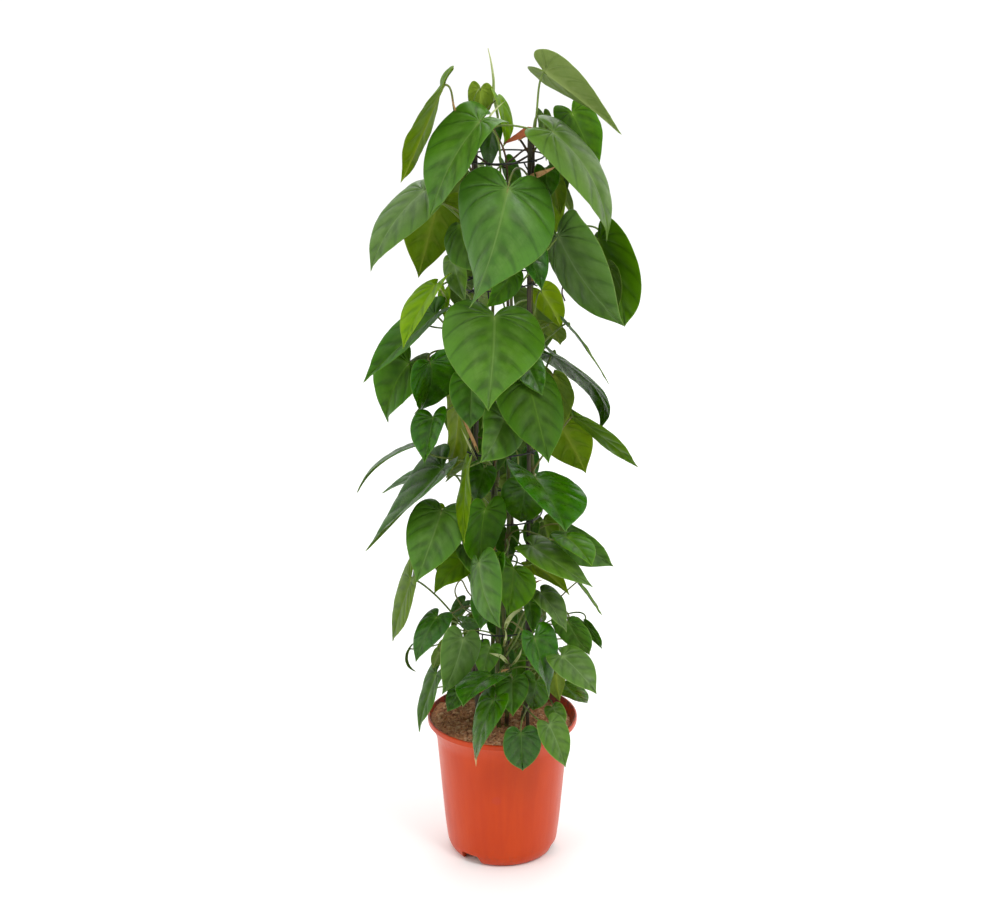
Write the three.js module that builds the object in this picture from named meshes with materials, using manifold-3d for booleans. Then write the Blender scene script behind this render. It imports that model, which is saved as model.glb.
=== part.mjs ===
// Potted heartleaf philodendron: a climbing vine with heart-shaped leaves on four canes held by wire hoops, in a nursery pot.
// Millimetres, +Z up. The origin is the middle of the pot's foot, and the foot stands on z = 0. The fullest side faces -Y.
// Every leaf is a thin blade that is folded along its midrib, arched along its length and cupped across, and its petiole is joined to it.
// The larger leaves are nodes of their own, and each vine stem is one node with its small leaves, as it grew.
import * as THREE from "three";
import { mergeVertices } from "three/addons/utils/BufferGeometryUtils.js";
import Module from "manifold-3d";

const wasm = await Module();
wasm.setup();

// ---- driving dimensions
const POT_RIM_R = 95.2; // outer radius of the rim: a 19 cm pot
const POT_HEIGHT = 184;
const POT_WALL = 1.9;
const POT_FOOT_R = 62; // outer radius at the foot
const FOOT_NOTCH_H = 12.8; // height of the three notches in the foot
const FOOT_NOTCH_W = 28;
const FOOT_NOTCH_AT = [-127, -16, 113]; // directions of the notches, degrees from +X
const DRAIN_HOLE_R = 5;
const SOIL_TOP = 172.5; // soil level at the wall
const SOIL_MOUND = 4; // rise of the soil in the middle
const SOIL_GAP = 0.5; // between the soil and the pot
const CANE_R = 2.5;
const CANE_RING_R = 45; // the canes stand on this circle
const CANE_FOOT_Z = 45; // how deep the canes go into the soil
const HOOP_R = 48.95; // middle line of the wire hoops
const WIRE_R = 1.05;
const STEM_FOOT_R = 3.0; // radius of a vine stem at the soil
const STEM_TOP_R = 1.8;
const STEM_FOOT_Z = 148;
const PETIOLE_R = 1.3;
const BLADE_T = 1.2; // blade thickness at the midrib; the margin is an edge
const FIT_GAP = 0.4; // clearance where a stem or cane goes into the soil

// Half outline of a blade: across and along, for a length of 1 from the sinus to the tip and a half width of 0.44.
const HALF_OUTLINE = [[0, 0], [0.095, -0.135], [0.25, -0.18], [0.4, -0.045], [0.44, 0.18], [0.375, 0.44], [0.235, 0.68], [0.09, 0.875], [0, 1]];
const MIDRIB_AT = [0, 0.18, 0.45, 0.75];
const SMALL_OUTLINE = [[0, 0], [0.17, -0.18], [0.4, -0.045], [0.44, 0.18], [0.31, 0.56], [0.11, 0.85], [0, 1]]; // of the small leaves
const SMALL_MIDRIB_AT = [0, 0.3, 0.7];
const BEND_STEPS = 24;

// Tops of the canes, and the hoops: height, tilt, direction of the low side and of the tail.
const CANE_TOPS = [910.8, 923.5, 917.5, 907.8];
const HOOPS = [[897.5, 1.5, 0, -60], [748.9, 6.0, 0, -110], [543.8, 2.0, 0, -80], [462.2, 6.0, 120, -95], [385.5, 1.5, 60, -50], [311.3, 1.0, 0, -120]];

// Middle lines of the six vine stems.
const STEMS = {
  front_left: [[-3.1, -18.8, 148.0], [-4.6, -23.9, 174.0], [-5.9, -28.6, 200.0], [-6.4, -30.9, 226.0], [-5.9, -30.2, 252.0], [-5.6, -30.0, 278.0], [-5.6, -30.1, 304.0], [-6.3, -30.6, 330.0], [-7.7, -31.2, 356.0], [-9.4, -31.8, 382.0], [-11.2, -32.4, 408.0], [-12.4, -32.8, 434.0], [-12.6, -33.1, 460.0], [-11.9, -33.4, 486.0], [-10.3, -33.4, 512.0], [-8.4, -33.0, 538.0], [-6.8, -32.3, 564.0], [-5.8, -31.5, 590.0], [-5.5, -30.7, 616.0], [-5.6, -30.1, 642.0], [-6.0, -29.9, 668.0], [-6.2, -30.3, 694.0]],
  front_right: [[3.7, -16.9, 148.0], [5.0, -22.4, 174.0], [6.3, -28.4, 200.0], [6.5, -32.6, 226.0], [5.5, -33.9, 252.0], [4.1, -35.1, 278.0], [2.8, -36.0, 304.0], [2.0, -36.4, 330.0], [2.2, -36.3, 356.0], [3.2, -35.7, 382.0], [4.7, -34.7, 408.0], [6.3, -33.4, 434.0], [7.5, -32.0, 460.0], [8.0, -31.0, 486.0], [8.0, -30.5, 512.0], [7.7, -30.6, 538.0], [7.3, -31.1, 564.0], [7.3, -31.9, 590.0], [7.7, -32.9, 616.0], [8.6, -33.8, 642.0], [9.6, -34.4, 668.0], [10.3, -34.8, 694.0], [10.4, -35.0, 720.0], [9.4, -34.9, 746.0], [7.7, -34.6, 772.0], [5.6, -34.0, 798.0], [3.8, -33.2, 824.0], [2.5, -32.4, 850.0], [2.1, -31.7, 876.0]],
  left: [[-19.5, -0.5, 148.0], [-26.2, 0.4, 174.0], [-32.8, 1.6, 200.0], [-36.3, 2.3, 226.0], [-35.7, 1.9, 252.0], [-34.9, 0.7, 278.0], [-33.8, -1.1, 304.0], [-32.7, -2.8, 330.0], [-31.7, -4.0, 356.0], [-31.2, -4.6, 382.0], [-31.2, -4.6, 408.0], [-31.7, -4.3, 434.0], [-32.6, -3.8, 460.0], [-33.7, -3.6, 486.0], [-34.7, -3.8, 512.0], [-35.6, -4.4, 538.0], [-36.0, -5.2, 564.0], [-36.0, -5.6, 590.0], [-35.7, -5.4, 616.0], [-35.1, -4.3, 642.0], [-34.3, -2.6, 668.0], [-33.3, -0.7, 694.0], [-32.4, 0.9, 720.0], [-31.7, 1.8, 746.0], [-31.4, 1.9, 772.0], [-31.7, 1.3, 798.0], [-32.4, 0.2, 824.0], [-33.3, -1.1, 850.0], [-34.4, -2.1, 876.0], [-35.3, -2.7, 902.0], [-36.1, -2.7, 928.0]],
  right: [[19.4, -3.6, 148.0], [24.9, -3.6, 174.0], [30.2, -2.7, 200.0], [32.9, -1.1, 226.0], [32.5, 0.2, 252.0], [32.6, 0.7, 278.0], [33.1, 0.6, 304.0], [33.9, 0.0, 330.0], [35.0, -0.7, 356.0], [36.0, -1.2, 382.0], [36.9, -1.3, 408.0], [37.4, -0.8, 434.0], [37.5, -0.2, 460.0], [37.1, 0.1, 486.0], [36.3, -0.2, 512.0], [35.3, -1.3, 538.0], [34.1, -2.8, 564.0], [33.0, -4.5, 590.0], [32.2, -5.9, 616.0], [31.8, -6.6, 642.0], [32.1, -6.6, 668.0], [33.0, -5.9, 694.0], [34.1, -4.6, 720.0], [35.4, -3.3, 746.0], [36.4, -2.3, 772.0], [37.2, -1.8, 798.0], [37.4, -1.9, 824.0], [37.3, -2.2, 850.0], [36.6, -2.4, 876.0], [35.7, -2.1, 902.0], [34.7, -1.2, 928.0]],
  back_left: [[-6.9, 16.0, 148.0], [-9.5, 21.3, 174.0], [-11.9, 27.2, 200.0], [-12.9, 31.6, 226.0], [-12.5, 32.9, 252.0], [-12.2, 33.8, 278.0], [-12.3, 34.3, 304.0], [-12.6, 34.2, 330.0], [-12.9, 33.6, 356.0], [-12.8, 32.8, 382.0], [-12.0, 32.0, 408.0], [-10.7, 31.3, 434.0], [-9.0, 30.9, 460.0], [-7.3, 30.8, 486.0], [-6.0, 30.9, 512.0], [-5.6, 31.4, 538.0], [-6.0, 32.0, 564.0], [-7.2, 32.8, 590.0], [-9.0, 33.5, 616.0], [-10.7, 33.9, 642.0], [-12.0, 34.2, 668.0], [-12.6, 34.3, 694.0], [-12.4, 34.1, 720.0], [-11.8, 33.6, 746.0], [-11.3, 32.8, 772.0], [-11.1, 31.7, 798.0], [-11.4, 30.6, 824.0], [-12.0, 29.5, 850.0], [-12.7, 28.8, 876.0]],
  back_right: [[3.6, 19.5, 148.0], [5.3, 25.9, 174.0], [6.7, 32.1, 200.0], [7.1, 35.2, 226.0], [6.6, 34.5, 252.0], [6.3, 33.5, 278.0], [6.5, 32.4, 304.0], [7.3, 31.3, 330.0], [8.6, 30.4, 356.0], [10.0, 29.9, 382.0], [11.1, 29.9, 408.0], [11.7, 30.5, 434.0], [11.6, 31.6, 460.0], [10.7, 33.1, 486.0], [9.3, 34.4, 512.0], [7.8, 35.4, 538.0], [6.7, 35.9, 564.0], [6.3, 35.7, 590.0], [6.3, 35.0, 616.0], [6.6, 34.0, 642.0], [6.7, 32.9, 668.0], [6.4, 31.9, 694.0], [5.7, 31.3, 720.0], [4.8, 31.1, 746.0], [4.1, 31.4, 772.0], [3.8, 32.0, 798.0]],
};

// Rolled new leaf above the stems: points and radii.
const SPIKE = [[-12.7, 28.8, 876.6, 1.2], [-12.7, 30.8, 890.0, 1.2], [-5.4, 39.0, 927.5, 1.3], [-7.7, 38.0, 948.9, 1.7], [-10.7, 35.0, 965.7, 2.1], [-10.6, 33.0, 982.4, 1.7], [-13.5, 31.0, 1003.5, 1.1], [-17.0, 29.0, 1019.9, 0.45]];

// Leaves: node name (empty for a small leaf that stays on its stem), stem, height of its node, rise, drop and swing of the petiole,
// sinus point, rotation vector, blade length, width for a length of 1, fold, cup, arch, tip arch, twist, sickle, lobe droop, tone.
const LEAVES = [
  ["leaf_01", "right", 924.3, 0.4, 0.4, 0, 48.2, -12.0, 997.3, -0.9339, 0.0336, -1.4718, 115.1, 0.807, 0.284, -0.479, 0.161, -0.019, 0.297, 0.034, 0.172, "un"],
  ["leaf_02", "left", 880.4, 1.8, 0.4, -0.5, -67.5, 1.5, 981.4, -0.8958, -0.8228, 1.4646, 125.0, 0.735, 0.127, -0.304, 0.173, -0.138, 0.723, -0.021, 0.283, "ol"],
  ["leaf_03", "front_right", 850.6, 0.6, 1.3, 0, -25.9, -43.5, 945.0, -0.4112, -0.8146, 1.8509, 125.1, 0.871, 0.177, 0.014, 0.566, -0.037, -0.237, -0.071, 1.718, "dk"],
  ["leaf_04", "right", 905.8, 1.8, 0.4, -0.5, 81.7, 37.7, 943.8, -0.2777, 1.2391, -2.0795, 77.2, 0.847, 0.19, -0.595, 0.282, -0.034, -0.002, -0.131, 0.295, "dk"],
  ["leaf_05", "left", 908.1, 1.8, 0.4, -0.5, 58.1, -39.6, 932.1, -0.3002, 0.6488, -1.7418, 147.6, 0.802, 0.169, -1.332, 0.923, 0.073, 0.036, 0.119, 0.551, "gg"],
  ["leaf_06", "right", 865.5, 1.8, 0.4, -0.5, 5.9, -86.0, 875.5, 0.2567, -1.6243, 2.5117, 150.0, 0.853, -0.218, -1.145, -0.282, -0.034, 1.341, 0.071, 0.422, "mg"],
  ["leaf_07", "back_left", 822.9, 1, 1, 0, -41.8, 73.8, 860.9, -0.7646, -0.1218, 0.6575, 97.9, 0.826, 0.138, -0.813, 0.49, 0.001, 0.184, 0.099, 0.107, "mg"],
  ["leaf_08", "left", 802.2, 1, 1, 0, -93.5, 14.2, 854.2, -0.2705, -0.625, 1.9994, 117.2, 0.821, 0.163, -1.377, 0.602, 0.09, -0.024, -0.088, 0.502, "gg"],
  ["leaf_09", "back_left", 828.6, 1, 1, 0, 37.3, 98.0, 838.6, -0.9938, -0.0362, -0.2355, 94.1, 0.772, 0.298, -0.888, 0.488, 0.032, -0.005, -0.094, 0.43, "mg"],
  ["leaf_10", "left", 810.5, 1, 1, 0, -77.6, 44.1, 834.5, -1.3011, 0.0337, 0.3316, 97.7, 0.783, 0.259, -0.755, 0.315, 0.0, -0.066, -0.061, 0.3, "ol"],
  ["leaf_11", "front_right", 740.4, 0.4, 0.4, 0, 64.6, -48.6, 813.4, -1.4485, -1.641, 1.7789, 132.5, 0.815, -0.011, -0.761, 0.454, -0.007, -0.233, -0.176, 0.793, "gg"],
  ["leaf_12", "back_left", 790.2, 1, 1, 0, -3.4, 162.7, 800.2, -1.2465, -0.0505, 0.1969, 86.0, 0.907, 0.145, -1.045, 0.645, -0.017, -0.129, 0.027, 0.279, "gg"],
  ["leaf_13", "right", 782.0, 1.6, 1.6, 0, 114.5, -4.1, 799.0, -1.2056, -1.8937, 2.0578, 119.7, 0.802, 0.289, -0.389, 0.45, -0.013, -0.088, 0.655, 0.13, "dk"],
  ["leaf_14", "right", 772.9, 1, 1, 0, 110.0, 56.9, 782.9, -1.2594, 0.5729, -0.889, 90.4, 0.91, 0.139, -0.582, 0.254, -0.012, 0.109, 0.05, 0.228, "dk"],
  ["leaf_15", "left", 733.9, 1.8, 0.4, -0.5, -78.7, -35.4, 750.9, -0.7378, -0.4731, 2.225, 90.9, 0.708, 0.269, -0.417, 0.407, -0.005, -0.187, 0.06, 0.405, "li"],
  ["leaf_16", "left", 716.1, 1, 1, 0, -9.5, -83.4, 726.1, -0.3039, 0.8323, -2.9305, 129.3, 0.948, 0.201, -1.467, 0.354, 0.045, 0.628, 0.145, 0.254, "mg"],
  ["leaf_17", "back_right", 696.1, 1, 1, 0, -25.4, 98.9, 720.1, -0.7974, -0.7456, 0.8112, 115.2, 0.872, 0.149, -0.95, 0.34, 0.026, 0.162, 0.169, 0.341, "mg"],
  ["leaf_18", "left", 643.9, 0.4, 0.4, 0, -80.1, -12.8, 709.9, -0.476, -0.5658, 1.7121, 119.0, 0.806, 0.311, -0.635, 0.162, -0.009, -0.237, 0.022, 0.276, "dk"],
  ["leaf_19", "back_right", 689.4, 1, 1, 0, 39.3, 108.7, 699.4, -1.1718, 0.5117, -0.466, 89.0, 0.813, 0.307, -1.007, 0.432, -0.02, 0.186, 0.027, 0.421, "mg"],
  ["leaf_20", "right", 651.2, 1.2, 0.8, -1.0, 79.2, -13.8, 696.2, -1.9225, -1.6236, 1.02, 86.0, 0.752, 0.102, -0.838, -0.191, -0.053, -0.004, 0.023, 0.314, "dk"],
  ["leaf_21", "right", 582.2, 1, 1, -0.6, 62.9, -23.7, 662.2, -1.9248, -2.1132, 1.0107, 125.8, 0.686, 0.128, -0.116, -0.117, -1.323, 0.097, 0.664, 0.346, "dk"],
  ["leaf_22", "left", 650.6, 1, 1, 0, -86.4, -44.6, 660.6, -0.0668, 2.3039, -1.3752, 98.1, 0.816, 0.486, -0.101, 0.472, 0.001, -0.538, 0.643, 0.078, "dk"],
  ["leaf_23", "left", 638.8, 1, 1, 0, -112.2, -6.1, 648.8, 0.0672, -1.5297, 1.515, 94.1, 0.815, 0.428, -0.588, 0.517, 0.029, 0.332, -0.432, 0.157, "dk"],
  ["leaf_24", "front_left", 608.6, 1, 1, 0, 30.4, -79.3, 646.6, -0.2796, 1.0823, -2.5702, 104.8, 0.825, 0.044, -1.492, 0.14, -0.003, 0.028, -0.024, 0.287, "mg"],
  ["leaf_25", "back_left", 576.7, 1, 1, 0, -52.9, -11.7, 607.7, -1.317, 0.8459, -0.8961, 106.7, 0.661, 0.145, -1.049, 0.38, 0.037, -0.004, -0.111, 0.229, "ol"],
  ["leaf_26", "right", 513.1, 0.4, 0.4, 0, 86.6, -21.9, 586.1, -1.8407, -2.0862, 0.976, 103.6, 0.714, 0.09, -0.951, -0.081, -0.037, -0.339, 0.107, 0.199, "dk"],
  ["leaf_27", "front_left", 517.1, 1, 1, 0.6, -103.6, -38.1, 555.1, -0.3804, -0.0336, 1.5933, 96.0, 0.709, 0.229, -1.061, 0.727, 0.134, -0.024, 0.002, 0.3, "dk"],
  ["leaf_28", "front_left", 522.2, 1, 1, 0, -41.8, -95.3, 546.2, -1.2462, -1.0277, 1.5836, 91.4, 0.756, 0.154, -0.704, 0.218, -0.034, -0.349, 0.052, 0.298, "mg"],
  ["leaf_29", "left", 445.9, 1, 1, 0, -72.6, -39.9, 525.9, -0.5403, -0.7429, 1.7366, 138.2, 0.708, 0.282, -0.398, 0.012, -0.06, 0.367, 0.038, 0.047, "dk"],
  ["leaf_30", "right", 500.3, 1, 1, 0.6, 39.7, -70.6, 524.3, -0.6126, 0.1881, -2.5702, 110.4, 0.968, 0.249, -0.266, 0.214, -0.043, 0.193, 0.193, 0.101, "mg"],
  ["leaf_31", "front_left", 448.5, 1, 1, 0, -21.2, -74.6, 486.5, -0.9203, 1.8655, -1.7793, 84.4, 0.814, 0.215, -0.596, 0.184, -0.031, 0.149, -0.527, 0.316, "mg"],
  ["leaf_32", "front_left", 469.2, 1, 1, 0, -73.2, -60.9, 479.2, -0.1209, -0.9752, 2.6395, 95.4, 0.795, 0.114, -0.815, 0.345, -0.006, -0.061, 0.17, 0.507, "mg"],
  ["leaf_33", "front_right", 434.5, 1, 1, 0, 36.3, -90.6, 444.5, -0.3048, 0.4878, -1.9468, 87.8, 0.798, 0.166, -0.683, 0.053, -0.034, 0.007, -0.112, 0.77, "gg"],
  ["leaf_34", "right", 430.0, 1, 1, 0, 79.0, -28.9, 440.0, 1.5848, 1.9206, -1.6087, 73.2, 0.909, 0.352, -0.324, 0.229, -0.023, -0.299, 0.109, 0.349, "dk"],
  ["leaf_35", "front_left", 406.3, 0.4, 0.4, 0, -27.9, -108.2, 430.3, -1.2888, -1.0853, 2.1297, 84.6, 0.837, 0.087, -1.358, 0.529, 0.05, -0.302, -0.145, 0.301, "mg"],
  ["leaf_36", "front_right", 407.1, 1, 1, 0, 13.6, -88.8, 417.1, -0.4881, -2.0144, 1.4143, 73.9, 0.926, 0.134, -1.024, -0.171, -0.034, 0.004, -0.061, -0.051, "mg"],
  ["leaf_37", "left", 287.7, 0.4, 0.4, 0, -113.1, -20.8, 374.7, -0.682, -1.2251, 1.2255, 103.5, 0.768, 0.215, -1.068, 0.126, 0.019, -0.123, -0.014, 0.206, "dk"],
  ["leaf_38", "front_right", 319.0, 1, 1, 0, 38.4, -106.9, 333.4, -0.5375, 1.3434, -1.9783, 78.1, 0.819, 0.305, -0.386, 0.227, -0.021, -0.679, -0.07, 0.321, "mg"],
  ["leaf_39", "front_right", 263.0, 1, 1, 0, -14.3, -87.9, 275.2, -0.2471, 0.1121, 2.5301, 76.1, 0.863, 0.243, -0.662, 0.379, 0.011, 0.097, -0.186, 0.351, "dk"],
  ["leaf_40", "left", 256.0, 1, 1, 0, -81.7, -61.8, 265.3, -0.8233, -1.0288, 1.5631, 80.9, 0.755, 0.202, -0.897, 0.214, 0.005, -0.086, 0.018, 0.399, "gg"],
  ["leaf_41", "front_left", 200.0, 0.4, 0.4, 0, -10.8, -114.0, 254.2, -0.6654, -0.9037, 1.9806, 84.3, 0.761, 0.158, -0.853, 0.485, 0.025, 0.351, 0.002, 0.449, "dk"],
  ["", "front_left", 631.1, 0.6, 0.6, 0.0, -36.4, -44.5, 639.5, 0.1042, -1.8267, 2.5425, 61.6, 0.875, 0.218, -0.197, 0.474, 0.008, 0.029, -0.031, 0.574, "mg"],
  ["", "front_left", 597.4, 1.8, 0.4, 0.5, -83.1, -49.4, 593.4, -0.641, -0.8779, 2.6389, 59.6, 0.887, 0.5, -0.807, 0.364, -0.004, 0.031, 0.303, 0.309, "dk"],
  ["", "front_left", 535.7, 1.5, 0.4, -0.4, -22.3, -56.7, 530.4, -0.2307, -1.5299, 2.0978, 45.4, 0.869, 0.128, -0.368, 0.394, 0.064, 0.184, 0.053, 0.11, "dk"],
  ["", "front_left", 421.5, 1.2, 0.8, 1.0, -48.6, -50.9, 431.5, -0.5403, 1.031, -1.8861, 47.0, 0.848, 0.22, -0.665, 0.284, -0.011, 0.029, -0.025, 0.3, "mg"],
  ["", "front_left", 392.2, 1, 1, 0, -49.2, -29.9, 402.2, 0.0389, -0.7303, 1.9932, 53.8, 0.914, 0.242, -0.828, 0.484, 0.034, 0.301, -0.136, 0.3, "ol"],
  ["", "front_left", 348.7, 0.6, 0.6, 0.0, -17.8, -49.9, 366.6, 0.1302, -1.1255, 2.6165, 45.3, 0.839, 0.256, -0.311, 0.449, 0.027, 0.017, -0.146, 0.56, "dk"],
  ["", "front_left", 298.0, 1, 1, 0.6, -47.9, -93.3, 326.4, -0.9513, 1.535, -2.3592, 73.5, 0.807, 0.15, -0.858, 0.37, 0.004, -0.208, 0.109, 0.375, "gg"],
  ["", "front_left", 235.0, 1, 1, 0, -52.5, -70.0, 247.9, 0.4031, -1.4919, 2.2102, 32.3, 0.8, 0.22, -0.7, 0.344, -0.001, 0.0, -0.0, 0.3, "dk"],
  ["", "front_right", 801.5, 0.6, 0.6, 0.0, 24.8, -71.4, 809.7, -0.2824, 1.1442, -2.1512, 59.9, 0.744, 0.363, -0.591, 0.366, 0.04, 0.017, 0.035, 0.41, "dk"],
  ["", "front_right", 757.0, 1, 1, 0, 11.9, -61.9, 774.0, -1.5534, 1.524, -2.1905, 54.0, 0.85, 0.221, -0.752, 0.309, 0.0, -0.009, 0.033, 0.251, "dk"],
  ["", "front_right", 663.0, 0.6, 0.6, 0.0, 26.4, -77.0, 670.7, 0.2758, 1.3029, -2.3459, 46.4, 0.792, 0.208, -0.392, 0.142, 0.06, -0.081, 0.042, 0.111, "dk"],
  ["", "front_right", 590.7, 1, 1, 0, 1.6, -79.7, 600.7, -1.1552, 0.9463, -2.7449, 67.4, 0.957, 0.304, -0.712, 0.461, 0.033, -0.168, 0.146, 0.3, "dk"],
  ["", "front_right", 473.9, 1, 1, 0, 27.9, -48.0, 504.9, 0.0263, -2.0947, 2.0135, 58.5, 0.968, 0.291, -0.587, 0.63, 0.04, 0.018, -0.032, 0.3, "dk"],
  ["", "front_right", 438.9, 1, 1, 0, 77.9, -70.6, 448.9, -0.2735, 0.1923, -2.4486, 57.9, 0.909, 0.229, -0.723, 0.334, 0.005, -0.001, 0.121, 0.268, "mg"],
  ["", "front_right", 428.0, 1, 1, 0, -7.4, -112.3, 438.0, -0.8525, -1.087, 1.9972, 49.3, 0.804, 0.167, -0.965, 0.394, 0.023, -0.053, -0.055, 0.3, "dk"],
  ["", "front_right", 402.3, 1, 1, 0, 36.1, -62.1, 412.3, -1.0281, -0.2206, -1.3322, 60.8, 0.799, 0.229, -0.705, 0.395, 0.01, 0.032, -0.031, 0.339, "ol"],
  ["", "front_right", 367.2, 1, 1, 0, 47.0, -69.9, 377.2, -0.4529, 0.5765, -2.2404, 59.4, 0.85, 0.245, -0.565, 0.345, -0.007, -0.093, -0.075, 0.383, "gg"],
  ["", "front_right", 345.2, 0.6, 0.6, 0.0, 33.3, -58.5, 358.8, -0.6511, 1.1981, -2.3241, 38.5, 0.722, 0.358, -0.589, 0.348, 0.034, -0.016, -0.085, 0.408, "mg"],
  ["", "front_right", 276.0, 0.6, 0.6, 0.0, -15.0, -49.1, 297.1, -0.3346, -1.2257, 2.1943, 42.5, 0.892, 0.178, -0.639, 0.35, 0.085, 0.083, -0.193, 0.573, "mg"],
  ["", "front_right", 263.0, 1, 1, 0.6, 65.1, -74.8, 272.9, -1.6141, -0.4347, 0.3685, 36.6, 0.797, 0.235, -0.672, 0.358, 0.002, -0.014, 0.015, 0.3, "ol"],
  ["", "front_right", 256.0, 1, 1, 0, 41.3, -94.9, 271.1, -0.3893, -1.8181, 1.6634, 47.8, 0.96, 0.196, -0.826, 0.309, -0.001, -0.051, -0.044, 0.219, "dk"],
  ["", "front_right", 256.0, 1, 1, -0.6, 11.9, -89.6, 269.4, -0.2505, -1.2436, 2.7701, 44.4, 0.951, 0.231, -0.683, 0.328, -0.002, 0.012, -0.016, 0.3, "mg"],
  ["", "front_right", 221.0, 1, 1, 0, 62.4, -86.6, 232.0, 0.7586, 1.9098, -2.0974, 29.9, 0.898, 0.237, -0.652, 0.362, 0.001, -0.006, 0.02, 0.294, "gg"],
  ["", "front_right", 214.0, 1, 1, 0, 56.5, -118.8, 224.3, -0.4458, 1.0999, -2.0512, 57.5, 0.853, 0.21, -0.669, 0.357, -0.005, 0.129, -0.048, 0.334, "gg"],
  ["", "left", 930.2, 1.2, 0.8, 1.0, -25.6, 11.4, 975.2, -1.417, 0.2873, -0.2015, 44.0, 0.72, 0.213, -0.712, 0.346, -0.001, -0.013, 0.002, 0.301, "li"],
  ["", "left", 931.9, 1.8, 0.4, -0.5, -3.6, 13.2, 962.9, -1.0755, 0.6808, -2.0361, 63.7, 0.72, 0.206, -0.77, 0.556, 0.037, 0.058, 0.081, 0.371, "li"],
  ["", "left", 917.5, 1, 1, 0, -11.5, 21.9, 927.5, -0.5654, -1.5454, 1.8007, 52.9, 0.699, 0.192, -0.757, 0.304, -0.005, 0.007, 0.014, 0.3, "dk"],
  ["", "left", 776.4, 1, 1, 0, -49.8, -22.2, 821.4, -1.3571, -0.843, 2.4812, 76.7, 0.815, 0.229, -0.715, 0.368, 0.007, -0.03, -0.086, 0.275, "dk"],
  ["", "left", 770.5, 1, 1, 0, -57.8, -30.5, 780.5, -1.1536, -1.4731, 2.1392, 52.3, 0.796, 0.18, -0.747, 0.304, -0.009, 0.023, 0.055, 0.349, "gg"],
  ["", "left", 714.7, 0.6, 0.6, 0.0, -48.4, 35.6, 736.0, -1.1042, -0.2815, 0.1808, 42.9, 0.863, 0.392, -0.198, 0.091, 0.057, -0.15, -0.06, 0.324, "dk"],
  ["", "left", 722.2, 1, 1, 0, -69.4, 21.4, 732.2, -0.6395, -1.6567, 1.8574, 34.5, 0.597, 0.178, -0.774, 0.227, -0.014, 0.014, 0.05, 0.255, "li"],
  ["", "left", 672.6, 1, 1, 0, -95.8, 52.4, 682.6, -0.7508, -0.3485, 1.2359, 77.5, 0.786, 0.275, -0.76, 0.267, -0.015, 0.143, -0.037, 0.209, "mg"],
  ["", "left", 631.3, 1, 1, 0, -90.3, 43.8, 641.3, -0.7555, -0.2617, 0.8893, 73.9, 0.795, 0.258, -0.746, 0.356, 0.038, 0.136, 0.005, 0.255, "dk"],
  ["", "left", 557.2, 0.6, 0.6, 0.0, -48.7, 37.9, 570.7, -1.1989, -0.1048, 0.0239, 58.6, 0.853, 0.393, -0.652, 0.244, 0.09, 0.102, 0.223, 0.28, "dk"],
  ["", "left", 493.3, 1, 1, 0, -78.8, 28.8, 503.3, -0.1957, -0.1134, 1.8022, 78.5, 0.698, 0.194, -0.515, 0.349, -0.035, 0.081, 0.085, 0.509, "dk"],
  ["", "left", 441.1, 1, 1, 0, -95.4, 15.8, 451.1, -0.8504, -0.8369, 1.2417, 70.1, 0.761, 0.206, -0.941, 0.361, -0.012, -0.066, 0.072, 0.494, "mg"],
  ["", "left", 398.5, 1, 1, 0, -81.6, 13.3, 401.5, -0.6974, -0.6411, 1.7284, 73.1, 0.782, 0.302, -0.622, 0.314, 0.023, 0.052, -0.067, 0.143, "gg"],
  ["", "left", 327.9, 1, 1, 0, -80.0, -49.6, 337.9, -0.4218, -0.6957, 2.2317, 63.9, 0.813, 0.114, -1.147, 0.438, 0.035, -0.034, -0.051, 0.365, "mg"],
  ["", "left", 319.0, 1, 1, 0, -48.8, -40.0, 326.2, 1.9076, 0.9583, -1.3249, 31.6, 0.702, 0.221, -0.725, 0.362, 0.006, 0.02, -0.029, 0.3, "dk"],
  ["", "left", 284.0, 1, 1, 0, -95.0, 46.7, 294.5, -1.0822, -0.7356, 1.1581, 47.5, 0.808, 0.254, -0.79, 0.352, 0.006, -0.138, -0.003, 0.247, "mg"],
  ["", "left", 277.0, 1, 1, 0, -114.8, -40.6, 290.9, -0.9412, -0.5765, 1.477, 34.4, 0.603, 0.285, -0.677, 1.609, 0.076, -0.041, 0.049, 0.326, "dk"],
  ["", "left", 277.0, 1, 1, 0.6, -77.2, -46.4, 289.9, -2.4428, 0.4528, -0.2, 28.5, 0.708, 0.23, -0.672, 0.388, 0.002, -0.041, 0.042, 0.29, "un"],
  ["", "left", 249.0, 0.6, 0.6, 0.0, -4.0, 4.9, 265.0, -0.3748, 1.569, -2.4542, 47.0, 0.865, 0.216, -0.505, 0.105, 0.025, 0.005, 0.09, 0.414, "dk"],
  ["", "left", 249.0, 1, 1, 0, -56.4, 34.7, 263.1, -0.8715, 0.257, 0.2714, 59.4, 0.808, 0.312, -1.091, 0.273, -0.007, -0.165, -0.01, 0.337, "mg"],
  ["", "left", 214.0, 1, 1, 0, -95.5, -14.0, 224.3, -0.9808, -0.8767, 1.2121, 45.1, 0.826, 0.213, -0.91, 0.265, 0.067, -0.123, -0.044, 0.285, "mg"],
  ["", "left", 207.0, 1, 1, 0, -53.8, 40.5, 219.4, -0.733, -0.1218, 0.4196, 44.5, 0.792, 0.187, -1.058, 0.214, 0.072, -0.026, -0.106, 0.383, "mg"],
  ["", "right", 929.9, 1, 1, 0, 48.4, 34.3, 939.9, -1.2484, 0.6691, -0.8489, 54.8, 0.598, 0.167, -0.791, 0.292, -0.006, 0.008, 0.019, 0.328, "dk"],
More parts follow.
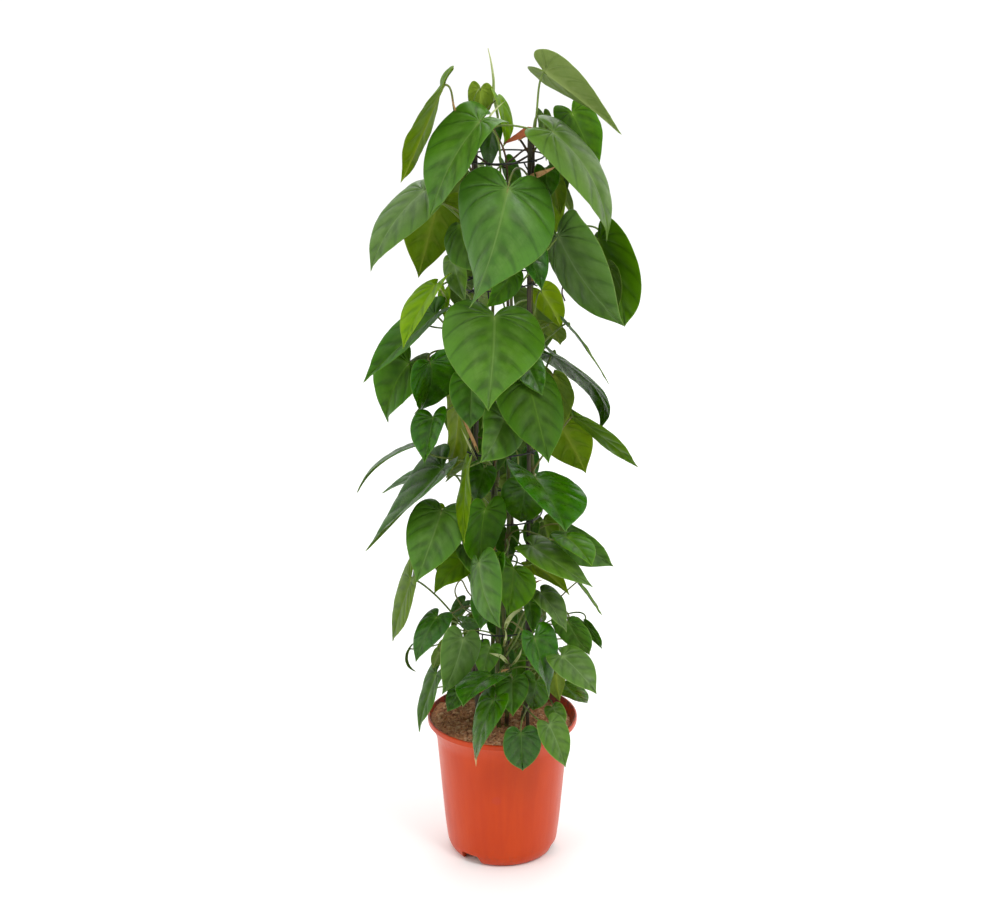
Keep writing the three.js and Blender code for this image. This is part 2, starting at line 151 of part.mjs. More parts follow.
  ["", "right", 868.0, 0.6, 0.6, 0.0, 49.4, -40.8, 889.5, -0.3205, 1.4661, -2.473, 37.3, 0.864, 0.302, -0.197, 0.176, 0.098, 0.03, 0.044, 0.458, "dk"],
  ["", "right", 877.0, 0.6, 0.6, 0.0, 62.8, 20.5, 882.7, -1.1501, 0.4933, -0.8141, 43.4, 0.744, 0.248, -0.519, 0.171, 0.064, -0.085, 0.006, 0.348, "dk"],
  ["", "right", 858.7, 1, 1, 0, 59.1, 19.9, 868.7, -1.293, 0.3417, -0.7281, 47.4, 0.697, 0.203, -0.733, 0.318, -0.004, 0.003, 0.015, 0.3, "ol"],
  ["", "right", 776.7, 1.8, 0.4, 0.5, 123.4, -32.6, 772.7, -1.1842, 0.6503, -0.9976, 64.5, 0.81, 0.187, -0.766, 0.442, 0.003, 0.047, -0.103, 0.368, "mg"],
  ["", "right", 706.5, 1, 1, 0, 46.0, -4.3, 737.5, -1.2924, -0.0811, -0.8645, 53.1, 0.803, 0.23, -0.754, 0.394, 0.016, -0.019, -0.104, 0.261, "li"],
  ["", "right", 682.4, 1, 1, 0, 55.5, 15.4, 692.4, -0.6946, 0.2066, -0.4944, 49.6, 0.814, 0.124, -0.85, 0.17, -0.025, -0.032, -0.046, 0.302, "un"],
  ["", "right", 636.3, 1, 1, 0, 59.8, -48.8, 646.3, -1.0627, 0.5475, -0.6789, 73.8, 0.798, 0.184, -0.62, 0.369, -0.012, 0.028, 0.165, 0.548, "ol"],
  ["", "right", 534.9, 1, 1, 0.6, 73.1, 22.3, 558.9, -1.2996, -0.3197, -0.4032, 69.6, 0.909, 0.122, -1.023, 0.266, -0.002, 0.036, -0.015, 0.3, "ol"],
  ["", "right", 448.4, 0.6, 0.6, 0.0, 38.1, -15.8, 444.7, -0.2949, -1.3612, 2.231, 30.7, 0.745, 0.373, -0.585, 0.297, 0.061, -0.015, -0.056, 0.417, "mg"],
  ["", "right", 436.2, 0.6, 0.6, 0.0, 50.7, 13.2, 440.7, -1.315, 0.1802, -0.6013, 43.8, 0.816, 0.346, -0.101, 0.419, 0.093, 0.076, 0.032, 0.155, "dk"],
  ["", "right", 300.8, 0.4, 0.4, 0, 93.6, -29.7, 373.8, -1.918, -1.6032, 1.0617, 50.2, 0.753, 0.051, -0.868, -0.069, -0.055, 0.062, -0.002, 0.3, "dk"],
  ["", "right", 319.0, 1, 1, 0, 81.3, -52.8, 331.5, -0.9784, -2.2306, 1.6379, 60.7, 0.904, 0.226, -0.716, 0.282, -0.006, -0.014, -0.004, 0.2, "mg"],
  ["", "right", 291.0, 1, 1, 0, 102.1, -34.5, 323.5, -1.2693, -2.1618, 1.3031, 47.9, 0.752, 0.145, -0.767, -0.047, -0.054, 0.036, 0.07, 0.13, "dk"],
  ["", "right", 277.0, 1.8, 0.4, 0.5, 72.5, -102.8, 307.2, -0.1285, 0.4918, -2.2309, 63.4, 0.905, 0.217, -0.637, 0.407, 0.0, 0.215, 0.016, 0.423, "gg"],
  ["", "right", 298.0, 1, 1, 0.6, 87.0, -5.2, 306.6, -0.5168, 0.8847, -1.2984, 43.2, 0.808, 0.126, -1.041, 0.404, -0.027, 0.075, 0.036, 0.265, "mg"],
  ["", "right", 249.0, 1, 1, 0, 83.2, 57.9, 262.4, -1.0953, 0.7932, -1.0959, 63.4, 0.766, 0.29, -0.513, 0.31, 0.065, -0.039, -0.068, 0.302, "mg"],
  ["", "right", 242.0, 1, 1, 0, 79.6, 2.4, 258.6, -0.45, 0.7702, -1.1965, 51.4, 0.9, 0.161, -0.57, 0.234, 0.001, 0.13, -0.146, 0.412, "gg"],
  ["", "right", 235.0, 1, 1, 0, 77.8, -58.3, 249.7, 1.1065, 2.5293, -1.4576, 49.8, 0.907, 0.195, -0.763, 0.208, -0.017, -0.039, 0.038, 0.287, "dk"],
  ["", "right", 228.0, 1, 1, 0, 80.0, 38.5, 237.5, -0.9462, 0.856, -1.1817, 44.6, 0.862, 0.172, -0.814, 0.436, 0.039, -0.119, 0.166, 0.216, "mg"],
  ["", "right", 186.0, 1.2, 0.8, 1.0, 22.5, -119.1, 213.1, -0.0844, 2.0869, -2.2294, 55.6, 0.92, 0.479, -0.275, 0.364, 0.003, 0.013, -0.074, 0.353, "mg"],
  ["", "back_left", 868.2, 0.6, 0.6, 0.0, 2.8, 1.5, 887.4, -0.7415, 1.0968, -1.8155, 61.2, 0.773, 0.319, -0.26, 0.389, 0.106, -0.094, -0.056, 0.133, "mg"],
  ["", "back_left", 853.7, 1.8, 0.4, 0.5, -39.1, 113.6, 856.7, -0.9181, -0.5271, 0.5095, 66.7, 0.859, 0.308, -0.503, 0.495, 0.034, 0.083, -0.023, 0.412, "gg"],
  ["", "back_left", 841.7, 1.2, 0.8, 1.0, 70.7, 36.1, 851.7, -1.2793, 0.3571, -1.3131, 41.2, 0.7, 0.207, -0.754, 0.368, 0.009, -0.011, -0.035, 0.3, "un"],
  ["", "back_left", 771.2, 1, 1, 0, -30.3, 94.3, 781.2, -0.8144, 0.2871, -0.1687, 77.3, 0.884, 0.239, -0.573, 0.354, 0.014, -0.176, 0.006, 0.41, "dk"],
  ["", "back_left", 644.5, 1, 1, 0, -18.1, 113.4, 654.5, -0.9362, -0.5104, 0.3541, 82.8, 0.801, 0.209, -0.768, 0.389, 0.066, 0.153, 0.093, 0.418, "dk"],
  ["", "back_left", 522.4, 1, 1, 0, -32.3, 104.8, 546.4, -0.8708, -0.5418, 0.5964, 80.7, 0.812, 0.249, -0.607, 0.571, 0.063, -0.083, -0.081, 0.149, "mg"],
  ["", "back_left", 492.6, 0.6, 0.6, 0.0, -32.2, 55.4, 508.0, -0.708, -0.19, 0.9815, 56.2, 0.852, 0.244, -0.229, 0.032, 0.114, -0.151, -0.199, 0.481, "dk"],
  ["", "back_left", 481.7, 1, 1, 0, -13.5, 103.4, 484.7, -0.9774, 0.2229, 0.0168, 69.8, 0.818, 0.25, -0.604, 0.309, 0.043, 0.084, -0.04, 0.158, "dk"],
  ["", "back_left", 450.7, 1, 1, 0, -5.0, 110.5, 460.7, -1.1891, -0.1128, -0.1381, 65.5, 0.831, 0.145, -0.923, 0.288, 0.004, -0.018, -0.068, 0.234, "mg"],
  ["", "back_left", 438.3, 1, 1, 0, -25.2, 91.7, 448.3, -0.9452, -0.2647, -0.0142, 51.3, 0.895, 0.132, -1.049, 0.235, 0.041, -0.016, -0.035, 0.408, "mg"],
  ["", "back_left", 419.7, 0.6, 0.6, 0.0, 6.2, -5.8, 434.1, -0.3411, -1.3547, 2.6261, 44.3, 0.787, 0.299, -0.5, 0.21, 0.046, 0.12, -0.186, 0.238, "dk"],
  ["", "back_left", 418.2, 1, 1, 0, -90.5, 93.0, 428.2, -1.3722, -0.1186, 0.2511, 45.2, 0.846, 0.283, -1.1, 0.388, 0.028, 0.05, -0.095, 0.235, "ol"],
  ["", "back_left", 398.3, 1, 1, -0.6, -19.2, 89.0, 408.3, -0.7857, -0.0939, 0.4732, 57.0, 0.847, 0.187, -0.928, 0.421, -0.0, 0.189, -0.146, 0.368, "mg"],
  ["", "back_left", 398.1, 1, 1, 0, -74.8, 89.0, 408.1, -1.2598, -0.7083, 0.8624, 79.6, 0.829, 0.122, -0.937, 0.468, 0.074, 0.043, -0.078, 0.497, "mg"],
  ["", "back_left", 371.1, 1, 1, 0, -3.6, 90.7, 388.1, -0.825, 0.1038, 0.1594, 53.0, 0.838, 0.181, -1.094, 0.44, 0.039, -0.023, 0.165, 0.181, "gg"],
  ["", "back_left", 325.0, 1, 1, 0, -25.4, 75.3, 349.0, -0.8924, 0.3866, -0.3222, 70.7, 0.807, 0.218, -0.589, 0.322, 0.061, -0.102, -0.071, 0.322, "dk"],
  ["", "back_left", 326.2, 0.6, 0.6, 0.0, -1.1, -6.7, 325.2, -0.0927, 1.7349, -2.5054, 46.7, 0.872, 0.247, -0.601, 0.306, 0.061, -0.209, 0.065, 0.108, "dk"],
  ["", "back_left", 326.7, 0.6, 0.6, 0.0, -48.2, 40.7, 321.2, -0.0792, -1.0116, 1.9563, 31.3, 0.748, 0.171, -0.475, 0.34, 0.013, 0.008, 0.123, 0.429, "dk"],
  ["", "back_left", 293.7, 0.6, 0.6, 0.0, -45.4, 56.4, 304.9, -0.8284, -0.3067, 1.0327, 41.4, 0.773, 0.215, -0.168, 0.494, 0.104, 0.066, -0.14, 0.16, "dk"],
  ["", "back_left", 235.0, 1.5, 0.6, 0, -57.4, 69.2, 246.2, -0.9588, -0.1379, 0.3505, 47.1, 0.905, 0.307, -0.614, 0.334, -0.024, 0.058, 0.058, 0.458, "mg"],
  ["", "back_left", 228.0, 1, 1, 0, -11.8, 83.0, 237.4, -0.8411, -0.1266, -0.2382, 48.1, 0.774, 0.25, -0.746, 0.619, -0.014, 0.066, -0.155, 0.426, "dk"],
  ["", "back_left", 214.0, 1, 1, 0, -44.3, 74.8, 225.1, -1.073, -0.4476, 0.3447, 52.1, 0.902, 0.215, -0.617, 0.23, 0.035, 0.146, 0.132, 0.102, "dk"],
  ["", "back_right", 753.0, 0.6, 0.6, 0.0, -29.2, 61.5, 749.5, -0.688, -0.1954, 0.6278, 58.0, 0.838, 0.259, -0.295, 0.493, 0.037, -0.124, 0.172, 0.549, "dk"],
  ["", "back_right", 575.4, 1, 1, 0, 33.0, 100.2, 585.4, -0.7252, 0.6259, -0.8654, 82.5, 0.843, 0.263, -0.905, 0.228, 0.016, 0.174, 0.083, 0.185, "gg"],
  ["", "back_right", 568.9, 1, 1, 0, -1.3, 144.0, 578.9, -1.2673, -0.5201, 0.5602, 60.7, 0.763, 0.264, -1.085, 0.392, 0.015, -0.026, 0.159, 0.241, "mg"],
  ["", "back_right", 544.1, 0.6, 0.6, 0.0, -8.7, 10.2, 550.3, -0.1433, -1.6663, 2.1702, 57.4, 0.792, 0.259, -0.128, 0.45, 0.058, -0.054, -0.09, 0.191, "mg"],
  ["", "back_right", 529.9, 1, 1, 0, 43.9, 99.9, 539.9, -1.011, 0.4203, -0.7711, 55.0, 0.818, 0.202, -1.098, 0.414, 0.068, -0.176, 0.16, 0.296, "mg"],
  ["", "back_right", 510.8, 0.6, 0.6, 0.0, 22.8, 15.4, 526.8, -0.2734, 1.7901, -2.3146, 58.4, 0.782, 0.132, -0.121, 0.183, 0.107, -0.127, -0.097, 0.279, "dk"],
  ["", "back_right", 503.8, 1, 1, 0, 4.4, 102.9, 513.8, -1.0158, -0.1595, -0.1473, 86.7, 0.805, 0.132, -0.594, 0.42, 0.036, 0.154, -0.002, 0.211, "dk"],
  ["", "back_right", 452.4, 1, 1, 0.6, 54.0, 64.5, 462.4, -0.7256, 0.5934, -0.6445, 77.1, 0.901, 0.285, -0.845, 0.264, 0.061, 0.173, 0.06, 0.212, "gg"],
  ["", "back_right", 407.8, 1, 1, 0, 69.5, 55.9, 417.8, -0.927, 0.1812, -1.053, 59.0, 0.78, 0.18, -0.914, 0.517, -0.022, -0.156, 0.056, 0.369, "dk"],
  ["", "back_right", 402.1, 1, 1, 0, 47.0, 80.8, 412.1, -1.0091, 0.0667, -0.6237, 41.0, 0.769, 0.306, -0.744, 0.345, -0.003, -0.198, -0.169, 0.358, "mg"],
  ["", "back_right", 360.9, 1, 1, 0, 62.6, 63.4, 370.9, -0.7907, -0.3111, -0.0907, 46.1, 0.761, 0.185, -0.978, 0.206, 0.025, -0.17, 0.144, 0.375, "mg"],
  ["", "back_right", 298.0, 1, 1, -0.6, 35.6, 70.7, 330.9, -0.7728, 0.7267, -0.8384, 76.6, 0.889, 0.143, -0.66, 0.563, 0.062, 0.19, 0.076, 0.491, "mg"],
  ["", "back_right", 284.4, 0.6, 0.6, 0.0, -26.1, 61.6, 289.5, -1.1183, 0.2783, 0.835, 37.3, 0.882, 0.399, -0.636, 0.46, 0.029, -0.072, -0.108, 0.348, "mg"],
  ["", "back_right", 277.0, 1, 1, 0, 10.8, 92.0, 287.1, -0.9912, 0.5254, -0.496, 68.2, 0.805, 0.308, -0.798, 0.243, -0.025, 0.196, 0.028, 0.122, "dk"],
  ["", "back_right", 261.1, 0.6, 0.6, 0.0, 17.2, 16.0, 259.3, -0.3715, 1.5631, -2.4322, 47.4, 0.858, 0.127, -0.416, 0.081, 0.051, 0.029, 0.067, 0.341, "mg"],
  ["", "back_right", 242.0, 1, 1, 0, 23.7, 75.4, 251.9, -0.8582, -0.0704, -0.3518, 55.5, 0.847, 0.313, -1.066, 0.522, 0.067, -0.014, 0.148, 0.253, "mg"],
  ["", "back_right", 221.0, 1, 1, 0, 45.5, 78.3, 232.6, -1.046, -0.062, -0.1131, 54.9, 0.862, 0.268, -0.873, 0.526, 0.047, -0.045, -0.17, 0.485, "dk"],
  ["", "back_right", 221.0, 1, 1, -0.6, 67.3, 65.8, 231.2, -1.1489, 0.6205, -0.8869, 35.3, 0.865, 0.165, -0.757, 0.392, 0.034, 0.151, -0.006, 0.342, "dk"],
];

// ---- helpers
const rad = (d) => (d * Math.PI) / 180;
const V3 = (x, y, z) => new THREE.Vector3(x, y, z);

// A closed geometry as a solid.
function solid(geometry) {
  let g = geometry.clone();
  g.deleteAttribute("normal");
  g.deleteAttribute("uv");
  g = mergeVertices(g, 1e-4);
  return new wasm.Manifold(new wasm.Mesh({ numProp: 3, vertProperties: new Float32Array(g.attributes.position.array), triVerts: new Uint32Array(g.index.array) }));
}

// Vertices that a join left closer together than a short length become one, faces that collapse go, and the one outer skin is kept:
// a blade and its petiole can close in a pocket far smaller than a grain of sand.
function outerSkin(p, faces) {
  const roots = (n) => {
    const parent = Array.from({ length: n }, (_, i) => i);
    const find = (i) => { while (parent[i] !== i) i = parent[i] = parent[parent[i]]; return i; };
    return { find, link: (i, j) => { i = find(i); j = find(j); if (i !== j) parent[Math.max(i, j)] = Math.min(i, j); } };
  };
  const v = [V3(), V3(), V3()];
  for (const short of [0.04, 0.02, 0.01, 0.004, 0.001, 0]) {
    const near = roots(p.length / 3);
    for (let i = 0; i < faces.length; i += 3)
      for (let k = 0; k < 3; k++) {
        const a = faces[i + k], b = faces[i + ((k + 1) % 3)];
        if (v[0].fromArray(p, 3 * a).distanceTo(v[1].fromArray(p, 3 * b)) < short) near.link(a, b);
      }
    const tri = [], seen = new Map();
    for (let i = 0; i < faces.length; i += 3) {
      const [a, b, c] = [0, 1, 2].map((k) => near.find(faces[i + k]));
      if (a === b || b === c || a === c) continue;
      const key = [a, b, c].sort((x, y) => x - y).join();
      if (seen.has(key)) { tri[seen.get(key)] = null; seen.delete(key); } else { seen.set(key, tri.length); tri.push([a, b, c]); }
    }
    const kept = tri.filter(Boolean), body = roots(p.length / 3), size = new Map();
    for (const [a, b, c] of kept) { body.link(a, b); body.link(b, c); }
    for (const t of kept) {
      v.forEach((u, k) => u.fromArray(p, 3 * t[k]));
      const r = body.find(t[0]);
      size.set(r, (size.get(r) || 0) + v[0].dot(v[1].clone().cross(v[2])) / 6);
    }
    const main = [...size].sort((a, b) => b[1] - a[1])[0][0], skin = kept.filter((t) => body.find(t[0]) === main);
    const edges = new Map();
    for (const t of skin) for (let k = 0; k < 3; k++) { const e = t[k] + "_" + t[(k + 1) % 3]; edges.set(e, (edges.get(e) || 0) + 1); }
    const closed = [...edges].every(([e, n]) => n === 1 && edges.get(e.split("_").reverse().join("_")) === 1);
    if (closed || short === 0) return swapNeedles(p, skin).flat();
  }
}

// A triangle thinner than a few microns gives its longest edge up: the edge is swapped for the other diagonal of the two triangles that share it.
function swapNeedles(p, tri) {
  const at = (i) => V3(p[3 * i], p[3 * i + 1], p[3 * i + 2]);
  const shape = (t) => {
    const [a, b, c] = t.map(at), n = b.clone().sub(a).cross(c.clone().sub(a)), l = [a.distanceTo(b), b.distanceTo(c), c.distanceTo(a)];
    const long = l.indexOf(Math.max(...l));
    return { height: n.length() / l[long], long, normal: n.normalize() };
  };
  for (let pass = 0; pass < 30; pass++) {
    const owner = new Map();
    tri.forEach((t, i) => { for (let k = 0; k < 3; k++) owner.set(t[k] + "_" + t[(k + 1) % 3], i); });
    let best = null;
    const thin = tri.map((t, i) => [shape(t).height, i]).filter(([h]) => h < 0.012).sort((a, b) => a[0] - b[0]);
    for (const [h, i] of thin) {
      const t = tri[i], k = shape(t).long, a = t[k], b = t[(k + 1) % 3], c = t[(k + 2) % 3], j = owner.get(b + "_" + a);
      const d = tri[j].find((v) => v !== a && v !== b);
      if (owner.has(c + "_" + d) || owner.has(d + "_" + c)) continue;
      const one = [a, d, c], two = [d, b, c], n = shape(tri[j]).normal, s1 = shape(one), s2 = shape(two);
      if (Math.min(s1.height, s2.height) <= h || s1.normal.dot(n) < 0.3 || s2.normal.dot(n) < 0.3) continue;
      best = [i, j, one, two];
      break;
    }
    if (!best) break;
    tri[best[0]] = best[2];
    tri[best[1]] = best[3];
  }
  return tri;
}

// A solid as a geometry.
function geometryOf(s) {
  const m = s.getMesh(), n = m.numProp, p = new Float32Array(m.numVert * 3);
  for (let i = 0; i < m.numVert; i++) for (let k = 0; k < 3; k++) p[i * 3 + k] = m.vertProperties[i * n + k];
  const g = new THREE.BufferGeometry();
  g.setAttribute("position", new THREE.BufferAttribute(p, 3));
  g.setIndex(outerSkin(p, m.triVerts));
  g.computeVertexNormals();
  return g;
}

// A round tube along points, with a radius for each point, as an extruded section that is then tapered.
function tube(points, radii, sides) {
  const path = new THREE.CurvePath();
  for (let i = 1; i < points.length; i++) path.add(new THREE.LineCurve3(points[i - 1], points[i]));
  const curve = new THREE.CatmullRomCurve3(points, false, "centripetal");
  const steps = points.length - 1;
  curve.getPointAt = (u) => curve.getPoint(u); // the rings sit on the given points
  curve.getSpacedPoints = (n) => Array.from({ length: n + 1 }, (_, i) => curve.getPoint(i / n));
  const r0 = Math.max(...radii);
  const shape = new THREE.Shape();
  for (let k = 0; k < sides; k++) {
    const a = (2 * Math.PI * k) / sides;
    if (k === 0) shape.moveTo(r0 * Math.cos(a), r0 * Math.sin(a));
    else shape.lineTo(r0 * Math.cos(a), r0 * Math.sin(a));
  }
  shape.closePath();
  const g = new THREE.ExtrudeGeometry(shape, { steps, bevelEnabled: false, extrudePath: curve });
  const pos = g.attributes.position, v = V3();
  for (let i = 0; i < pos.count; i++) {
    v.fromBufferAttribute(pos, i);
    let best = 0, d = Infinity;
    points.forEach((c, j) => { const q = Math.abs(c.distanceTo(v) - r0); if (q < d - 1e-4 || (Math.abs(q - d) <= 1e-4 && c.distanceTo(v) < points[best].distanceTo(v))) { d = q; best = j; } });
    v.sub(points[best]).multiplyScalar(radii[best] / r0).add(points[best]);
    pos.setXYZ(i, v.x, v.y, v.z);
  }
  return g;
}

function bezier(p0, p1, p2, p3, n) {
  return new THREE.CubicBezierCurve3(p0, p1, p2, p3).getPoints(n);
}

// Flat blade coordinates (across, along) to the bent blade, both for a length of 1. Also gives the upward direction there.
function bend(x, y, p) {
  const o = V3(0, 0, 0), t = V3(0, 1, 0), n = V3(0, 0, 1), b = V3(1, 0, 0), h = 1 / BEND_STEPS;
  const f = Math.min(Math.max(y, 0), 1) * BEND_STEPS, i = Math.min(Math.floor(f), BEND_STEPS - 1), w = f - i;
  const turn = (u, v, a) => { // turns u towards v
    const c = Math.cos(a), s = Math.sin(a), u2 = u.clone().multiplyScalar(c).addScaledVector(v, s), v2 = v.clone().multiplyScalar(c).addScaledVector(u, -s);
    u.copy(u2);
    v.copy(v2);
  };
  const at = [];
  for (let k = 0; k <= i; k++) {
    if (k === i) at.push(o.clone(), n.clone(), b.clone());
    const yy = (k + 0.5) * h;
    turn(t, n, -h * (p.arch + 3 * p.arch2 * yy * yy));
    turn(t, b, h * p.sickle);
    turn(n, b, h * p.twist);
    o.addScaledVector(t, h);
  }
  const O = at[0].lerp(o, w), N = at[1].lerp(n, w), B = at[2].lerp(b, w);
  if (y < 0) {
    const a = ((p.lobe * -y) / 0.18) * 0.5;
    O.set(0, y * Math.cos(a), y * Math.sin(a));
    N.set(0, -Math.sin(a), Math.cos(a));
    B.set(1, 0, 0);
  }
  const K = Math.abs(p.cup) < 1e-3 ? 1e-3 : p.cup, a = Math.abs(x);
  const X = (Math.sin(p.fold + K * a) - Math.sin(p.fold)) / K, Z = (Math.cos(p.fold) - Math.cos(p.fold + K * a)) / K;
  return { at: O.addScaledVector(B, Math.sign(x) * X).addScaledVector(N, Z), up: N.normalize() };
}

// A blade: a closed lens, thickest at the midrib.
function blade(leaf) {
  const small = !leaf.node_name, OUTLINE = small ? SMALL_OUTLINE : HALF_OUTLINE, MIDRIB = small ? SMALL_MIDRIB_AT : MIDRIB_AT;
  const pts = [], tri = [];
  const add = (x, y, off) => {
    const q = bend(x, y, leaf);
    pts.push(q.at.multiplyScalar(leaf.length).addScaledVector(q.up, off).applyQuaternion(leaf.turn).add(leaf.base));
    return pts.length - 1;
  };
  const top = MIDRIB.map((y) => add(0, y, BLADE_T / 2)), low = MIDRIB.map((y) => add(0, y, -BLADE_T / 2));
  const tip = add(0, 1, 0);
  for (const s of [1, -1]) {
    const edge = [], row = [];
    for (const [X, Y] of OUTLINE.slice(1, -1)) {
      edge.push(add(((s * X) / 0.44) * 0.5 * leaf.ratio, Y, 0));
      const m = Math.min(Math.max((Y - 0.06) / 0.94, 0), 1);
      let r = 0;
      MIDRIB.forEach((v, j) => { if (Math.abs(v - m) < Math.abs(MIDRIB[r] - m)) r = j; });
      row.push(Math.max(r, row.length ? row[row.length - 1] : 0));
    }
    for (const [M, under] of [[top, false], [low, true]]) {
      const put = (a, b, c) => tri.push(...(s < 0 !== under ? [a, c, b] : [a, b, c]));
      let k = 0;
      edge.forEach((e, i) => {
        if (i > 0) put(M[k], edge[i - 1], e);
        for (; k < row[i]; k++) put(M[k], e, M[k + 1]);
      });
      for (; k < M.length - 1; k++) put(M[k], edge[edge.length - 1], M[k + 1]);
      put(M[k], edge[edge.length - 1], tip);
    }
    tri.push(...(s < 0 ? [top[0], edge[0], low[0]] : [top[0], low[0], edge[0]]));
  }
  const g = new THREE.BufferGeometry();
  g.setAttribute("position", new THREE.BufferAttribute(new Float32Array(pts.flatMap((p) => [p.x, p.y, p.z])), 3));
  g.setIndex(tri);
  return g;
}

// ---- vine stems
function stemPoint(name, z) {
  const c = STEMS[name], n = c.length;
  if (z <= c[0][2]) return V3(...c[0]);
  for (let i = 1; i < n; i++)
    if (z <= c[i][2]) {
      const w = (z - c[i - 1][2]) / (c[i][2] - c[i - 1][2]);
      return V3(c[i - 1][0] + (c[i][0] - c[i - 1][0]) * w, c[i - 1][1] + (c[i][1] - c[i - 1][1]) * w, z);
    }
  return V3(...c[n - 1]);
}
const stemR = (name, z) => {
  const c = STEMS[name];
  return STEM_FOOT_R + ((STEM_TOP_R - STEM_FOOT_R) * (z - STEM_FOOT_Z)) / (c[c.length - 1][2] - STEM_FOOT_Z);
};
function stemTube(name, grow) {
  const c = STEMS[name].filter((_, i, a) => i % 2 === 0 || i === a.length - 1);
  return tube(c.map((p) => V3(...p)), c.map((p) => stemR(name, p[2]) + grow), 7);
}

// The petiole leaves its stem outwards and upwards and comes down on the sinus from behind the blade.
function petiole(leaf, joined) {
  const s0 = stemPoint(leaf.stem, leaf.node), d = leaf.base.clone().sub(s0), dist = d.length();
  const dh = V3(d.x, d.y, 0).normalize();
  const out = dh.clone().multiplyScalar(Math.cos(leaf.swing)).add(V3(-dh.y, dh.x, 0).multiplyScalar(Math.sin(leaf.swing))).normalize();
  const from = s0.clone().addScaledVector(out, stemR(leaf.stem, leaf.node) + 0.35);
  const along = V3(0, 1, 0).applyQuaternion(leaf.turn), up = V3(0, 0, 1).applyQuaternion(leaf.turn);
  const p1 = from.clone().addScaledVector(out, 0.18 * dist * leaf.rise).add(V3(0, 0, 0.3 * dist * leaf.rise));
  const p2 = leaf.base.clone().addScaledVector(up, -(0.28 * dist * leaf.drop + 2)).addScaledVector(along, -0.16 * dist * leaf.drop);
  const pts = bezier(from, p1, p2, leaf.base.clone().addScaledVector(up, -0.2), 3);
  if (joined) pts[0] = s0.clone();
  else pts[0] = from.clone().addScaledVector(out, 1.15);
  pts.push(leaf.base.clone().addScaledVector(along, Math.min(4, 0.05 * leaf.length)).addScaledVector(up, -0.1));
  return tube(pts, pts.map(() => PETIOLE_R), 3);
}

const leaves = LEAVES.map((r) => {
  const v = V3(r[9], r[10], r[11]), a = v.length();
  return { node_name: r[0], stem: r[1], node: r[2], rise: r[3], drop: r[4], swing: r[5], base: V3(r[6], r[7], r[8]),
    turn: new THREE.Quaternion().setFromAxisAngle(a ? v.normalize() : V3(1, 0, 0), a), length: r[12], ratio: r[13],
    fold: r[14], cup: r[15], arch: r[16], arch2: r[17], twist: r[18], sickle: r[19], lobe: r[20], tone: r[21] };
});

// ---- pot: thin wall, flared collar and rim band, floor with drain holes, three notches in the foot
function makePot() {
  const R = POT_RIM_R, H = POT_HEIGHT, W = POT_WALL, F = POT_FOOT_R;
  const outer = [[F, 0], [F + 2.8, 1.6], [F + 6.2, 7], [F + 8.6, 14], [F + 11.8, 39], [78, 88], [84, 157], [88.6, 169], [92.2, 176], [R, 177], [R, H - 1], [R - 0.9, H]];
  const inner = [[R - 2.6, H], [91.2 - W, 175], [84 - W, 158], [78 - W, 88], [F + 11.8 - W, 39], [F + 8.8 - W, 18], [F + 5.6, 12.4], [0, 11.6]];
  const under = [[0, 9.4], [F - 2, 9.4], [F - 3, 0]];
  const prof = [...under, ...outer, ...inner].map(([x, z]) => new THREE.Vector2(x, z));
  const g = new THREE.LatheGeometry(prof, 36);
  g.rotateX(Math.PI / 2);
  let s = solid(g);
  for (const d of FOOT_NOTCH_AT) {
    const shape = new THREE.Shape([[-FOOT_NOTCH_W / 2 - 1.2, -2], [FOOT_NOTCH_W / 2 + 1.2, -2], [FOOT_NOTCH_W / 2 - 1.4, FOOT_NOTCH_H], [-FOOT_NOTCH_W / 2 + 1.4, FOOT_NOTCH_H]].map(([x, y]) => new THREE.Vector2(x, y)));
    const cut = new THREE.ExtrudeGeometry(shape, { depth: 24, bevelEnabled: false });
    cut.rotateX(Math.PI / 2); // across, and up along Z
    cut.rotateZ(rad(d + 90));
    cut.translate(52 * Math.cos(rad(d)), 52 * Math.sin(rad(d)), 0);
    const dir = V3(Math.cos(rad(d)), Math.sin(rad(d)), 0);
    cut.computeBoundingBox();
    const c = cut.boundingBox.getCenter(V3());
    const want = dir.clone().multiplyScalar(POT_FOOT_R + 2);
    cut.translate(want.x - c.x, want.y - c.y, 0);
    s = s.subtract(solid(cut));
  }
  for (let i = 0; i < 6; i++) {
    const a = rad(22 + 60 * i), r = i % 2 ? 24 : 42;
    const hole = new THREE.CylinderGeometry(DRAIN_HOLE_R, DRAIN_HOLE_R, 8, 12);
    hole.rotateX(Math.PI / 2);
    hole.translate(r * Math.cos(a), r * Math.sin(a), 10.5);
    s = s.subtract(solid(hole));
  }
  return geometryOf(s);
}

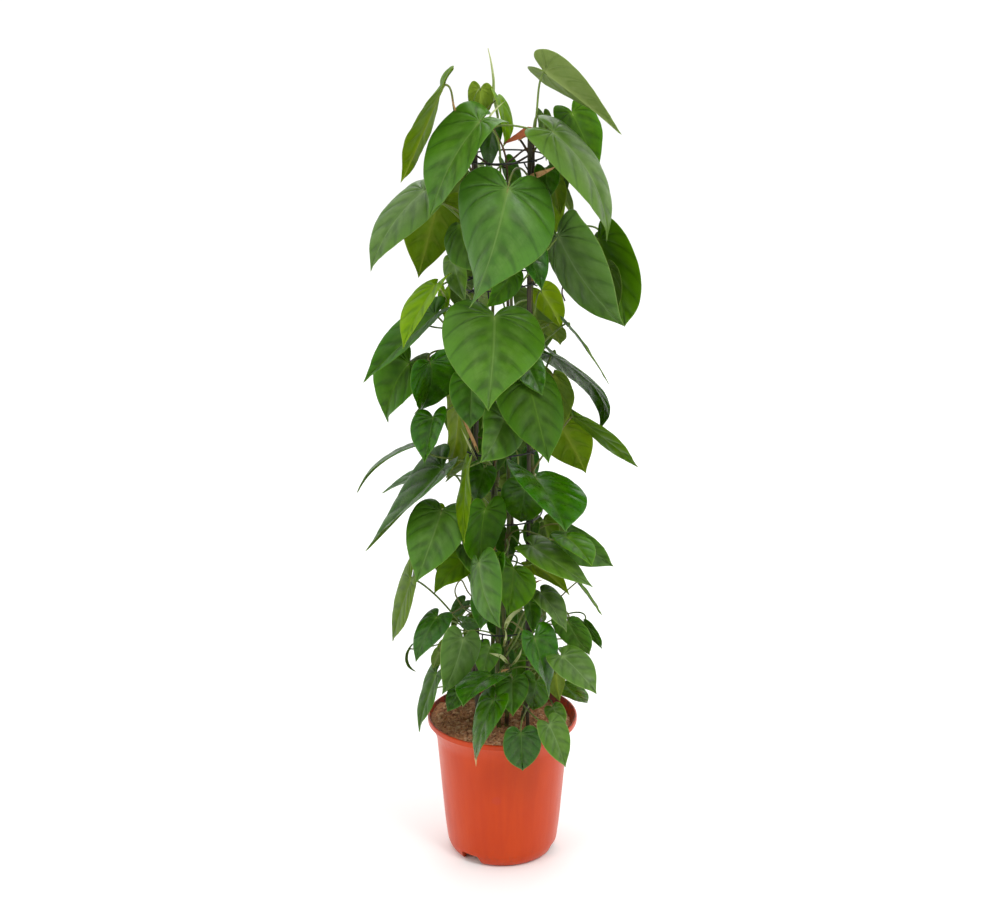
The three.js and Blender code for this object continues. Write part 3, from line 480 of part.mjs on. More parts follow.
// ---- soil, with a hole round each cane and stem
function makeSoil() {
  const g0 = SOIL_GAP, W = POT_WALL, F = POT_FOOT_R;
  const prof = [[0, 12.6], [F + 5, 13.4], [F + 8 - W - g0, 20], [F + 11.4 - W - g0, 41], [77.6 - W - g0, 88], [83.4 - W - g0, 158], [87.1 - W - g0, SOIL_TOP - 6], [89.2 - W - g0, SOIL_TOP - 1], [85, SOIL_TOP], [40, SOIL_TOP + 0.85 * SOIL_MOUND], [0, SOIL_TOP + SOIL_MOUND]];
  const g = new THREE.LatheGeometry(prof.map(([x, z]) => new THREE.Vector2(x, z)), 28);
  g.rotateX(Math.PI / 2);
  let s = solid(g);
  for (const [x, y] of caneAt) {
    const hole = new THREE.CylinderGeometry(CANE_R + FIT_GAP + 0.2, CANE_R + FIT_GAP + 0.2, 200, 8);
    hole.rotateX(Math.PI / 2);
    hole.translate(x, y, CANE_FOOT_Z - FIT_GAP + 100);
    s = s.subtract(solid(hole));
  }
  for (const name of Object.keys(STEMS)) {
    const a = V3(...STEMS[name][0]), b = V3(...STEMS[name][2]);
    const c = [a.clone().addScaledVector(b.clone().sub(a).normalize(), -3), a, V3(...STEMS[name][2]), V3(...STEMS[name][4])];
    s = s.subtract(solid(tube(c, c.map(() => STEM_FOOT_R + 0.5 + FIT_GAP), 6)));
  }
  return geometryOf(s);
}
const caneAt = [225, 315, 45, 135].map((d) => [CANE_RING_R * Math.cos(rad(d)), CANE_RING_R * Math.sin(rad(d))]);

function makeCane(i) {
  const top = CANE_TOPS[i];
  const g = new THREE.CylinderGeometry(CANE_R, CANE_R, top - CANE_FOOT_Z, 8);
  g.rotateX(Math.PI / 2);
  g.translate(caneAt[i][0], caneAt[i][1], (top + CANE_FOOT_Z) / 2);
  return g;
}

// ---- wire hoop round the canes, tilted a little, with a short twisted tail
function makeHoop([z, tilt, low, tail]) {
  const prof = [];
  for (let k = 0; k <= 4; k++) prof.push(new THREE.Vector2(HOOP_R + WIRE_R * Math.cos((2 * Math.PI * k) / 4), WIRE_R * Math.sin((2 * Math.PI * k) / 4)));
  const g = new THREE.LatheGeometry(prof, 24);
  g.rotateX(Math.PI / 2);
  let s = solid(g);
  const a = rad(tail), e = V3(Math.cos(a), Math.sin(a), 0);
  const pts = [e.clone().multiplyScalar(HOOP_R), e.clone().multiplyScalar(HOOP_R + 2.5).add(V3(0, 0, -1.5)), e.clone().multiplyScalar(HOOP_R + 4.2).add(V3(-e.y * 2, e.x * 2, -5.5))];
  s = s.add(solid(tube(pts, [0.9, 0.9, 0.9], 4)));
  const out = geometryOf(s);
  const pos = out.attributes.position;
  for (let i = 0; i < pos.count; i++) pos.setZ(i, pos.getZ(i) + z + tilt * Math.cos(Math.atan2(pos.getY(i), pos.getX(i)) - rad(low)));
  out.computeVertexNormals();
  return out;
}

// ---- assembly
const TONES = { mg: 0x3f7030, dk: 0x2a5424, gg: 0x557a48, ol: 0x6c8a24, li: 0x86aa30, un: 0x7b995e };
const group = new THREE.Group();
const put = (name, geometry, color, roughness) => {
  const mesh = new THREE.Mesh(geometry, new THREE.MeshStandardMaterial({ color, roughness, metalness: 0 }));
  mesh.name = name;
  group.add(mesh);
};
put("pot", makePot(), 0xc04f2c, 0.42);
put("soil", makeSoil(), 0x5a3d28, 0.95);
["cane_front_left", "cane_front_right", "cane_back_right", "cane_back_left"].forEach((n, i) => put(n, makeCane(i), 0x6b4a34, 0.7));
HOOPS.forEach((h, i) => put("wire_hoop_" + (i + 1), makeHoop(h), 0x191a18, 0.5));
for (const name of Object.keys(STEMS)) {
  let s = solid(stemTube(name, 0));
  for (const leaf of leaves.filter((l) => l.stem === name && !l.node_name)) s = s.add(solid(blade(leaf))).add(solid(petiole(leaf, true)));
  put("vine_" + name, geometryOf(s), 0x4d6b2c, 0.55);
}
for (const leaf of leaves.filter((l) => l.node_name)) put(leaf.node_name, geometryOf(solid(blade(leaf)).add(solid(petiole(leaf, false)))), TONES[leaf.tone], 0.45);
const spike = SPIKE.map((p) => V3(p[0], p[1], p[2]));
put("new_leaf_spike", tube(spike, SPIKE.map((p) => p[3]), 6), 0xa9c07a, 0.5);

export default group;
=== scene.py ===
"""Potted heartleaf philodendron on four canes in a terracotta-coloured nursery pot: the shown surfaces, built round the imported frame.

Lengths in the tables are millimetres, with Z up and the fullest side towards -Y. Every mesh is written in metres.
"""
import math

import bmesh
import bpy
import numpy as np
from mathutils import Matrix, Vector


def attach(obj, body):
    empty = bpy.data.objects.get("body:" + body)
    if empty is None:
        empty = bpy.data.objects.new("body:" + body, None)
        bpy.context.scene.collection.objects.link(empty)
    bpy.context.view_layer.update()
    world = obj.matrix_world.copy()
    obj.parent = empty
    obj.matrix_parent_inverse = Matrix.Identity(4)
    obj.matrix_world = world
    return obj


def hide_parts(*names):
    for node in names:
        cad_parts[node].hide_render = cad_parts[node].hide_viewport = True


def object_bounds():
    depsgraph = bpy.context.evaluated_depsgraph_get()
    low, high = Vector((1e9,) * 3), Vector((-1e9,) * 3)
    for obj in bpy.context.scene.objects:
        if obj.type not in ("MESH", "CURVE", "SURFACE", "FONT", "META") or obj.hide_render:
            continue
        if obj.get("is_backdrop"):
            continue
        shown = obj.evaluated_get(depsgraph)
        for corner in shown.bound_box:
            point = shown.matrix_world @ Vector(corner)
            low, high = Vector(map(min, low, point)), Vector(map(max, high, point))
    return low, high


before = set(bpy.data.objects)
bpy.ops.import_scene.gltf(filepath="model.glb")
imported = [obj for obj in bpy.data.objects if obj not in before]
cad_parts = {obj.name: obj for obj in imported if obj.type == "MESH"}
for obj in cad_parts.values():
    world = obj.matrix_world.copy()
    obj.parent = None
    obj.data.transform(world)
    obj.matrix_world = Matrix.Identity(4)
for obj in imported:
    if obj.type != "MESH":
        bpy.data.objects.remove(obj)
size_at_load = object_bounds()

MM = 0.001

# ---- driving dimensions, as in the solid model
POT_RIM_R = 95.2
POT_HEIGHT = 184.0
POT_WALL = 1.9
POT_FOOT_R = 62.0
FOOT_NOTCH_H = 12.8
FOOT_NOTCH_W = 28.0
FOOT_NOTCH_AT = (-127, -16, 113)
DRAIN_HOLE_R = 5.0
SOIL_TOP = 172.5
SOIL_MOUND = 4.0
CANE_R = 2.5
CANE_RING_R = 45.0
HOOP_R = 48.95
WIRE_R = 1.05
STEM_FOOT_R = 3.0
STEM_TOP_R = 1.8
STEM_FOOT_Z = 148.0

# Half outline of a blade: across and along, for a length of 1 from the sinus to the tip and a half width of 0.44.
HALF_OUTLINE = ((0, 0), (.04, -.075), (.095, -.135), (.165, -.175), (.25, -.18), (.335, -.135), (.40, -.045), (.435, .065), (.443, .18), (.428, .31),
                (.39, .435), (.332, .555), (.258, .67), (.172, .775), (.088, .868), (.032, .94), (0, 1))

# Tops of the canes, and the hoops: height, tilt, direction of the low side and of the tail.
CANE_TOPS = (910.8, 923.5, 917.5, 907.8)
HOOPS = ((897.5, 1.5, 0, -60), (748.9, 6.0, 0, -110), (543.8, 2.0, 0, -80), (462.2, 6.0, 120, -95), (385.5, 1.5, 60, -50), (311.3, 1.0, 0, -120))

# Middle lines of the six vine stems.
STEMS = {
    "front_left": [(-3.1, -18.8, 148.0), (-4.6, -23.9, 174.0), (-5.9, -28.6, 200.0), (-6.4, -30.9, 226.0), (-5.9, -30.2, 252.0), (-5.6, -30.0, 278.0), (-5.6, -30.1, 304.0), (-6.3, -30.6, 330.0), (-7.7, -31.2, 356.0), (-9.4, -31.8, 382.0), (-11.2, -32.4, 408.0), (-12.4, -32.8, 434.0), (-12.6, -33.1, 460.0), (-11.9, -33.4, 486.0), (-10.3, -33.4, 512.0), (-8.4, -33.0, 538.0), (-6.8, -32.3, 564.0), (-5.8, -31.5, 590.0), (-5.5, -30.7, 616.0), (-5.6, -30.1, 642.0), (-6.0, -29.9, 668.0), (-6.2, -30.3, 694.0)],
    "front_right": [(3.7, -16.9, 148.0), (5.0, -22.4, 174.0), (6.3, -28.4, 200.0), (6.5, -32.6, 226.0), (5.5, -33.9, 252.0), (4.1, -35.1, 278.0), (2.8, -36.0, 304.0), (2.0, -36.4, 330.0), (2.2, -36.3, 356.0), (3.2, -35.7, 382.0), (4.7, -34.7, 408.0), (6.3, -33.4, 434.0), (7.5, -32.0, 460.0), (8.0, -31.0, 486.0), (8.0, -30.5, 512.0), (7.7, -30.6, 538.0), (7.3, -31.1, 564.0), (7.3, -31.9, 590.0), (7.7, -32.9, 616.0), (8.6, -33.8, 642.0), (9.6, -34.4, 668.0), (10.3, -34.8, 694.0), (10.4, -35.0, 720.0), (9.4, -34.9, 746.0), (7.7, -34.6, 772.0), (5.6, -34.0, 798.0), (3.8, -33.2, 824.0), (2.5, -32.4, 850.0), (2.1, -31.7, 876.0)],
    "left": [(-19.5, -0.5, 148.0), (-26.2, 0.4, 174.0), (-32.8, 1.6, 200.0), (-36.3, 2.3, 226.0), (-35.7, 1.9, 252.0), (-34.9, 0.7, 278.0), (-33.8, -1.1, 304.0), (-32.7, -2.8, 330.0), (-31.7, -4.0, 356.0), (-31.2, -4.6, 382.0), (-31.2, -4.6, 408.0), (-31.7, -4.3, 434.0), (-32.6, -3.8, 460.0), (-33.7, -3.6, 486.0), (-34.7, -3.8, 512.0), (-35.6, -4.4, 538.0), (-36.0, -5.2, 564.0), (-36.0, -5.6, 590.0), (-35.7, -5.4, 616.0), (-35.1, -4.3, 642.0), (-34.3, -2.6, 668.0), (-33.3, -0.7, 694.0), (-32.4, 0.9, 720.0), (-31.7, 1.8, 746.0), (-31.4, 1.9, 772.0), (-31.7, 1.3, 798.0), (-32.4, 0.2, 824.0), (-33.3, -1.1, 850.0), (-34.4, -2.1, 876.0), (-35.3, -2.7, 902.0), (-36.1, -2.7, 928.0)],
    "right": [(19.4, -3.6, 148.0), (24.9, -3.6, 174.0), (30.2, -2.7, 200.0), (32.9, -1.1, 226.0), (32.5, 0.2, 252.0), (32.6, 0.7, 278.0), (33.1, 0.6, 304.0), (33.9, 0.0, 330.0), (35.0, -0.7, 356.0), (36.0, -1.2, 382.0), (36.9, -1.3, 408.0), (37.4, -0.8, 434.0), (37.5, -0.2, 460.0), (37.1, 0.1, 486.0), (36.3, -0.2, 512.0), (35.3, -1.3, 538.0), (34.1, -2.8, 564.0), (33.0, -4.5, 590.0), (32.2, -5.9, 616.0), (31.8, -6.6, 642.0), (32.1, -6.6, 668.0), (33.0, -5.9, 694.0), (34.1, -4.6, 720.0), (35.4, -3.3, 746.0), (36.4, -2.3, 772.0), (37.2, -1.8, 798.0), (37.4, -1.9, 824.0), (37.3, -2.2, 850.0), (36.6, -2.4, 876.0), (35.7, -2.1, 902.0), (34.7, -1.2, 928.0)],
    "back_left": [(-6.9, 16.0, 148.0), (-9.5, 21.3, 174.0), (-11.9, 27.2, 200.0), (-12.9, 31.6, 226.0), (-12.5, 32.9, 252.0), (-12.2, 33.8, 278.0), (-12.3, 34.3, 304.0), (-12.6, 34.2, 330.0), (-12.9, 33.6, 356.0), (-12.8, 32.8, 382.0), (-12.0, 32.0, 408.0), (-10.7, 31.3, 434.0), (-9.0, 30.9, 460.0), (-7.3, 30.8, 486.0), (-6.0, 30.9, 512.0), (-5.6, 31.4, 538.0), (-6.0, 32.0, 564.0), (-7.2, 32.8, 590.0), (-9.0, 33.5, 616.0), (-10.7, 33.9, 642.0), (-12.0, 34.2, 668.0), (-12.6, 34.3, 694.0), (-12.4, 34.1, 720.0), (-11.8, 33.6, 746.0), (-11.3, 32.8, 772.0), (-11.1, 31.7, 798.0), (-11.4, 30.6, 824.0), (-12.0, 29.5, 850.0), (-12.7, 28.8, 876.0)],
    "back_right": [(3.6, 19.5, 148.0), (5.3, 25.9, 174.0), (6.7, 32.1, 200.0), (7.1, 35.2, 226.0), (6.6, 34.5, 252.0), (6.3, 33.5, 278.0), (6.5, 32.4, 304.0), (7.3, 31.3, 330.0), (8.6, 30.4, 356.0), (10.0, 29.9, 382.0), (11.1, 29.9, 408.0), (11.7, 30.5, 434.0), (11.6, 31.6, 460.0), (10.7, 33.1, 486.0), (9.3, 34.4, 512.0), (7.8, 35.4, 538.0), (6.7, 35.9, 564.0), (6.3, 35.7, 590.0), (6.3, 35.0, 616.0), (6.6, 34.0, 642.0), (6.7, 32.9, 668.0), (6.4, 31.9, 694.0), (5.7, 31.3, 720.0), (4.8, 31.1, 746.0), (4.1, 31.4, 772.0), (3.8, 32.0, 798.0)],
}

# Rolled new leaf above the stems: points and radii.
SPIKE = [[-12.7, 28.8, 876.6, 1.2], [-12.7, 30.8, 890.0, 1.2], [-5.4, 39.0, 927.5, 1.3], [-7.7, 38.0, 948.9, 1.7], [-10.7, 35.0, 965.7, 2.1], [-10.6, 33.0, 982.4, 1.7], [-13.5, 31.0, 1003.5, 1.1], [-17.0, 29.0, 1019.9, 0.45]]

# Leaves: node name (empty for a small leaf that stays on its stem), stem, height of its node, rise, drop and swing of the petiole,
# sinus point, rotation vector, blade length, width for a length of 1, fold, cup, arch, tip arch, twist, sickle, lobe droop, tone.
LEAVES = [
    ("leaf_01", "right", 924.3, 0.4, 0.4, 0, 48.2, -12.0, 997.3, -0.9339, 0.0336, -1.4718, 115.1, 0.807, 0.284, -0.479, 0.161, -0.019, 0.297, 0.034, 0.172, "un"),
    ("leaf_02", "left", 880.4, 1.8, 0.4, -0.5, -67.5, 1.5, 981.4, -0.8958, -0.8228, 1.4646, 125.0, 0.735, 0.127, -0.304, 0.173, -0.138, 0.723, -0.021, 0.283, "ol"),
    ("leaf_03", "front_right", 850.6, 0.6, 1.3, 0, -25.9, -43.5, 945.0, -0.4112, -0.8146, 1.8509, 125.1, 0.871, 0.177, 0.014, 0.566, -0.037, -0.237, -0.071, 1.718, "mg"),
    ("leaf_04", "right", 905.8, 1.8, 0.4, -0.5, 81.7, 37.7, 943.8, -0.2777, 1.2391, -2.0795, 77.2, 0.847, 0.19, -0.595, 0.282, -0.034, -0.002, -0.131, 0.295, "ds"),
    ("leaf_05", "left", 908.1, 1.8, 0.4, -0.5, 58.1, -39.6, 932.1, -0.3002, 0.6488, -1.7418, 147.6, 0.802, 0.169, -1.332, 0.923, 0.073, 0.036, 0.119, 0.551, "gg"),
    ("leaf_06", "right", 865.5, 1.8, 0.4, -0.5, 5.9, -86.0, 875.5, 0.2567, -1.6243, 2.5117, 150.0, 0.853, -0.218, -1.145, -0.282, -0.034, 1.341, 0.071, 0.422, "mg"),
    ("leaf_07", "back_left", 822.9, 1, 1, 0, -41.8, 73.8, 860.9, -0.7646, -0.1218, 0.6575, 97.9, 0.826, 0.138, -0.813, 0.49, 0.001, 0.184, 0.099, 0.107, "mg"),
    ("leaf_08", "left", 802.2, 1, 1, 0, -93.5, 14.2, 854.2, -0.2705, -0.625, 1.9994, 117.2, 0.821, 0.163, -1.377, 0.602, 0.09, -0.024, -0.088, 0.502, "gg"),
    ("leaf_09", "back_left", 828.6, 1, 1, 0, 37.3, 98.0, 838.6, -0.9938, -0.0362, -0.2355, 94.1, 0.772, 0.298, -0.888, 0.488, 0.032, -0.005, -0.094, 0.43, "mg"),
    ("leaf_10", "left", 810.5, 1, 1, 0, -77.6, 44.1, 834.5, -1.3011, 0.0337, 0.3316, 97.7, 0.783, 0.259, -0.755, 0.315, 0.0, -0.066, -0.061, 0.3, "ol"),
    ("leaf_11", "front_right", 740.4, 0.4, 0.4, 0, 64.6, -48.6, 813.4, -1.4485, -1.641, 1.7789, 132.5, 0.815, -0.011, -0.761, 0.454, -0.007, -0.233, -0.176, 0.793, "gg"),
    ("leaf_12", "back_left", 790.2, 1, 1, 0, -3.4, 162.7, 800.2, -1.2465, -0.0505, 0.1969, 86.0, 0.907, 0.145, -1.045, 0.645, -0.017, -0.129, 0.027, 0.279, "gg"),
    ("leaf_13", "right", 782.0, 1.6, 1.6, 0, 114.5, -4.1, 799.0, -1.2056, -1.8937, 2.0578, 119.7, 0.802, 0.289, -0.389, 0.45, -0.013, -0.088, 0.655, 0.13, "sg"),
    ("leaf_14", "right", 772.9, 1, 1, 0, 110.0, 56.9, 782.9, -1.2594, 0.5729, -0.889, 90.4, 0.91, 0.139, -0.582, 0.254, -0.012, 0.109, 0.05, 0.228, "dk"),
    ("leaf_15", "left", 733.9, 1.8, 0.4, -0.5, -78.7, -35.4, 750.9, -0.7378, -0.4731, 2.225, 90.9, 0.708, 0.269, -0.417, 0.407, -0.005, -0.187, 0.06, 0.405, "li"),
    ("leaf_16", "left", 716.1, 1, 1, 0, -9.5, -83.4, 726.1, -0.3039, 0.8323, -2.9305, 129.3, 0.948, 0.201, -1.467, 0.354, 0.045, 0.628, 0.145, 0.254, "mg"),
    ("leaf_17", "back_right", 696.1, 1, 1, 0, -25.4, 98.9, 720.1, -0.7974, -0.7456, 0.8112, 115.2, 0.872, 0.149, -0.95, 0.34, 0.026, 0.162, 0.169, 0.341, "mg"),
    ("leaf_18", "left", 643.9, 0.4, 0.4, 0, -80.1, -12.8, 709.9, -0.476, -0.5658, 1.7121, 119.0, 0.806, 0.311, -0.635, 0.162, -0.009, -0.237, 0.022, 0.276, "ds"),
    ("leaf_19", "back_right", 689.4, 1, 1, 0, 39.3, 108.7, 699.4, -1.1718, 0.5117, -0.466, 89.0, 0.813, 0.307, -1.007, 0.432, -0.02, 0.186, 0.027, 0.421, "mg"),
    ("leaf_20", "right", 651.2, 1.2, 0.8, -1.0, 79.2, -13.8, 696.2, -1.9225, -1.6236, 1.02, 86.0, 0.752, 0.102, -0.838, -0.191, -0.053, -0.004, 0.023, 0.314, "dk"),
    ("leaf_21", "right", 582.2, 1, 1, -0.6, 62.9, -23.7, 662.2, -1.9248, -2.1132, 1.0107, 125.8, 0.686, 0.128, -0.116, -0.117, -1.323, 0.097, 0.664, 0.346, "dk"),
    ("leaf_22", "left", 650.6, 1, 1, 0, -86.4, -44.6, 660.6, -0.0668, 2.3039, -1.3752, 98.1, 0.816, 0.486, -0.101, 0.472, 0.001, -0.538, 0.643, 0.078, "dk"),
    ("leaf_23", "left", 638.8, 1, 1, 0, -112.2, -6.1, 648.8, 0.0672, -1.5297, 1.515, 94.1, 0.815, 0.428, -0.588, 0.517, 0.029, 0.332, -0.432, 0.157, "ds"),
    ("leaf_24", "front_left", 608.6, 1, 1, 0, 30.4, -79.3, 646.6, -0.2796, 1.0823, -2.5702, 104.8, 0.825, 0.044, -1.492, 0.14, -0.003, 0.028, -0.024, 0.287, "ds"),
    ("leaf_25", "back_left", 576.7, 1, 1, 0, -52.9, -11.7, 607.7, -1.317, 0.8459, -0.8961, 106.7, 0.661, 0.145, -1.049, 0.38, 0.037, -0.004, -0.111, 0.229, "ol"),
    ("leaf_26", "right", 513.1, 0.4, 0.4, 0, 86.6, -21.9, 586.1, -1.8407, -2.0862, 0.976, 103.6, 0.714, 0.09, -0.951, -0.081, -0.037, -0.339, 0.107, 0.199, "ol"),
    ("leaf_27", "front_left", 517.1, 1, 1, 0.6, -103.6, -38.1, 555.1, -0.3804, -0.0336, 1.5933, 96.0, 0.709, 0.229, -1.061, 0.727, 0.134, -0.024, 0.002, 0.3, "dk"),
    ("leaf_28", "front_left", 522.2, 1, 1, 0, -41.8, -95.3, 546.2, -1.2462, -1.0277, 1.5836, 91.4, 0.756, 0.154, -0.704, 0.218, -0.034, -0.349, 0.052, 0.298, "ol"),
    ("leaf_29", "left", 445.9, 1, 1, 0, -72.6, -39.9, 525.9, -0.5403, -0.7429, 1.7366, 138.2, 0.708, 0.282, -0.398, 0.012, -0.06, 0.367, 0.038, 0.047, "dk"),
    ("leaf_30", "right", 500.3, 1, 1, 0.6, 39.7, -70.6, 524.3, -0.6126, 0.1881, -2.5702, 110.4, 0.968, 0.249, -0.266, 0.214, -0.043, 0.193, 0.193, 0.101, "dk"),
    ("leaf_31", "front_left", 448.5, 1, 1, 0, -21.2, -74.6, 486.5, -0.9203, 1.8655, -1.7793, 84.4, 0.814, 0.215, -0.596, 0.184, -0.031, 0.149, -0.527, 0.316, "ds"),
    ("leaf_32", "front_left", 469.2, 1, 1, 0, -73.2, -60.9, 479.2, -0.1209, -0.9752, 2.6395, 95.4, 0.795, 0.114, -0.815, 0.345, -0.006, -0.061, 0.17, 0.507, "mg"),
    ("leaf_33", "front_right", 434.5, 1, 1, 0, 36.3, -90.6, 444.5, -0.3048, 0.4878, -1.9468, 87.8, 0.798, 0.166, -0.683, 0.053, -0.034, 0.007, -0.112, 0.77, "gg"),
    ("leaf_34", "right", 430.0, 1, 1, 0, 79.0, -28.9, 440.0, 1.5848, 1.9206, -1.6087, 73.2, 0.909, 0.352, -0.324, 0.229, -0.023, -0.299, 0.109, 0.349, "gg"),
    ("leaf_35", "front_left", 406.3, 0.4, 0.4, 0, -27.9, -108.2, 430.3, -1.2888, -1.0853, 2.1297, 84.6, 0.837, 0.087, -1.358, 0.529, 0.05, -0.302, -0.145, 0.301, "mg"),
    ("leaf_36", "front_right", 407.1, 1, 1, 0, 13.6, -88.8, 417.1, -0.4881, -2.0144, 1.4143, 73.9, 0.926, 0.134, -1.024, -0.171, -0.034, 0.004, -0.061, -0.051, "sg"),
    ("leaf_37", "left", 287.7, 0.4, 0.4, 0, -113.1, -20.8, 374.7, -0.682, -1.2251, 1.2255, 103.5, 0.768, 0.215, -1.068, 0.126, 0.019, -0.123, -0.014, 0.206, "ol"),
    ("leaf_38", "front_right", 319.0, 1, 1, 0, 38.4, -106.9, 333.4, -0.5375, 1.3434, -1.9783, 78.1, 0.819, 0.305, -0.386, 0.227, -0.021, -0.679, -0.07, 0.321, "dk"),
    ("leaf_39", "front_right", 263.0, 1, 1, 0, -14.3, -87.9, 275.2, -0.2471, 0.1121, 2.5301, 76.1, 0.863, 0.243, -0.662, 0.379, 0.011, 0.097, -0.186, 0.351, "dk"),
    ("leaf_40", "left", 256.0, 1, 1, 0, -81.7, -61.8, 265.3, -0.8233, -1.0288, 1.5631, 80.9, 0.755, 0.202, -0.897, 0.214, 0.005, -0.086, 0.018, 0.399, "ds"),
    ("leaf_41", "front_left", 200.0, 0.4, 0.4, 0, -10.8, -114.0, 254.2, -0.6654, -0.9037, 1.9806, 84.3, 0.761, 0.158, -0.853, 0.485, 0.025, 0.351, 0.002, 0.449, "dk"),
    ("", "front_left", 631.1, 0.6, 0.6, 0.0, -36.4, -44.5, 639.5, 0.1042, -1.8267, 2.5425, 61.6, 0.875, 0.218, -0.197, 0.474, 0.008, 0.029, -0.031, 0.574, "mg"),
    ("", "front_left", 597.4, 1.8, 0.4, 0.5, -83.1, -49.4, 593.4, -0.641, -0.8779, 2.6389, 59.6, 0.887, 0.5, -0.807, 0.364, -0.004, 0.031, 0.303, 0.309, "dk"),
    ("", "front_left", 535.7, 1.5, 0.4, -0.4, -22.3, -56.7, 530.4, -0.2307, -1.5299, 2.0978, 45.4, 0.869, 0.128, -0.368, 0.394, 0.064, 0.184, 0.053, 0.11, "dk"),
    ("", "front_left", 421.5, 1.2, 0.8, 1.0, -48.6, -50.9, 431.5, -0.5403, 1.031, -1.8861, 47.0, 0.848, 0.22, -0.665, 0.284, -0.011, 0.029, -0.025, 0.3, "mg"),
    ("", "front_left", 392.2, 1, 1, 0, -49.2, -29.9, 402.2, 0.0389, -0.7303, 1.9932, 53.8, 0.914, 0.242, -0.828, 0.484, 0.034, 0.301, -0.136, 0.3, "ol"),
    ("", "front_left", 348.7, 0.6, 0.6, 0.0, -17.8, -49.9, 366.6, 0.1302, -1.1255, 2.6165, 45.3, 0.839, 0.256, -0.311, 0.449, 0.027, 0.017, -0.146, 0.56, "dk"),
    ("", "front_left", 298.0, 1, 1, 0.6, -47.9, -93.3, 326.4, -0.9513, 1.535, -2.3592, 73.5, 0.807, 0.15, -0.858, 0.37, 0.004, -0.208, 0.109, 0.375, "gg"),
    ("", "front_left", 235.0, 1, 1, 0, -52.5, -70.0, 247.9, 0.4031, -1.4919, 2.2102, 32.3, 0.8, 0.22, -0.7, 0.344, -0.001, 0.0, -0.0, 0.3, "dk"),
    ("", "front_right", 801.5, 0.6, 0.6, 0.0, 24.8, -71.4, 809.7, -0.2824, 1.1442, -2.1512, 59.9, 0.744, 0.363, -0.591, 0.366, 0.04, 0.017, 0.035, 0.41, "dk"),
    ("", "front_right", 757.0, 1, 1, 0, 11.9, -61.9, 774.0, -1.5534, 1.524, -2.1905, 54.0, 0.85, 0.221, -0.752, 0.309, 0.0, -0.009, 0.033, 0.251, "ds"),
    ("", "front_right", 663.0, 0.6, 0.6, 0.0, 26.4, -77.0, 670.7, 0.2758, 1.3029, -2.3459, 46.4, 0.792, 0.208, -0.392, 0.142, 0.06, -0.081, 0.042, 0.111, "dk"),
    ("", "front_right", 590.7, 1, 1, 0, 1.6, -79.7, 600.7, -1.1552, 0.9463, -2.7449, 67.4, 0.957, 0.304, -0.712, 0.461, 0.033, -0.168, 0.146, 0.3, "mg"),
    ("", "front_right", 473.9, 1, 1, 0, 27.9, -48.0, 504.9, 0.0263, -2.0947, 2.0135, 58.5, 0.968, 0.291, -0.587, 0.63, 0.04, 0.018, -0.032, 0.3, "dk"),
    ("", "front_right", 438.9, 1, 1, 0, 77.9, -70.6, 448.9, -0.2735, 0.1923, -2.4486, 57.9, 0.909, 0.229, -0.723, 0.334, 0.005, -0.001, 0.121, 0.268, "sg"),
    ("", "front_right", 428.0, 1, 1, 0, -7.4, -112.3, 438.0, -0.8525, -1.087, 1.9972, 49.3, 0.804, 0.167, -0.965, 0.394, 0.023, -0.053, -0.055, 0.3, "dk"),
    ("", "front_right", 402.3, 1, 1, 0, 36.1, -62.1, 412.3, -1.0281, -0.2206, -1.3322, 60.8, 0.799, 0.229, -0.705, 0.395, 0.01, 0.032, -0.031, 0.339, "ol"),
    ("", "front_right", 367.2, 1, 1, 0, 47.0, -69.9, 377.2, -0.4529, 0.5765, -2.2404, 59.4, 0.85, 0.245, -0.565, 0.345, -0.007, -0.093, -0.075, 0.383, "gg"),
    ("", "front_right", 345.2, 0.6, 0.6, 0.0, 33.3, -58.5, 358.8, -0.6511, 1.1981, -2.3241, 38.5, 0.722, 0.358, -0.589, 0.348, 0.034, -0.016, -0.085, 0.408, "mg"),
    ("", "front_right", 276.0, 0.6, 0.6, 0.0, -15.0, -49.1, 297.1, -0.3346, -1.2257, 2.1943, 42.5, 0.892, 0.178, -0.639, 0.35, 0.085, 0.083, -0.193, 0.573, "mg"),
    ("", "front_right", 263.0, 1, 1, 0.6, 65.1, -74.8, 272.9, -1.6141, -0.4347, 0.3685, 36.6, 0.797, 0.235, -0.672, 0.358, 0.002, -0.014, 0.015, 0.3, "ol"),
    ("", "front_right", 256.0, 1, 1, 0, 41.3, -94.9, 271.1, -0.3893, -1.8181, 1.6634, 47.8, 0.96, 0.196, -0.826, 0.309, -0.001, -0.051, -0.044, 0.219, "dk"),
    ("", "front_right", 256.0, 1, 1, -0.6, 11.9, -89.6, 269.4, -0.2505, -1.2436, 2.7701, 44.4, 0.951, 0.231, -0.683, 0.328, -0.002, 0.012, -0.016, 0.3, "mg"),
    ("", "front_right", 221.0, 1, 1, 0, 62.4, -86.6, 232.0, 0.7586, 1.9098, -2.0974, 29.9, 0.898, 0.237, -0.652, 0.362, 0.001, -0.006, 0.02, 0.294, "gg"),
    ("", "front_right", 214.0, 1, 1, 0, 56.5, -118.8, 224.3, -0.4458, 1.0999, -2.0512, 57.5, 0.853, 0.21, -0.669, 0.357, -0.005, 0.129, -0.048, 0.334, "gg"),
    ("", "left", 930.2, 1.2, 0.8, 1.0, -25.6, 11.4, 975.2, -1.417, 0.2873, -0.2015, 44.0, 0.72, 0.213, -0.712, 0.346, -0.001, -0.013, 0.002, 0.301, "li"),
    ("", "left", 931.9, 1.8, 0.4, -0.5, -3.6, 13.2, 962.9, -1.0755, 0.6808, -2.0361, 63.7, 0.72, 0.206, -0.77, 0.556, 0.037, 0.058, 0.081, 0.371, "li"),
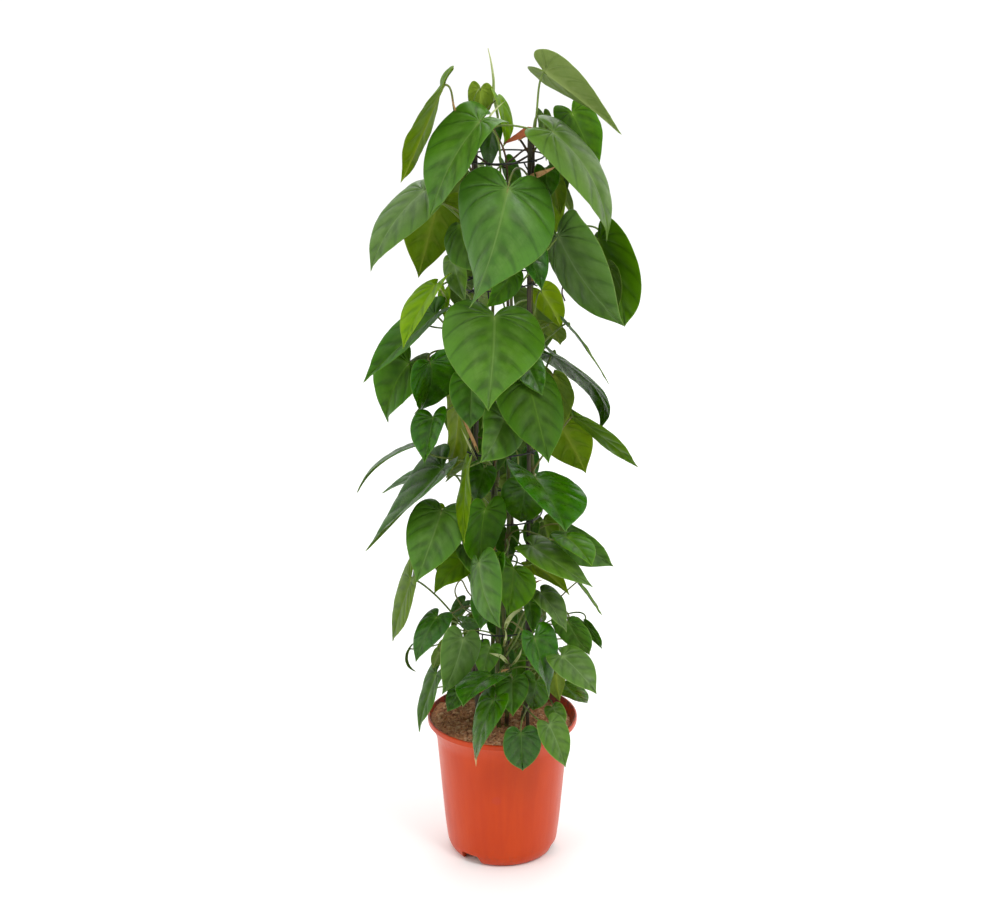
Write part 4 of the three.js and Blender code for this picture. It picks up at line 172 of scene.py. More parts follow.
    ("", "left", 917.5, 1, 1, 0, -11.5, 21.9, 927.5, -0.5654, -1.5454, 1.8007, 52.9, 0.699, 0.192, -0.757, 0.304, -0.005, 0.007, 0.014, 0.3, "dk"),
    ("", "left", 776.4, 1, 1, 0, -49.8, -22.2, 821.4, -1.3571, -0.843, 2.4812, 76.7, 0.815, 0.229, -0.715, 0.368, 0.007, -0.03, -0.086, 0.275, "ds"),
    ("", "left", 770.5, 1, 1, 0, -57.8, -30.5, 780.5, -1.1536, -1.4731, 2.1392, 52.3, 0.796, 0.18, -0.747, 0.304, -0.009, 0.023, 0.055, 0.349, "gg"),
    ("", "left", 714.7, 0.6, 0.6, 0.0, -48.4, 35.6, 736.0, -1.1042, -0.2815, 0.1808, 42.9, 0.863, 0.392, -0.198, 0.091, 0.057, -0.15, -0.06, 0.324, "dk"),
    ("", "left", 722.2, 1, 1, 0, -69.4, 21.4, 732.2, -0.6395, -1.6567, 1.8574, 34.5, 0.597, 0.178, -0.774, 0.227, -0.014, 0.014, 0.05, 0.255, "li"),
    ("", "left", 672.6, 1, 1, 0, -95.8, 52.4, 682.6, -0.7508, -0.3485, 1.2359, 77.5, 0.786, 0.275, -0.76, 0.267, -0.015, 0.143, -0.037, 0.209, "mg"),
    ("", "left", 631.3, 1, 1, 0, -90.3, 43.8, 641.3, -0.7555, -0.2617, 0.8893, 73.9, 0.795, 0.258, -0.746, 0.356, 0.038, 0.136, 0.005, 0.255, "dk"),
    ("", "left", 557.2, 0.6, 0.6, 0.0, -48.7, 37.9, 570.7, -1.1989, -0.1048, 0.0239, 58.6, 0.853, 0.393, -0.652, 0.244, 0.09, 0.102, 0.223, 0.28, "dk"),
    ("", "left", 493.3, 1, 1, 0, -78.8, 28.8, 503.3, -0.1957, -0.1134, 1.8022, 78.5, 0.698, 0.194, -0.515, 0.349, -0.035, 0.081, 0.085, 0.509, "dk"),
    ("", "left", 441.1, 1, 1, 0, -95.4, 15.8, 451.1, -0.8504, -0.8369, 1.2417, 70.1, 0.761, 0.206, -0.941, 0.361, -0.012, -0.066, 0.072, 0.494, "mg"),
    ("", "left", 398.5, 1, 1, 0, -81.6, 13.3, 401.5, -0.6974, -0.6411, 1.7284, 73.1, 0.782, 0.302, -0.622, 0.314, 0.023, 0.052, -0.067, 0.143, "gg"),
    ("", "left", 327.9, 1, 1, 0, -80.0, -49.6, 337.9, -0.4218, -0.6957, 2.2317, 63.9, 0.813, 0.114, -1.147, 0.438, 0.035, -0.034, -0.051, 0.365, "dk"),
    ("", "left", 319.0, 1, 1, 0, -48.8, -40.0, 326.2, 1.9076, 0.9583, -1.3249, 31.6, 0.702, 0.221, -0.725, 0.362, 0.006, 0.02, -0.029, 0.3, "dk"),
    ("", "left", 284.0, 1, 1, 0, -95.0, 46.7, 294.5, -1.0822, -0.7356, 1.1581, 47.5, 0.808, 0.254, -0.79, 0.352, 0.006, -0.138, -0.003, 0.247, "mg"),
    ("", "left", 277.0, 1, 1, 0, -114.8, -40.6, 290.9, -0.9412, -0.5765, 1.477, 34.4, 0.603, 0.285, -0.677, 1.609, 0.076, -0.041, 0.049, 0.326, "dk"),
    ("", "left", 277.0, 1, 1, 0.6, -77.2, -46.4, 289.9, -2.4428, 0.4528, -0.2, 28.5, 0.708, 0.23, -0.672, 0.388, 0.002, -0.041, 0.042, 0.29, "un"),
    ("", "left", 249.0, 0.6, 0.6, 0.0, -4.0, 4.9, 265.0, -0.3748, 1.569, -2.4542, 47.0, 0.865, 0.216, -0.505, 0.105, 0.025, 0.005, 0.09, 0.414, "dk"),
    ("", "left", 249.0, 1, 1, 0, -56.4, 34.7, 263.1, -0.8715, 0.257, 0.2714, 59.4, 0.808, 0.312, -1.091, 0.273, -0.007, -0.165, -0.01, 0.337, "mg"),
    ("", "left", 214.0, 1, 1, 0, -95.5, -14.0, 224.3, -0.9808, -0.8767, 1.2121, 45.1, 0.826, 0.213, -0.91, 0.265, 0.067, -0.123, -0.044, 0.285, "mg"),
    ("", "left", 207.0, 1, 1, 0, -53.8, 40.5, 219.4, -0.733, -0.1218, 0.4196, 44.5, 0.792, 0.187, -1.058, 0.214, 0.072, -0.026, -0.106, 0.383, "mg"),
    ("", "right", 929.9, 1, 1, 0, 48.4, 34.3, 939.9, -1.2484, 0.6691, -0.8489, 54.8, 0.598, 0.167, -0.791, 0.292, -0.006, 0.008, 0.019, 0.328, "dk"),
    ("", "right", 868.0, 0.6, 0.6, 0.0, 49.4, -40.8, 889.5, -0.3205, 1.4661, -2.473, 37.3, 0.864, 0.302, -0.197, 0.176, 0.098, 0.03, 0.044, 0.458, "dk"),
    ("", "right", 877.0, 0.6, 0.6, 0.0, 62.8, 20.5, 882.7, -1.1501, 0.4933, -0.8141, 43.4, 0.744, 0.248, -0.519, 0.171, 0.064, -0.085, 0.006, 0.348, "dk"),
    ("", "right", 858.7, 1, 1, 0, 59.1, 19.9, 868.7, -1.293, 0.3417, -0.7281, 47.4, 0.697, 0.203, -0.733, 0.318, -0.004, 0.003, 0.015, 0.3, "ol"),
    ("", "right", 776.7, 1.8, 0.4, 0.5, 123.4, -32.6, 772.7, -1.1842, 0.6503, -0.9976, 64.5, 0.81, 0.187, -0.766, 0.442, 0.003, 0.047, -0.103, 0.368, "mg"),
    ("", "right", 706.5, 1, 1, 0, 46.0, -4.3, 737.5, -1.2924, -0.0811, -0.8645, 53.1, 0.803, 0.23, -0.754, 0.394, 0.016, -0.019, -0.104, 0.261, "li"),
    ("", "right", 682.4, 1, 1, 0, 55.5, 15.4, 692.4, -0.6946, 0.2066, -0.4944, 49.6, 0.814, 0.124, -0.85, 0.17, -0.025, -0.032, -0.046, 0.302, "ol"),
    ("", "right", 636.3, 1, 1, 0, 59.8, -48.8, 646.3, -1.0627, 0.5475, -0.6789, 73.8, 0.798, 0.184, -0.62, 0.369, -0.012, 0.028, 0.165, 0.548, "ol"),
    ("", "right", 534.9, 1, 1, 0.6, 73.1, 22.3, 558.9, -1.2996, -0.3197, -0.4032, 69.6, 0.909, 0.122, -1.023, 0.266, -0.002, 0.036, -0.015, 0.3, "ol"),
    ("", "right", 448.4, 0.6, 0.6, 0.0, 38.1, -15.8, 444.7, -0.2949, -1.3612, 2.231, 30.7, 0.745, 0.373, -0.585, 0.297, 0.061, -0.015, -0.056, 0.417, "mg"),
    ("", "right", 436.2, 0.6, 0.6, 0.0, 50.7, 13.2, 440.7, -1.315, 0.1802, -0.6013, 43.8, 0.816, 0.346, -0.101, 0.419, 0.093, 0.076, 0.032, 0.155, "dk"),
    ("", "right", 300.8, 0.4, 0.4, 0, 93.6, -29.7, 373.8, -1.918, -1.6032, 1.0617, 50.2, 0.753, 0.051, -0.868, -0.069, -0.055, 0.062, -0.002, 0.3, "dk"),
    ("", "right", 319.0, 1, 1, 0, 81.3, -52.8, 331.5, -0.9784, -2.2306, 1.6379, 60.7, 0.904, 0.226, -0.716, 0.282, -0.006, -0.014, -0.004, 0.2, "mg"),
    ("", "right", 291.0, 1, 1, 0, 102.1, -34.5, 323.5, -1.2693, -2.1618, 1.3031, 47.9, 0.752, 0.145, -0.767, -0.047, -0.054, 0.036, 0.07, 0.13, "dk"),
    ("", "right", 277.0, 1.8, 0.4, 0.5, 72.5, -102.8, 307.2, -0.1285, 0.4918, -2.2309, 63.4, 0.905, 0.217, -0.637, 0.407, 0.0, 0.215, 0.016, 0.423, "gg"),
    ("", "right", 298.0, 1, 1, 0.6, 87.0, -5.2, 306.6, -0.5168, 0.8847, -1.2984, 43.2, 0.808, 0.126, -1.041, 0.404, -0.027, 0.075, 0.036, 0.265, "mg"),
    ("", "right", 249.0, 1, 1, 0, 83.2, 57.9, 262.4, -1.0953, 0.7932, -1.0959, 63.4, 0.766, 0.29, -0.513, 0.31, 0.065, -0.039, -0.068, 0.302, "mg"),
    ("", "right", 242.0, 1, 1, 0, 79.6, 2.4, 258.6, -0.45, 0.7702, -1.1965, 51.4, 0.9, 0.161, -0.57, 0.234, 0.001, 0.13, -0.146, 0.412, "gg"),
    ("", "right", 235.0, 1, 1, 0, 77.8, -58.3, 249.7, 1.1065, 2.5293, -1.4576, 49.8, 0.907, 0.195, -0.763, 0.208, -0.017, -0.039, 0.038, 0.287, "dk"),
    ("", "right", 228.0, 1, 1, 0, 80.0, 38.5, 237.5, -0.9462, 0.856, -1.1817, 44.6, 0.862, 0.172, -0.814, 0.436, 0.039, -0.119, 0.166, 0.216, "mg"),
    ("", "right", 186.0, 1.2, 0.8, 1.0, 22.5, -119.1, 213.1, -0.0844, 2.0869, -2.2294, 55.6, 0.92, 0.479, -0.275, 0.364, 0.003, 0.013, -0.074, 0.353, "dk"),
    ("", "back_left", 868.2, 0.6, 0.6, 0.0, 2.8, 1.5, 887.4, -0.7415, 1.0968, -1.8155, 61.2, 0.773, 0.319, -0.26, 0.389, 0.106, -0.094, -0.056, 0.133, "mg"),
    ("", "back_left", 853.7, 1.8, 0.4, 0.5, -39.1, 113.6, 856.7, -0.9181, -0.5271, 0.5095, 66.7, 0.859, 0.308, -0.503, 0.495, 0.034, 0.083, -0.023, 0.412, "gg"),
    ("", "back_left", 841.7, 1.2, 0.8, 1.0, 70.7, 36.1, 851.7, -1.2793, 0.3571, -1.3131, 41.2, 0.7, 0.207, -0.754, 0.368, 0.009, -0.011, -0.035, 0.3, "un"),
    ("", "back_left", 771.2, 1, 1, 0, -30.3, 94.3, 781.2, -0.8144, 0.2871, -0.1687, 77.3, 0.884, 0.239, -0.573, 0.354, 0.014, -0.176, 0.006, 0.41, "dk"),
    ("", "back_left", 644.5, 1, 1, 0, -18.1, 113.4, 654.5, -0.9362, -0.5104, 0.3541, 82.8, 0.801, 0.209, -0.768, 0.389, 0.066, 0.153, 0.093, 0.418, "dk"),
    ("", "back_left", 522.4, 1, 1, 0, -32.3, 104.8, 546.4, -0.8708, -0.5418, 0.5964, 80.7, 0.812, 0.249, -0.607, 0.571, 0.063, -0.083, -0.081, 0.149, "mg"),
    ("", "back_left", 492.6, 0.6, 0.6, 0.0, -32.2, 55.4, 508.0, -0.708, -0.19, 0.9815, 56.2, 0.852, 0.244, -0.229, 0.032, 0.114, -0.151, -0.199, 0.481, "dk"),
    ("", "back_left", 481.7, 1, 1, 0, -13.5, 103.4, 484.7, -0.9774, 0.2229, 0.0168, 69.8, 0.818, 0.25, -0.604, 0.309, 0.043, 0.084, -0.04, 0.158, "dk"),
    ("", "back_left", 450.7, 1, 1, 0, -5.0, 110.5, 460.7, -1.1891, -0.1128, -0.1381, 65.5, 0.831, 0.145, -0.923, 0.288, 0.004, -0.018, -0.068, 0.234, "mg"),
    ("", "back_left", 438.3, 1, 1, 0, -25.2, 91.7, 448.3, -0.9452, -0.2647, -0.0142, 51.3, 0.895, 0.132, -1.049, 0.235, 0.041, -0.016, -0.035, 0.408, "mg"),
    ("", "back_left", 419.7, 0.6, 0.6, 0.0, 6.2, -5.8, 434.1, -0.3411, -1.3547, 2.6261, 44.3, 0.787, 0.299, -0.5, 0.21, 0.046, 0.12, -0.186, 0.238, "dk"),
    ("", "back_left", 418.2, 1, 1, 0, -90.5, 93.0, 428.2, -1.3722, -0.1186, 0.2511, 45.2, 0.846, 0.283, -1.1, 0.388, 0.028, 0.05, -0.095, 0.235, "ol"),
    ("", "back_left", 398.3, 1, 1, -0.6, -19.2, 89.0, 408.3, -0.7857, -0.0939, 0.4732, 57.0, 0.847, 0.187, -0.928, 0.421, -0.0, 0.189, -0.146, 0.368, "mg"),
    ("", "back_left", 398.1, 1, 1, 0, -74.8, 89.0, 408.1, -1.2598, -0.7083, 0.8624, 79.6, 0.829, 0.122, -0.937, 0.468, 0.074, 0.043, -0.078, 0.497, "mg"),
    ("", "back_left", 371.1, 1, 1, 0, -3.6, 90.7, 388.1, -0.825, 0.1038, 0.1594, 53.0, 0.838, 0.181, -1.094, 0.44, 0.039, -0.023, 0.165, 0.181, "gg"),
    ("", "back_left", 325.0, 1, 1, 0, -25.4, 75.3, 349.0, -0.8924, 0.3866, -0.3222, 70.7, 0.807, 0.218, -0.589, 0.322, 0.061, -0.102, -0.071, 0.322, "dk"),
    ("", "back_left", 326.2, 0.6, 0.6, 0.0, -1.1, -6.7, 325.2, -0.0927, 1.7349, -2.5054, 46.7, 0.872, 0.247, -0.601, 0.306, 0.061, -0.209, 0.065, 0.108, "dk"),
    ("", "back_left", 326.7, 0.6, 0.6, 0.0, -48.2, 40.7, 321.2, -0.0792, -1.0116, 1.9563, 31.3, 0.748, 0.171, -0.475, 0.34, 0.013, 0.008, 0.123, 0.429, "dk"),
    ("", "back_left", 293.7, 0.6, 0.6, 0.0, -45.4, 56.4, 304.9, -0.8284, -0.3067, 1.0327, 41.4, 0.773, 0.215, -0.168, 0.494, 0.104, 0.066, -0.14, 0.16, "dk"),
    ("", "back_left", 235.0, 1.5, 0.6, 0, -57.4, 69.2, 246.2, -0.9588, -0.1379, 0.3505, 47.1, 0.905, 0.307, -0.614, 0.334, -0.024, 0.058, 0.058, 0.458, "mg"),
    ("", "back_left", 228.0, 1, 1, 0, -11.8, 83.0, 237.4, -0.8411, -0.1266, -0.2382, 48.1, 0.774, 0.25, -0.746, 0.619, -0.014, 0.066, -0.155, 0.426, "dk"),
    ("", "back_left", 214.0, 1, 1, 0, -44.3, 74.8, 225.1, -1.073, -0.4476, 0.3447, 52.1, 0.902, 0.215, -0.617, 0.23, 0.035, 0.146, 0.132, 0.102, "dk"),
    ("", "back_right", 753.0, 0.6, 0.6, 0.0, -29.2, 61.5, 749.5, -0.688, -0.1954, 0.6278, 58.0, 0.838, 0.259, -0.295, 0.493, 0.037, -0.124, 0.172, 0.549, "dk"),
    ("", "back_right", 575.4, 1, 1, 0, 33.0, 100.2, 585.4, -0.7252, 0.6259, -0.8654, 82.5, 0.843, 0.263, -0.905, 0.228, 0.016, 0.174, 0.083, 0.185, "gg"),
    ("", "back_right", 568.9, 1, 1, 0, -1.3, 144.0, 578.9, -1.2673, -0.5201, 0.5602, 60.7, 0.763, 0.264, -1.085, 0.392, 0.015, -0.026, 0.159, 0.241, "mg"),
    ("", "back_right", 544.1, 0.6, 0.6, 0.0, -8.7, 10.2, 550.3, -0.1433, -1.6663, 2.1702, 57.4, 0.792, 0.259, -0.128, 0.45, 0.058, -0.054, -0.09, 0.191, "mg"),
    ("", "back_right", 529.9, 1, 1, 0, 43.9, 99.9, 539.9, -1.011, 0.4203, -0.7711, 55.0, 0.818, 0.202, -1.098, 0.414, 0.068, -0.176, 0.16, 0.296, "mg"),
    ("", "back_right", 510.8, 0.6, 0.6, 0.0, 22.8, 15.4, 526.8, -0.2734, 1.7901, -2.3146, 58.4, 0.782, 0.132, -0.121, 0.183, 0.107, -0.127, -0.097, 0.279, "dk"),
    ("", "back_right", 503.8, 1, 1, 0, 4.4, 102.9, 513.8, -1.0158, -0.1595, -0.1473, 86.7, 0.805, 0.132, -0.594, 0.42, 0.036, 0.154, -0.002, 0.211, "dk"),
    ("", "back_right", 452.4, 1, 1, 0.6, 54.0, 64.5, 462.4, -0.7256, 0.5934, -0.6445, 77.1, 0.901, 0.285, -0.845, 0.264, 0.061, 0.173, 0.06, 0.212, "gg"),
    ("", "back_right", 407.8, 1, 1, 0, 69.5, 55.9, 417.8, -0.927, 0.1812, -1.053, 59.0, 0.78, 0.18, -0.914, 0.517, -0.022, -0.156, 0.056, 0.369, "dk"),
    ("", "back_right", 402.1, 1, 1, 0, 47.0, 80.8, 412.1, -1.0091, 0.0667, -0.6237, 41.0, 0.769, 0.306, -0.744, 0.345, -0.003, -0.198, -0.169, 0.358, "mg"),
    ("", "back_right", 360.9, 1, 1, 0, 62.6, 63.4, 370.9, -0.7907, -0.3111, -0.0907, 46.1, 0.761, 0.185, -0.978, 0.206, 0.025, -0.17, 0.144, 0.375, "mg"),
    ("", "back_right", 298.0, 1, 1, -0.6, 35.6, 70.7, 330.9, -0.7728, 0.7267, -0.8384, 76.6, 0.889, 0.143, -0.66, 0.563, 0.062, 0.19, 0.076, 0.491, "mg"),
    ("", "back_right", 284.4, 0.6, 0.6, 0.0, -26.1, 61.6, 289.5, -1.1183, 0.2783, 0.835, 37.3, 0.882, 0.399, -0.636, 0.46, 0.029, -0.072, -0.108, 0.348, "mg"),
    ("", "back_right", 277.0, 1, 1, 0, 10.8, 92.0, 287.1, -0.9912, 0.5254, -0.496, 68.2, 0.805, 0.308, -0.798, 0.243, -0.025, 0.196, 0.028, 0.122, "dk"),
    ("", "back_right", 261.1, 0.6, 0.6, 0.0, 17.2, 16.0, 259.3, -0.3715, 1.5631, -2.4322, 47.4, 0.858, 0.127, -0.416, 0.081, 0.051, 0.029, 0.067, 0.341, "mg"),
    ("", "back_right", 242.0, 1, 1, 0, 23.7, 75.4, 251.9, -0.8582, -0.0704, -0.3518, 55.5, 0.847, 0.313, -1.066, 0.522, 0.067, -0.014, 0.148, 0.253, "mg"),
    ("", "back_right", 221.0, 1, 1, 0, 45.5, 78.3, 232.6, -1.046, -0.062, -0.1131, 54.9, 0.862, 0.268, -0.873, 0.526, 0.047, -0.045, -0.17, 0.485, "dk"),
    ("", "back_right", 221.0, 1, 1, -0.6, 67.3, 65.8, 231.2, -1.1489, 0.6205, -0.8869, 35.3, 0.865, 0.165, -0.757, 0.392, 0.034, 0.151, -0.006, 0.342, "dk"),
]
DRY_TIPS = ("leaf_41",)

SPOT_AT = (-0.0075, -0.0795, 0.1)
SPOT_R = 0.006
LOOK = {}
# Sheaths: kind, half width, how far each is rolled, where it opens to, and its middle line.
SHEATHS = [
    ("red", 5.6, 0.8, (0.0, -0.95, 0.3), [(39.0, -2.0, 919.8), (30.6, -14.0, 929.9), (16.7, -20.0, 923.9), (0.5, -22.0, 916.1)]),
    ("tan", 2.0, 1.1, (-0.2, -1, 0.2), [(36.7, -2.0, 916.3), (28.3, -16.0, 924.4), (17.8, -24.0, 919.9)]),
    ("tan", 4.2, 0.8, (0, -0.95, 0.3), [(30.6, -30.0, 877.9), (40.6, -56.0, 886.0), (50.5, -74.0, 893.8), (61.5, -84.0, 901.3)]),
    ("tan", 1.3, 1.0, (0, -1, 0.2), [(-53.0, -2.0, 947.8), (-56.4, -4.0, 957.3), (-59.7, -5.0, 970.2)]),
    ("pale", 3.3, 0.8, (0, -0.95, 0.3), [(3.1, -60.0, 326.6), (8.0, -64.0, 340.1), (16.6, -66.0, 350.2), (30.0, -66.0, 358.1)]),
    ("pale", 2.8, 0.8, (0, -0.95, 0.3), [(5.7, -58.0, 280.3), (-0.5, -62.0, 288.8), (-6.7, -64.0, 292.3), (-16.5, -64.0, 295.0)]),
    ("pale", 2.0, 0.8, (0.2, -1, 0.4), [(13.1, -58.0, 277.6), (18.0, -62.0, 286.1), (21.6, -64.0, 293.6), (24.1, -64.0, 301.7)]),
    ("tan", 2.0, 0.9, (0, -0.9, 0.5), [(-6.7, -56.0, 260.6), (-0.5, -60.0, 269.1), (9.4, -62.0, 272.7)]),
    ("pale", 1.8, 0.9, (0.2, -1, 0.3), [(1.9, -58.0, 304.4), (4.4, -62.0, 316.8), (3.1, -62.0, 326.1)]),
    ("pale", 1.3, 0.9, (0.3, -1, 0.2), [(-17.9, -44.0, 942.6), (-14.4, -46.0, 952.1), (-6.4, -42.0, 960.6), (2.7, -36.0, 967.7)]),
    ("tan", 2.4, 0.9, (0.1, -1, 0.1), [(-29.5, -40.0, 547.2), (-35.4, -46.0, 564.3), (-42.5, -48.0, 581.2), (-51.9, -48.0, 601.2)]),
    ("pale", 1.7, 1.0, (-0.4, -1, 0.1), [(-32.0, -38.0, 539.0), (-42.6, -46.0, 564.3), (-49.7, -47.0, 579.6)]),
    ("tan", 2.0, 1.2, (-0.2, -1, 0), [(-11.6, -36.0, 404.1), (-12.8, -40.0, 416.1), (-7.9, -41.0, 426.9)]),
    ("pale", 1.5, 1.1, (0, -1, 0.2), [(-48.5, -31.0, 399.5), (-51.0, -34.0, 390.2), (-54.8, -36.0, 375.1)]),
    ("tan", 2.1, 1.2, (-0.3, -1, 0.1), [(37.5, -4.0, 746.0), (33.8, -8.0, 757.8), (31.4, -10.0, 771.6)]),
    ("pale", 1.7, 1.2, (0.2, -1, 0.3), [(-66.9, 18.0, 718.6), (-71.6, 14.0, 729.5), (-78.5, 10.0, 742.7)]),
    ("tan", 1.7, 1.1, (0.4, -1, 0.2), [(37.6, -2.0, 485.9), (43.6, -8.0, 500.9), (52.1, -12.0, 510.0)]),
    ("tan", 1.6, 1.1, (-0.4, -1, 0.2), [(-32.6, -6.0, 461.2), (-39.9, -12.0, 473.7), (-48.4, -14.0, 480.9)]),
    ("red", 1.6, 1.2, (0.4, -1, 0.2), [(34.5, -3.0, 355.4), (41.9, -9.0, 367.2), (50.5, -12.0, 371.0)]),
    ("pale", 1.4, 1.0, (-0.4, -1, 0.2), [(-34.6, -2.0, 279.2), (-43.3, -8.0, 288.5), (-50.7, -14.0, 289.7)]),
    ("tan", 1.5, 1.1, (0.3, -1, 0.2), [(3.2, -38.0, 382.5), (10.5, -44.0, 394.0), (20.3, -46.0, 396.1)]),
    ("tan", 1.8, 1.2, (0.1, -1, 0.2), [(-33.0, -3.0, 694.2), (-38.9, -9.0, 705.5), (-43.5, -12.0, 717.3)]),
]
# Loose petioles and bits of stem between the leaves: colour, radius and middle line.
LOOSE = [
    ("brown", 1.5, [(35.6, -2.0, 894.1), (29.7, -6.0, 904.1), (21.5, -8.0, 917.3), (15.6, -10.0, 922.3), (14.6, -18.6, 923.2)]),
    ("brown", 1.25, [(36.7, -2.0, 910.5), (25.0, -8.0, 906.8), (13.3, -12.0, 898.1), (1.7, -16.0, 889.4), (4.4, -21.2, 888.6)]),
    ("brown", 1.25, [(-35.7, -2.0, 902.3), (-26.3, -8.0, 897.4), (-15.8, -12.0, 891.1), (-0.7, -14.0, 890.3), (14.5, -8.0, 891.6), (35.6, -2.0, 902.3)]),
    ("brown", 1.15, [(-25.9, -43.5, 945.0), (-15.6, -40.0, 945.5), (-7.6, -34.0, 929.6), (0.5, -28.0, 912.5), (5.1, -22.0, 890.5), (5.2, -20.0, 862.0), (3.4, -28.6, 850.0)]),
    ("brown", 1.5, [(36.1, -4.0, 792.0), (45.5, -8.0, 785.7), (51.5, -10.0, 772.8), (49.2, -10.0, 759.5), (37.5, -5.0, 746.2)]),
    ("pale", 1.0, [(-32.5, -6.0, 487.2), (-22.5, -22.0, 500.4), (-7.9, -32.0, 500.0), (8.0, -32.0, 491.0)]),
    ("pale", 1.0, [(7.4, -30.9, 556.0), (17.5, -36.0, 545.9), (18.7, -40.0, 524.4), (16.4, -42.0, 502.1), (9.2, -34.0, 483.9)]),
    ("pale", 1.1, [(47.0, -69.9, 377.2), (37.6, -48.0, 353.4), (26.6, -48.0, 329.5), (16.8, -46.0, 304.7), (4.5, -37.0, 279.3)]),
    ("pale", 1.0, [(-31.8, -4.0, 338.3), (-42.9, -14.0, 355.8), (-51.4, -20.0, 374.1), (-58.8, -24.0, 359.7), (-47.9, -18.0, 335.9), (-33.1, -6.0, 320.3)]),
    ("pale", 0.9, [(-33.2, -4.0, 286.8), (-45.6, -14.0, 301.9), (-59.2, -20.0, 308.5), (-67.9, -24.0, 303.4), (-77.2, -46.4, 289.9)]),
    ("brown", 1.0, [(34.8, -2.0, 286.0), (47.2, -10.0, 300.3), (62.1, -16.0, 305.5), (72.0, -20.0, 301.8), (87.0, -5.2, 306.6)]),
    ("pale", 1.0, [(4.5, -36.0, 286.9), (11.9, -44.0, 303.8), (20.4, -48.0, 329.5), (26.6, -48.0, 342.8), (33.3, -58.5, 358.8)]),
    ("pale", 1.0, [(33.3, -2.0, 340.2), (46.9, -12.0, 349.6), (61.7, -18.0, 349.3), (75.3, -22.0, 342.9), (81.3, -52.8, 331.5)]),
    ("brown", 1.0, [(36.2, -2.4, 768.0), (54.0, -3.0, 773.0), (70.7, -4.0, 763.0), (73.2, -6.0, 751.3), (70.9, -7.0, 736.9), (74.5, -8.0, 726.1)]),
]
# Lights: name, place, aim, width, watts, height. Metres.
LIGHTS = [
    ("key", (1.4, -2.0, 2.9), (0, 0, 0.55), 1.0, 38, 1.0),
    ("fill", (-2.2, -1.9, 1.9), (0, 0, 0.5), 1.2, 15, 1.2),
    ("back", (0.2, 2.6, 2.2), (0, 0, 0.6), 2.0, 16, 2.0),
]
WORLD_LIGHT = (0.10, 0.86, 0.5)


# ---- small helpers
def unit(v):
    v = np.asarray(v, float)
    return v / max(np.linalg.norm(v), 1e-12)


def smooth(a, b, x):
    t = np.clip((np.asarray(x, float) - a) / (b - a), 0, 1)
    return t * t * (3 - 2 * t)


def lattice(i, j, k, seed):
    """A fixed pseudo-random number from -1 to 1 for each lattice point."""
    h = (i * 374761393 + j * 668265263 + k * 2147483647 + seed * 1274126177) & 0xFFFFFFFF
    h = ((h ^ (h >> 13)) * 1274126177) & 0xFFFFFFFF
    h = (h ^ (h >> 16)) & 0xFFFFFF
    return h / 8388607.5 - 1


def noise(p, seed=0):
    """Smooth value noise from -1 to 1 at the rows of p."""
    p = np.atleast_2d(np.asarray(p, float))
    if p.shape[1] == 2:
        p = np.c_[p, np.zeros(len(p))]
    c = np.floor(p).astype(np.int64)
    f = p - c
    f = f * f * f * (f * (f * 6 - 15) + 10)
    out = np.zeros(len(p))
    for dx in (0, 1):
        for dy in (0, 1):
            for dz in (0, 1):
                w = (f[:, 0] if dx else 1 - f[:, 0]) * (f[:, 1] if dy else 1 - f[:, 1]) * (f[:, 2] if dz else 1 - f[:, 2])
                out += w * lattice(c[:, 0] + dx, c[:, 1] + dy, c[:, 2] + dz, seed)
    return out


def rotation(v):
    """Rotation matrix of a rotation vector. Its columns are across, along and up."""
    v = np.asarray(v, float)
    a = np.linalg.norm(v)
    if a < 1e-9:
        return np.eye(3)
    k = v / a
    K = np.array([[0, -k[2], k[1]], [k[2], 0, -k[0]], [-k[1], k[0], 0]])
    return np.eye(3) + math.sin(a) * K + (1 - math.cos(a)) * K @ K


def through(points, n):
    """n + 1 points evenly along a smooth curve through the given points, and where each falls between them."""
    P = np.asarray(points, float)
    ext = np.vstack([2 * P[0] - P[1], P, 2 * P[-1] - P[-2]])
    dense, par = [], []
    m = 12
    for i in range(len(P) - 1):
        p0, p1, p2, p3 = ext[i:i + 4]
        for k in range(m + (i == len(P) - 2)):
            t = k / m
            dense.append(0.5 * (2 * p1 + (p2 - p0) * t + (2 * p0 - 5 * p1 + 4 * p2 - p3) * t * t + (3 * p1 - p0 - 3 * p2 + p3) * t ** 3))
            par.append(i + t)
    dense, par = np.array(dense), np.array(par)
    s = np.r_[0, np.cumsum(np.linalg.norm(np.diff(dense, axis=0), axis=1))]
    want = np.linspace(0, s[-1], n + 1)
    return np.stack([np.interp(want, s, dense[:, k]) for k in range(P.shape[1])], 1), np.interp(want, s, par)


def bezier(p0, p1, p2, p3, n):
    t = np.linspace(0, 1, n + 1)[:, None]
    return (1 - t) ** 3 * p0 + 3 * (1 - t) ** 2 * t * p1 + 3 * (1 - t) * t * t * p2 + t ** 3 * p3


def frames(P):
    """Two unit directions across a path at each point, turned as little as they can be."""
    T = np.gradient(P, axis=0)
    T /= np.maximum(np.linalg.norm(T, axis=1, keepdims=True), 1e-12)
    a = unit(np.cross(T[0], [0.31, 0.9, 0.27] if abs(T[0][1]) < 0.9 else [1, 0.2, 0]))
    A = [a]
    for i in range(1, len(P)):
        a = A[-1] - T[i] * (A[-1] @ T[i])
        A.append(unit(a))
    A = np.array(A)
    return T, A, np.cross(T, A)


